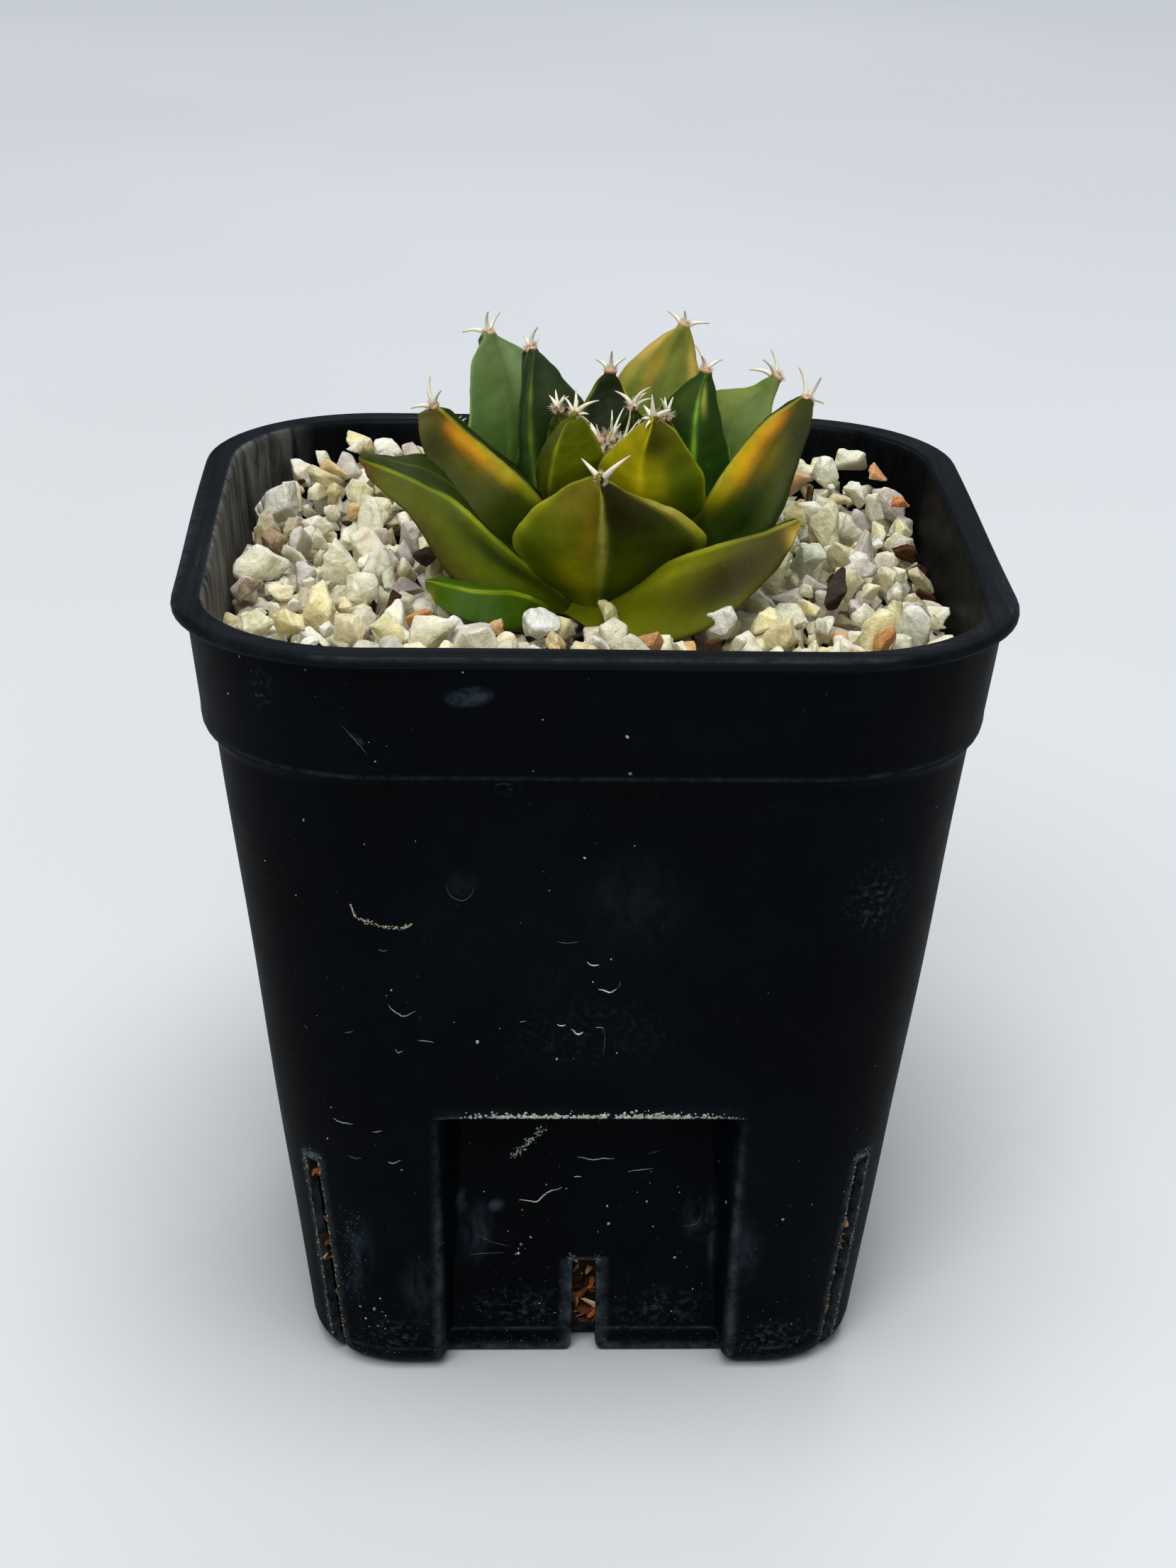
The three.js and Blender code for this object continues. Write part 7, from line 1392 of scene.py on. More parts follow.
def deepen(c):
    """Darker, richer low tones; the pale ones held back."""
    c = np.maximum(c, 0)
    return np.clip(np.where(c < 0.3, 0.3 * (c / 0.3) ** 1.35, 0.3 + (c - 0.3) * 0.62), 0, 0.75)


PLANT = {name: tubercle(name, spec) for name, spec in TUB.items()}


# --------------------------------------------------------------------- spines
def spine_material():
    m = Mat("spines")
    col = m.attr("Col")
    n = m.noise(2600, 4, 0.6)
    col = m.mix(m.ramp(n, [(0.45, 0.0), (0.8, 0.30)]), col, m.mix(1.0, col, (0.74, 0.64, 0.52), "MULTIPLY"))
    m.color(col)
    m.set("Roughness", 0.55)
    m.set("Specular IOR Level", 0.35)
    m.set("Subsurface Weight", 0.2)
    m.set("Subsurface Radius", (1.0, 0.7, 0.45))
    m.set("Subsurface Scale", 0.0004)
    m.normal(m.bump(n, 0.3, 0.00003))
    return m.m


SPINE_MAT = spine_material()
IVORY, FELT, WOOL, GREYTIP = C(242, 235, 214), C(232, 192, 156), C(246, 241, 228), C(186, 168, 140)


def basis(a):
    a = unit(a)
    ref = np.array([0, 0, 1.0]) if abs(a[2]) < 0.9 else np.array([1.0, 0, 0])
    p = unit(np.cross(ref, a))
    return p, np.cross(a, p), a


def add_spine(bag, a, mid, b, r0, r1, rng, sides=8, rings=12, base=FELT, body=IVORY, tip=GREYTIP):
    t = np.linspace(0, 1, rings)
    P = ((1 - t) ** 2)[:, None] * a + (2 * t * (1 - t))[:, None] * mid + (t**2)[:, None] * b
    rad = r1 + (r0 - r1) * (1 - t) ** 0.75
    rad[0] *= 1.25
    v, f = cone_tube(P, rad, sides)
    tt = np.repeat(t, sides)[:, None]
    col = np.where(tt < 0.22, np.asarray(base) + (np.asarray(body) - np.asarray(base)) * tt / 0.22, np.asarray(body) + (np.asarray(tip) - np.asarray(body)) * np.clip((tt - 0.7) / 0.3, 0, 1) * 0.7)
    bag.add(v, fix_normals(v, f), Col=col)


def add_hair(bag, a, d, length, r, rng, colour):
    side = unit(np.cross(d, rng.normal(size=3)))
    t = np.linspace(0, 1, 4)
    P = a + np.outer(t, d) * length + np.outer(t**2, side) * length * rng.uniform(0.15, 0.6)
    v, f = cone_tube(P, r * (1 - 0.8 * t), 3)
    bag.add(v, fix_normals(v, f), Col=np.asarray(colour) * rng.uniform(0.85, 1.05))


def add_pad(bag, c, aim, size, flat, rng, colour):
    p, q, a = basis(aim)
    nu, nv = 14, 9
    V, F = [], []
    for i in range(1, nv):
        th = math.pi * i / nv
        for j in range(nu):
            ph = TAU * j / nu
            d = p * math.sin(th) * math.cos(ph) + q * math.sin(th) * math.sin(ph) + a * math.cos(th) * flat
            V.append(c + d * size * (1 + 0.12 * noise.noise(Vector(d * 3.1 + c))))
    V += [c + a * flat * size, c - a * flat * size]
    for i in range(nv - 2):
        for j in range(nu):
            x0, x1 = i * nu + j, i * nu + (j + 1) % nu
            F.append((x0, x1, x1 + nu, x0 + nu))
    for j in range(nu):
        F.append((len(V) - 2, (j + 1) % nu, j))
        F.append((len(V) - 1, (nv - 2) * nu + j, (nv - 2) * nu + (j + 1) % nu))
    bag.add(V, fix_normals(V, F), Col=np.asarray(colour))


def cluster(num, spec, rng):
    bag = Bag()
    c = np.array(spec["areole"])
    aim = unit(spec["aim"])
    p, q, a = basis(aim)
    centre = c + aim * 0.2
    young = spec["key"] in ("M", "N", "N2", "M2", "O")
    add_pad(bag, centre, aim, 0.78 if not young else 0.72, 0.6, rng, FELT * 0.82)
    big = 1.25 if spec["key"] in ("L", "K", "M") else 1.0
    for tip in spec["spines"]:
        b = np.array(tip)
        d = b - c
        ln = np.linalg.norm(d)
        ud = unit(d)
        out = aim - ud * np.dot(aim, ud)
        lo = np.linalg.norm(out)
        out = out / lo if lo > 0.2 else unit(np.cross(ud, rng.normal(size=3)))
        bend = c + d * 0.46 + out * 0.24 * ln + np.cross(ud, rng.normal(size=3)) * 0.04 * ln
        add_spine(bag, c + ud * 0.15, bend, b, 0.33 * big, 0.055, rng, sides=9, rings=16)
    for _ in range(1 if not young else 3):          # short radial spines
        th = rng.uniform(0, TAU)
        d = unit(p * math.cos(th) + q * math.sin(th) + a * rng.uniform(0.5, 1.3))
        ln = rng.uniform(0.9, 1.7) if not young else rng.uniform(1.5, 2.6)
        add_spine(bag, c + d * 0.2, c + d * ln * 0.5 + a * 0.30 * ln, c + d * ln, 0.18 if not young else 0.26, 0.045, rng, sides=6, rings=10)
    n = 80 if young else 110
    for _ in range(n):
        th, rr = rng.uniform(0, TAU), math.sqrt(rng.random())
        d = unit(p * math.cos(th) * rr + q * math.sin(th) * rr + a * rng.uniform(0.25, 0.8))
        woolly = rng.random() < 0.6
        add_hair(bag, centre + d * 0.5, d, rng.uniform(0.3, 0.75) * (1.2 if young else 1), 0.04, rng, WOOL if woolly else FELT * rng.uniform(0.85, 1.1))
    # wool that runs a little way down the keel
    run = 34 if spec["key"] in ("L", "M") else 14
    for _ in range(run):
        k = rng.uniform(0, 1.0 if run > 20 else 0.5)
        d = unit(-aim * 0.3 + np.array([0, 0, -0.9]) + rng.normal(size=3) * 0.5)
        add_hair(bag, centre + np.array([0, -0.15, -0.9]) * k + rng.normal(size=3) * 0.22, d, rng.uniform(0.4, 0.9), 0.035, rng, WOOL)
    ob = bag.obj(f"areole_{num}", [SPINE_MAT])
    return part(ob, f"spines_{num}")


rng = np.random.default_rng(11)
for name, spec in TUB.items():
    if "areole" in spec:
        cluster(name.split("_")[1], spec, rng)


# ------------------------------------------------------- stem and growing tip
def stem():
    prof = np.array([[0, 79.2], [4.2, 79.2], [7.0, 81.5], [7.6, 85], [6.6, 88.5], [5.2, 92], [4.0, 95.5], [2.6, 98.2], [0.0, 99.2]])
    P = spline(np.c_[prof[:, 0], np.zeros(len(prof)), prof[:, 1]], 60)
    k = 56
    V, F = [], []
    for i, (r, _, z) in enumerate(P[1:-1]):
        for j in range(k):
            a = TAU * j / k
            bump_ = 1 + 0.05 * math.sin(5 * a + z * 0.9) + 0.03 * noise.noise(Vector((math.cos(a) * 3, math.sin(a) * 3, z * 0.6)))
            V.append((AXIS[0] + max(r, 0.05) * bump_ * math.cos(a), AXIS[1] + max(r, 0.05) * bump_ * math.sin(a), z))
    m_r = len(P) - 2
    for i in range(m_r - 1):
        for j in range(k):
            a, b = i * k + j, i * k + (j + 1) % k
            F.append((a, b, b + k, a + k))
    V += [(*AXIS, P[0][2]), (*AXIS, P[-1][2])]
    for j in range(k):
        F.append((m_r * k, (j + 1) % k, j))
        F.append((m_r * k + 1, (m_r - 1) * k + j, (m_r - 1) * k + (j + 1) % k))
    V = np.array(V)
    col = np.where((V[:, 2] < 85)[:, None], C(128, 104, 52), C(64, 78, 30))
    ob = mesh_obj("stem_body", V, fix_normals(V, F), [SKIN], attrs={"Col": col})
    return part(ob, "stem")


stem()


def growing_tip():
    rng = np.random.default_rng(5)
    bag = Bag()
    c0 = np.array([2.0, 1.2, 99.6])
    add_pad(bag, c0, np.array([0, 0, 1.0]), 1.6, 0.7, rng, C(150, 150, 84))
    for k, (dx, dy, dz) in enumerate(((-1.5, -0.2, 0.9), (-0.3, -1.2, 0.7), (1.2, -0.9, 0.9), (0.4, 0.9, 1.5), (-0.8, 1.0, 1.3), (1.7, 0.5, 1.1))):
        c = c0 + np.array([dx, dy, dz])
        aim = unit([dx * 0.5, dy * 0.5 - 0.2, 1.2])
        p, q, a = basis(aim)
        add_pad(bag, c, aim, 0.62, 0.8, rng, FELT * 0.9)
        for _ in range(4):
            th = rng.uniform(0, TAU)
            d = unit(p * math.cos(th) * 0.45 + q * math.sin(th) * 0.45 + a)
            ln = rng.uniform(2.0, 4.2)
            add_spine(bag, c + d * 0.2, c + d * ln * 0.5 + a * 0.2 * ln, c + d * ln, 0.20, 0.04, rng, sides=6, rings=10, base=C(226, 214, 170), tip=IVORY)
        for _ in range(46):
            th, rr = rng.uniform(0, TAU), math.sqrt(rng.random())
            d = unit(p * math.cos(th) * rr + q * math.sin(th) * rr + a * rng.uniform(0.1, 0.9))
            add_hair(bag, c + d * 0.5, d, rng.uniform(0.5, 1.3), 0.03, rng, WOOL if rng.random() < 0.75 else FELT)
    ob = bag.obj("growing_tip_tuft", [SPINE_MAT])
    return part(ob, "spines_growing_tip")


growing_tip()


# --------------------------------------------------------------------- gravel
def hull_shape(rng, n_pts, stretch, bevel, detail):
    """An angular chip of unit size: a bevelled hull with slightly uneven faces."""
    bm = bmesh.new()
    pts = unit(rng.normal(size=(n_pts, 3)))
    pts *= rng.uniform(0.80, 1.08, (n_pts, 1))
    pts *= stretch
    for p in pts:
        bm.verts.new(p)
    res = bmesh.ops.convex_hull(bm, input=bm.verts)
    loose = [v for v in bm.verts if not v.link_faces]
    bmesh.ops.delete(bm, geom=loose, context="VERTS")
    bmesh.ops.dissolve_limit(bm, angle_limit=math.radians(14), verts=bm.verts, edges=bm.edges)
    if bevel:
        bmesh.ops.bevel(bm, geom=list(bm.edges), offset=bevel, segments=1, affect="EDGES", profile=0.6)
    bmesh.ops.triangulate(bm, faces=bm.faces)
    if detail:
        for limit in (detail * 1.5, detail):
            long_e = [e for e in bm.edges if e.calc_length() > limit]
            if long_e:
                bmesh.ops.subdivide_edges(bm, edges=long_e, cuts=1, use_grid_fill=True)
                bmesh.ops.triangulate(bm, faces=bm.faces)
    bmesh.ops.remove_doubles(bm, verts=bm.verts, dist=1e-4)
    bmesh.ops.recalc_face_normals(bm, faces=bm.faces)
    bad = any(len(e.link_faces) != 2 for e in bm.edges)
    V = np.array([v.co[:] for v in bm.verts])
    F = np.array([[v.index for v in f.verts] for f in bm.faces]) if not bad else None
    bm.free()
    if bad:
        return None
    s = rng.uniform(0, 50)
    N = unit(V)
    d = np.array([noise.fractal(Vector(v * 2.3) + Vector((s, 0, 0)), 1.0, 2.0, 3) for v in V])
    d2 = np.array([noise.fractal(Vector(v * 6.5) + Vector((0, s, 0)), 1.0, 2.0, 2) for v in V])
    V = V + N * (d * 0.085 + d2 * 0.034)[:, None]
    return V, F


def library(seed, count, n_pts, flat, bevel, detail):
    rng = np.random.default_rng(seed)
    out = []
    while len(out) < count:
        st = np.array([1.0, rng.uniform(0.72, 1.0), rng.uniform(*flat)])
        h = hull_shape(rng, int(rng.integers(*n_pts)), st, bevel, detail)
        if h is not None:
            out.append(h)
    return out


def rand_rot(rng, n):
    q = unit(rng.normal(size=(n, 4)))
    w, x, y, z = q.T
    return np.stack([np.stack([1 - 2 * (y * y + z * z), 2 * (x * y - z * w), 2 * (x * z + y * w)], -1),
                     np.stack([2 * (x * y + z * w), 1 - 2 * (x * x + z * z), 2 * (y * z - x * w)], -1),
                     np.stack([2 * (x * z - y * w), 2 * (y * z + x * w), 1 - 2 * (x * x + y * y)], -1)], 1)


def surface_z(x, y):
    pile = 4.4 * np.exp(-((x + 24) ** 2 / 60 + (y - 36) ** 2 / 150)) + 1.5 * np.exp(-((x + 30) ** 2 + (y - 30) ** 2) / 250) + 3.2 * np.exp(-((x - 29) ** 2 / 120 + (y - 37) ** 2 / 170))
    dip = -0.9 * np.exp(-((x - AXIS[0]) ** 2 + (y - AXIS[1]) ** 2) / 160)
    near_front = 0.7 * sstep(-26, -37, y)
    return 85.9 + pile + dip + near_front + 0.5 * np.sin(x * 0.21 + 1) * np.sin(y * 0.19 + 2) - 0.9 * sstep(33, 39, x) * (y > -30)


HALF, CORNER = 40.55, 15.6


def clear_wall(p, r):
    """Keep a grain inside the pot: rounded square in plan."""
    lim = HALF - r
    rad = max(CORNER - r, 0.5) if np.isscalar(r) else np.maximum(CORNER - r, 0.5)
    core = lim - rad
    q = np.abs(p[:, :2])
    ex = np.maximum(q - core[:, None], 0)
    d = np.linalg.norm(ex, axis=1)
    over = np.maximum(d - rad, 0)
    k = np.where(d > 1e-6, over / np.maximum(d, 1e-6), 0)
    p[:, :2] -= np.sign(p[:, :2]) * ex * k[:, None]


def pack_grains(rng):
    """Grain centres and radii: loose layers, pushed apart and off the plant."""
    P, Rd, layer = [], [], []
    for li, (drop, pitch, jitter) in enumerate(((0.9, 3.30, 1.1), (3.6, 3.6, 0.9), (6.0, 4.0, 0.6))):
        xs = np.arange(-41, 41.1, pitch)
        for a in xs:
            for b in xs:
                x, y = a + rng.uniform(-1, 1) * pitch * 0.45, b + rng.uniform(-1, 1) * pitch * 0.45
                r = float(np.clip(rng.lognormal(math.log(1.95), 0.27), 0.85, 3.3))
                P.append((x, y, surface_z(x, y) - drop - 0.25 * r + rng.uniform(-jitter, jitter) * 0.7))
                Rd.append(r)
                layer.append(li)
    P, Rd, layer = np.array(P), np.array(Rd), np.array(layer)
    ex = np.maximum(np.abs(P[:, :2]) - (HALF - CORNER), 0)
    keep = np.linalg.norm(ex, axis=1) < CORNER - Rd * 0.4
    keep &= np.hypot(P[:, 0] - AXIS[0], P[:, 1] - AXIS[1]) > 8.0
    P, Rd, layer = P[keep], Rd[keep], layer[keep]
    bvhs = []
    dg = bpy.context.evaluated_depsgraph_get()
    for nm, ob in PLANT.items():
        bvhs.append((BVHTree.FromObject(ob, dg), np.array([v[:] for v in ob.bound_box]).min(0) / MM - 3, np.array([v[:] for v in ob.bound_box]).max(0) / MM + 3))
    home = P.copy()
    rc = Rd * 0.80
    for it in range(46):
        P[:, 2] -= 0.03
        # pairs
        cell = 6.4
        order = np.argsort(P[:, 0])
        xs = P[order, 0]
        hi = np.searchsorted(xs, xs + cell)
        I, J = [], []
        for a in range(len(order)):
            if hi[a] > a + 1:
                js = order[a + 1:hi[a]]
                i = order[a]
                m = (np.abs(P[js, 1] - P[i, 1]) < cell) & (np.abs(P[js, 2] - P[i, 2]) < cell)
                js = js[m]
                I.append(np.full(len(js), i)); J.append(js)
        I, J = np.concatenate(I), np.concatenate(J)
        d = P[J] - P[I]
        L = np.maximum(np.linalg.norm(d, axis=1), 1e-6)
        over = rc[I] + rc[J] - L
        m = over > 0
        push = d[m] / L[m, None] * (over[m] * 0.42)[:, None]
        np.add.at(P, J[m], push)
        np.add.at(P, I[m], -push)
        P += (home - P) * np.array([0.02, 0.02, 0.05])
        clear_wall(P, Rd * 0.86)
        P[:, 2] = np.maximum(P[:, 2], 79.4 + Rd * 0.5)
        if it % 4 == 3 or it > 40:
            for bvh, lo, hi_ in bvhs:
                near = np.nonzero(np.all((P > lo) & (P < hi_), axis=1))[0]
                for i in near:
                    hit, nrm, idx, dist = bvh.find_nearest(Vector(P[i]) * MM, 0.004)
                    if hit is None:
                        continue
                    h = np.array(hit) / MM
                    nn = np.array(nrm)
                    v = P[i] - h
                    inside = np.dot(v, nn) < 0
                    want = Rd[i] * 0.72
                    dd = np.linalg.norm(v)
                    if inside:
                        P[i] = h + nn * want
                    elif dd < want:
                        P[i] += v / max(dd, 1e-6) * (want - dd)
    # grains left inside the plant go
    ok = np.ones(len(P), bool)
    for bvh, lo, hi_ in bvhs:
        near = np.nonzero(np.all((P > lo) & (P < hi_), axis=1))[0]
        for i in near:
            hit, nrm, idx, dist = bvh.find_nearest(Vector(P[i]) * MM, 0.004)
            if hit is None:
                continue
            v = P[i] - np.array(hit) / MM
            if np.dot(v, np.array(nrm)) < 0 or np.linalg.norm(v) < Rd[i] * 0.35:
                ok[i] = False
    ok &= np.hypot(P[:, 0] - AXIS[0], P[:, 1] - AXIS[1]) > 6.5
    ok &= P[:, 2] + Rd * 0.4 < surface_z(P[:, 0], P[:, 1]) + 2.6
    return P[ok], Rd[ok], layer[ok]


def quartz_material():
    m = Mat("quartz_gravel")
    col = m.attr("Col")
    kind = m.attr("frost", "Fac")
    cloud = m.noise(480, 5, 0.62, 0.5)
    vein = m.noise(1100, 4, 0.7, 1.2)
    fine = m.noise(4200, 3, 0.6)
    col = m.mix(m.ramp(cloud, [(0.30, 0.0), (0.66, 1.0)]), m.mix(1.0, col, (0.74, 0.72, 0.66), "MULTIPLY"), m.mix(1.0, col, (1.20, 1.19, 1.16), "MULTIPLY"))
    stain = m.math("MULTIPLY", m.ramp(vein, [(0.58, 0.0), (0.74, 1.0)]), 0.42)
    col = m.mix(stain, col, m.mix(1.0, col, (0.92, 0.70, 0.38), "MULTIPLY"))
    dirt = m.math("MULTIPLY", m.ramp(m.noise(760, 5, 0.7, 0.4), [(0.64, 0.0), (0.78, 1.0)]), 0.5)
    col = m.mix(dirt, col, C(128, 106, 76))
    frost = m.math("MULTIPLY", kind, m.ramp(fine, [(0.35, 0.1), (0.7, 1.0)]))
    col = m.mix(m.math("MULTIPLY", frost, 0.55), col, C(246, 243, 226))
    m.color(col)
    r = m.math("MULTIPLY_ADD", kind, 0.35)
    r.node.inputs[2].default_value = 0.26
    m.rough(m.math("ADD", r, m.math("MULTIPLY", cloud, 0.22), clamp=True))
    m.set("Specular IOR Level", 0.40)
    m.set("Subsurface Weight", 0.55)
    m.set("Subsurface Radius", (1.0, 0.95, 0.75))
    m.set("Subsurface Scale", 0.0016)
    b = m.bump(fine, 0.75, 0.00012)
    b = m.bump(m.voronoi(900, out="Distance"), 0.5, 0.00030, b)
    b = m.bump(vein, 0.8, 0.00034, b)
    m.normal(m.bump(cloud, 0.85, 0.00055, b))
    return m.m


def bark_material(name="bark"):
    m = Mat(name)
    col = m.attr("Col")
    g = m.noise(900, 5, 0.7, 0.4, stretch=(0.35, 1, 1.2))
    f = m.noise(3600, 3, 0.6)
    col = m.mix(m.ramp(g, [(0.3, 0.0), (0.72, 1.0)]), m.mix(1.0, col, (0.32, 0.27, 0.23), "MULTIPLY"), m.mix(1.0, col, (1.35, 1.28, 1.2), "MULTIPLY"))
    m.color(col)
    m.set("Roughness", 0.82)
    m.set("Specular IOR Level", 0.25)
    b = m.bump(f, 0.3, 0.00008)
    m.normal(m.bump(g, 0.9, 0.0005, b))
    return m.m


QUARTZ = quartz_material()
BARK = bark_material()
# colour families of the grains: share, colour, how frosted
FAMILIES = [
    (0.25, (238, 235, 212), 0.45),    # greenish white, glassy
    (0.19, (238, 234, 214), 0.65),
    (0.19, (246, 236, 198), 0.85),    # cream, frosted
    (0.11, (214, 206, 200), 0.25),    # grey lilac, glassy
    (0.12, (238, 226, 176), 0.60),    # yellowish
    (0.05, (204, 192, 164), 0.25),
    (0.05, (246, 244, 236), 1.00),
    (0.03, (222, 180, 118), 0.45),    # amber
    (0.01, (164, 140, 108), 0.30),
]
# single stones that stand out: x, y, z, radius, colour, kind
SPECIAL = [
    ("q", 36.5, 31.5, 88.6, 2.0, (232, 168, 116)), ("q", 38.6, 24.0, 87.0, 1.5, (208, 128, 56)), ("q", -18.9, -17.2, 0, 2.1, (206, 138, 62)), ("q", 5.0, -24.6, 0, 2.9, (186, 136, 82)), ("q", 30.9, -21.2, 0, 2.5, (212, 158, 92)),
    ("q", -37.2, -6.8, 0, 2.7, (160, 144, 118)), ("q", -28.2, 1.5, 0, 3.3, (248, 242, 218)), ("q", -30.3, -12.2, 0, 3.6, (244, 232, 184)), ("q", 28.8, 15.8, 0, 3.7, (234, 232, 200)), ("q", 25.1, 3.7, 0, 2.9, (226, 234, 214)),
    ("q", 26.0, 30.0, 0, 2.8, (206, 168, 128)), ("q", 30.8, -0.8, 0, 2.7, (206, 200, 192)), ("q", 35.3, -16.8, 0, 2.7, (224, 226, 216)), ("q", -30.1, 27.8, 0, 2.1, (234, 206, 152)), ("q", -15.2, -13.2, 0, 3.0, (238, 238, 216)),
    ("q", -5.6, -18.2, 0, 2.7, (246, 246, 238)), ("q", 1.8, -20.0, 0, 2.4, (240, 236, 214)), ("q", 13.8, -18.4, 0, 2.9, (240, 242, 232)), ("q", -24.0, 36.2, 89.4, 2.6, (240, 238, 226)), ("q", -36.0, 22.0, 0, 3.2, (214, 214, 204)),
    ("q", 20.2, -21.5, 0, 2.6, (238, 226, 180)), ("q", -36.5, -19.0, 0, 2.9, (236, 232, 200)), ("q", -26.0, -20.5, 0, 2.9, (232, 222, 190)), ("q", 37.6, -22.5, 0, 2.4, (240, 232, 196)),
    ("b", 27.4, -9.0, 87.0, 3.0, (74, 64, 58)), ("b", -18.5, 3.2, 86.8, 2.7, (96, 78, 62)), ("b", -22.0, -9.7, 0, 1.5, (92, 70, 50)), ("b", -10.4, 15.1, 0, 1.6, (60, 46, 36)),
    ("b", 38.0, 11.0, 84.8, 2.1, (96, 60, 36)), ("b", 38.2, 5.6, 84.2, 1.8, (84, 52, 32)), ("b", 38.2, -3.5, 84.6, 1.6, (96, 58, 34)), ("b", 21.5, 24.5, 0, 1.5, (86, 64, 44)), ("b", -33.8, -13.2, 84.9, 1.4, (84, 60, 40)), ("b", 12.6, -24.6, 0, 1.3, (90, 66, 44)),
]


def gravel():
    rng = np.random.default_rng(2024)
    P, Rd, layer = pack_grains(rng)
    fine_lib = library(1, 40, (10, 18), (0.58, 0.95), 0.06, 0.36)
    low_lib = library(2, 24, (9, 14), (0.62, 0.95), 0.0, 0)
    bark_lib = library(3, 16, (12, 18), (0.35, 0.6), 0.05, 0.45)
    # special stones push their neighbours away
    extra = []
    keep = np.ones(len(P), bool)
    for kind, x, y, z, r, c in SPECIAL:
        z = z or float(surface_z(np.array(x), np.array(y))) + (0.3 if kind == "q" else 0.0)
        near = np.linalg.norm((P - np.array([x, y, z])) * np.array([1, 1, 0.8]), axis=1) < r * 0.75 + Rd * 0.55
        keep &= ~near
        extra.append((kind, np.array([x, y, z]), r, c))
    P, Rd, layer = P[keep], Rd[keep], layer[keep]
    top = P[:, 2] + Rd > surface_z(P[:, 0], P[:, 1]) - 1.9
    print("GRAINS", len(P), "upper", int(top.sum()))
    share = np.cumsum([f[0] for f in FAMILIES]); share /= share[-1]
    fam = np.searchsorted(share, rng.random(len(P)))
    rot = rand_rot(rng, len(P) + len(extra))
    bags = {"quartz_gravel_front": [[], [], [], []], "quartz_gravel_rear": [[], [], [], []], "quartz_gravel_under": [[], [], [], []], "bark_in_gravel": [[], [], [], []]}
    count = {k: 0 for k in bags}

    def put(which, V, F, c, fr):
        b = bags[which]
        b[0].append(V); b[1].append(F + count[which]); b[2].append(np.tile(c, (len(V), 1))); b[3].append(np.full(len(V), fr))
        count[which] += len(V)

    for i in range(len(P)):
        share_, rgb, frost = FAMILIES[fam[i]]
        c = C(*rgb) * rng.uniform(0.82, 1.10) * (1 + rng.normal(size=3) * 0.02)
        V, F = (fine_lib[int(rng.integers(len(fine_lib)))] if top[i] else low_lib[int(rng.integers(len(low_lib)))])
        sc = Rd[i] * np.array([1.12, 1, 1]) * rng.uniform(0.92, 1.12, 3)
        Vw = (V * sc) @ rot[i].T + P[i]
        which = "quartz_gravel_under" if not top[i] else ("quartz_gravel_front" if P[i, 1] < 2 else "quartz_gravel_rear")
        put(which, Vw, F, c, np.clip(frost + rng.normal() * 0.15, 0, 1))
    for j, (kind, p, r, rgb) in enumerate(extra):
        R = rot[len(P) + j]
        if kind == "q":
            V, F = fine_lib[j % len(fine_lib)]
            put("quartz_gravel_front" if p[1] < 2 else "quartz_gravel_rear", (V * r) @ R.T + p, F, C(*rgb), 0.35)
        else:
            V, F = bark_lib[j % len(bark_lib)]
            put("bark_in_gravel", (V * r) @ R.T + p, F, C(*rgb), 0.0)
    # crumbs of bark and grit in the gaps
    for _ in range(150):
        x, y = rng.uniform(-39, 39, 2)
        if math.hypot(x - AXIS[0], y - AXIS[1]) < 9:
            continue
        V, F = bark_lib[int(rng.integers(len(bark_lib)))]
        R = rand_rot(rng, 1)[0]
        r = rng.uniform(0.35, 0.9)
        z = float(surface_z(np.array(x), np.array(y))) - rng.uniform(1.2, 2.6)
        p = np.array([[x, y, z]])
        clear_wall(p, np.array([r * 1.2]))
        put("bark_in_gravel", (V * r * np.array([1.4, 1, 0.8])) @ R.T + p[0], F, C(*[(70, 50, 36), (104, 72, 44), (46, 36, 30), (150, 104, 60)][int(rng.integers(4))]), 0.0)
    for nm, (vs, fs, cs, fr) in bags.items():
        V, F, Cc, Fr = np.concatenate(vs), np.concatenate(fs), np.concatenate(cs), np.concatenate(fr)
        # nothing above the room that the pot's mouth leaves, nothing through the wall
        ob = mesh_obj(nm, V, F.tolist(), [BARK if nm.startswith("bark") else QUARTZ], attrs={"Col": np.clip(Cc, 0, 1), "frost": Fr}, sharp=24)
        part(ob, "gravel_top_dressing")
        print(nm, len(F))


gravel()


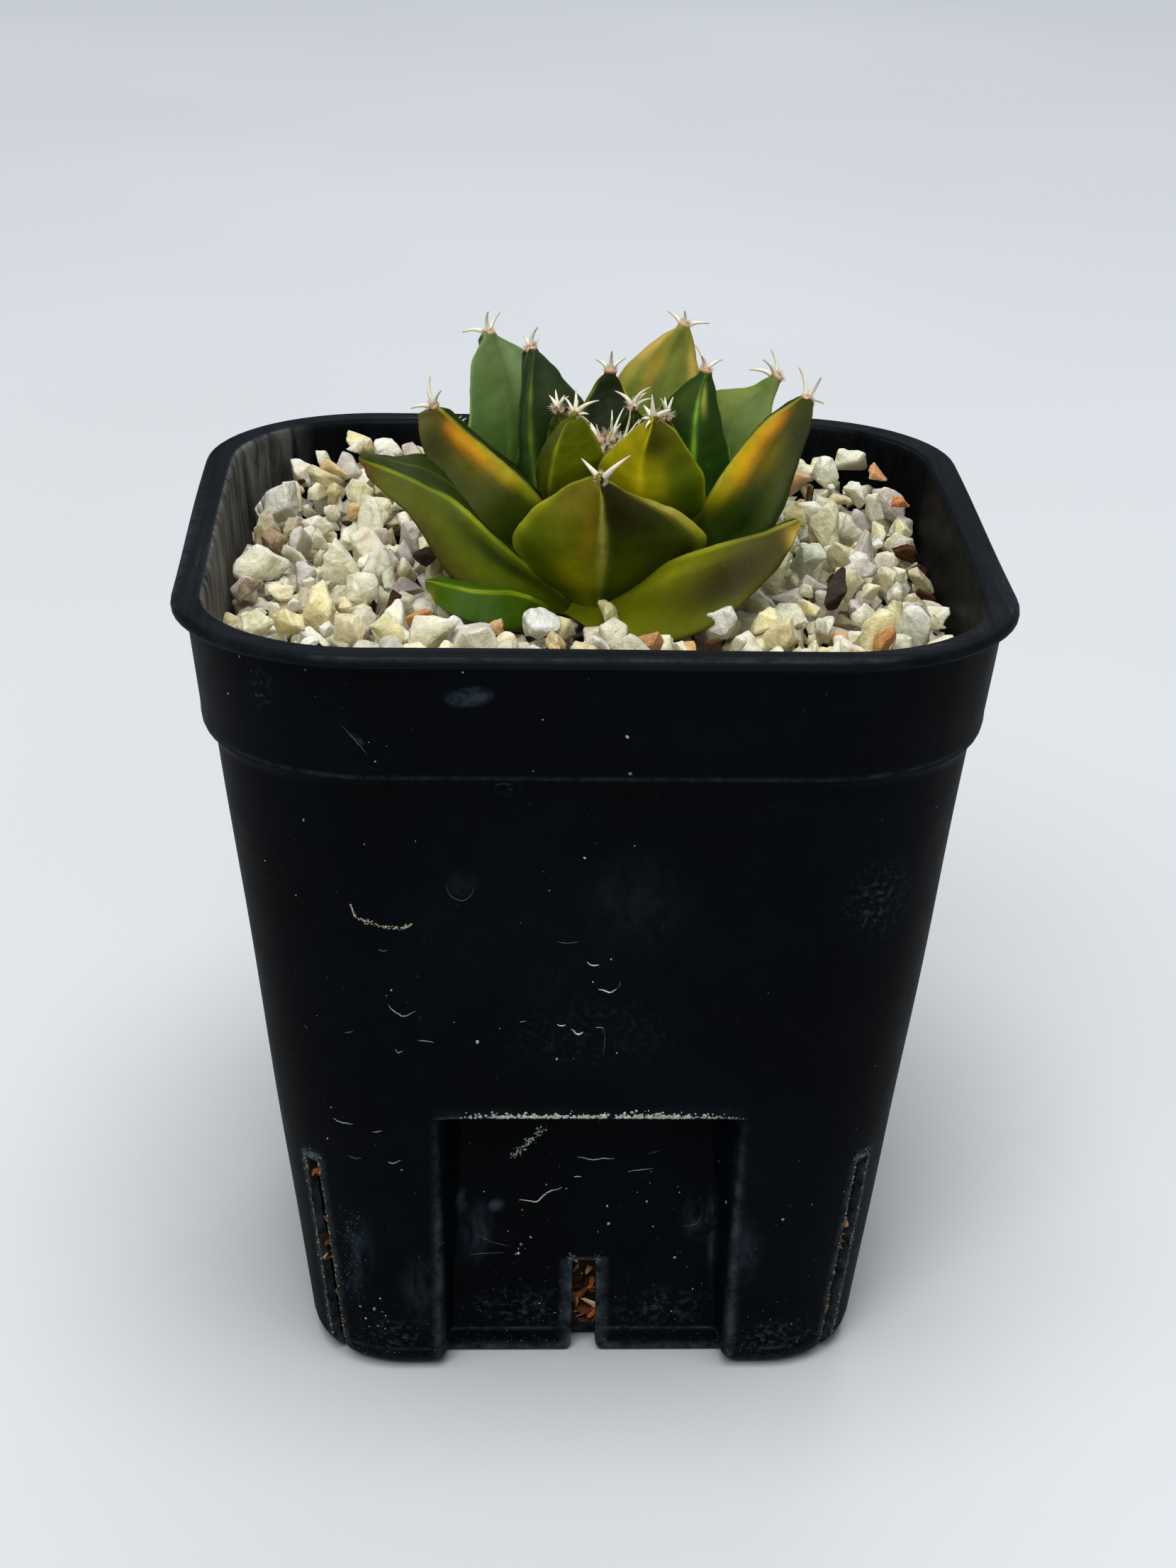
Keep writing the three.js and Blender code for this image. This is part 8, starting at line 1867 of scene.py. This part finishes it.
# ---------------------------------------------------------------- potting mix
def potting_mix():
    rng = np.random.default_rng(77)
    # the body of the mix, a rough block just inside the walls
    zs = np.r_[2.2, np.arange(3.0, 34.0, 1.6), 35.6, np.arange(37.5, 78.4, 3.4), 78.4]
    rings = []
    for z in zs:
        d = body_side(z) / 2 - FACE if z < LEDGE_Z + 0.8 else 0.0
        side = body_side(min(z, 77)) - 2 * 1.75
        q = pot_ring(side, body_rad(min(z, 77)) - 1.7, z, max(0, d), 1.75)
        rings.append(q)
    nc = len(rings[0])
    V = np.array([p for r in rings for p in r])
    F = []
    for i in range(len(rings) - 1):
        for j in range(nc):
            a, b = i * nc + j, i * nc + (j + 1) % nc
            F.append((a, b, b + nc, a + nc))
    n = fbm(V[:, 0], V[:, 1], V[:, 2], 0.55, 3, 4.0)
    r = np.maximum(np.hypot(V[:, 0], V[:, 1]), 1)
    V[:, 0] -= V[:, 0] / r * (0.35 + 0.45 * n)
    V[:, 1] -= V[:, 1] / r * (0.35 + 0.45 * n)
    V = np.vstack([V, [0, 0, zs[0]], [0, 0, zs[-1]]])
    for j in range(nc):
        F.append((len(V) - 2, (j + 1) % nc, j))
        F.append((len(V) - 1, (len(rings) - 1) * nc + j, (len(rings) - 1) * nc + (j + 1) % nc))
    col = np.tile(C(58, 42, 30), (len(V), 1)) * (0.8 + 0.5 * np.clip(np.r_[n, 0, 0], -0.6, 0.8))[:, None]
    ob = mesh_obj("mix_body", V, fix_normals(V, F), [BARK], attrs={"Col": np.clip(col, 0, 1)})
    part(ob, "potting_mix")
    # chips of bark and fibre that show in the slots
    lib = library(9, 20, (9, 15), (0.28, 0.5), 0.05, 0.5)
    tones = [(214, 176, 128), (188, 140, 92), (150, 92, 50), (226, 196, 150), (96, 62, 38), (176, 104, 50), (60, 42, 30), (120, 78, 46)]
    vs, fs, cs, cnt = [], [], [], 0

    def chip(p, size, R, rgb):
        nonlocal cnt
        V, F = lib[int(rng.integers(len(lib)))]
        Vw = (V * size) @ R.T + p
        vs.append(Vw); fs.append(F + cnt); cs.append(np.tile(C(*rgb) * rng.uniform(0.75, 1.1), (len(V), 1)))
        cnt += len(V)

    for q in range(4):
        a = q * math.pi / 2
        M = np.array([[math.cos(a), -math.sin(a), 0], [math.sin(a), math.cos(a), 0], [0, 0, 1]])
        for _ in range(34):                      # behind each panel slot
            x, z = rng.uniform(-1.5, 1.5), rng.uniform(2.2, 12.2)
            size = np.array([rng.uniform(0.8, 2.0), rng.uniform(0.5, 1.0), rng.uniform(0.5, 0.9)])
            y = -FACE + 0.95 + rng.uniform(0.2, 1.9)
            chip(M @ np.array([x, y, z]), size, M @ rand_rot(rng, 1)[0], tones[int(rng.integers(len(tones)))])
        b = a + math.radians(-135)
        for _ in range(44):                      # behind each corner slot
            z = rng.uniform(3.0, 27.0)
            rad = (body_side(z) / 2) * math.sqrt(2) - body_rad(z) * (math.sqrt(2) - 1) - rng.uniform(0.9, 2.4)
            t = rng.uniform(-1.0, 1.0)
            p = np.array([rad * math.cos(b) - t * math.sin(b), rad * math.sin(b) + t * math.cos(b), z])
            size = np.array([rng.uniform(0.7, 1.7), rng.uniform(0.4, 0.8), rng.uniform(0.4, 0.8)])
            chip(p, size, rand_rot(rng, 1)[0], tones[int(rng.integers(len(tones)))])
    V, F, Cc = np.concatenate(vs), np.concatenate(fs), np.concatenate(cs)
    ob = mesh_obj("mix_bark_chips", V, F.tolist(), [BARK], attrs={"Col": np.clip(Cc, 0, 1)}, sharp=28)
    part(ob, "potting_mix")


potting_mix()
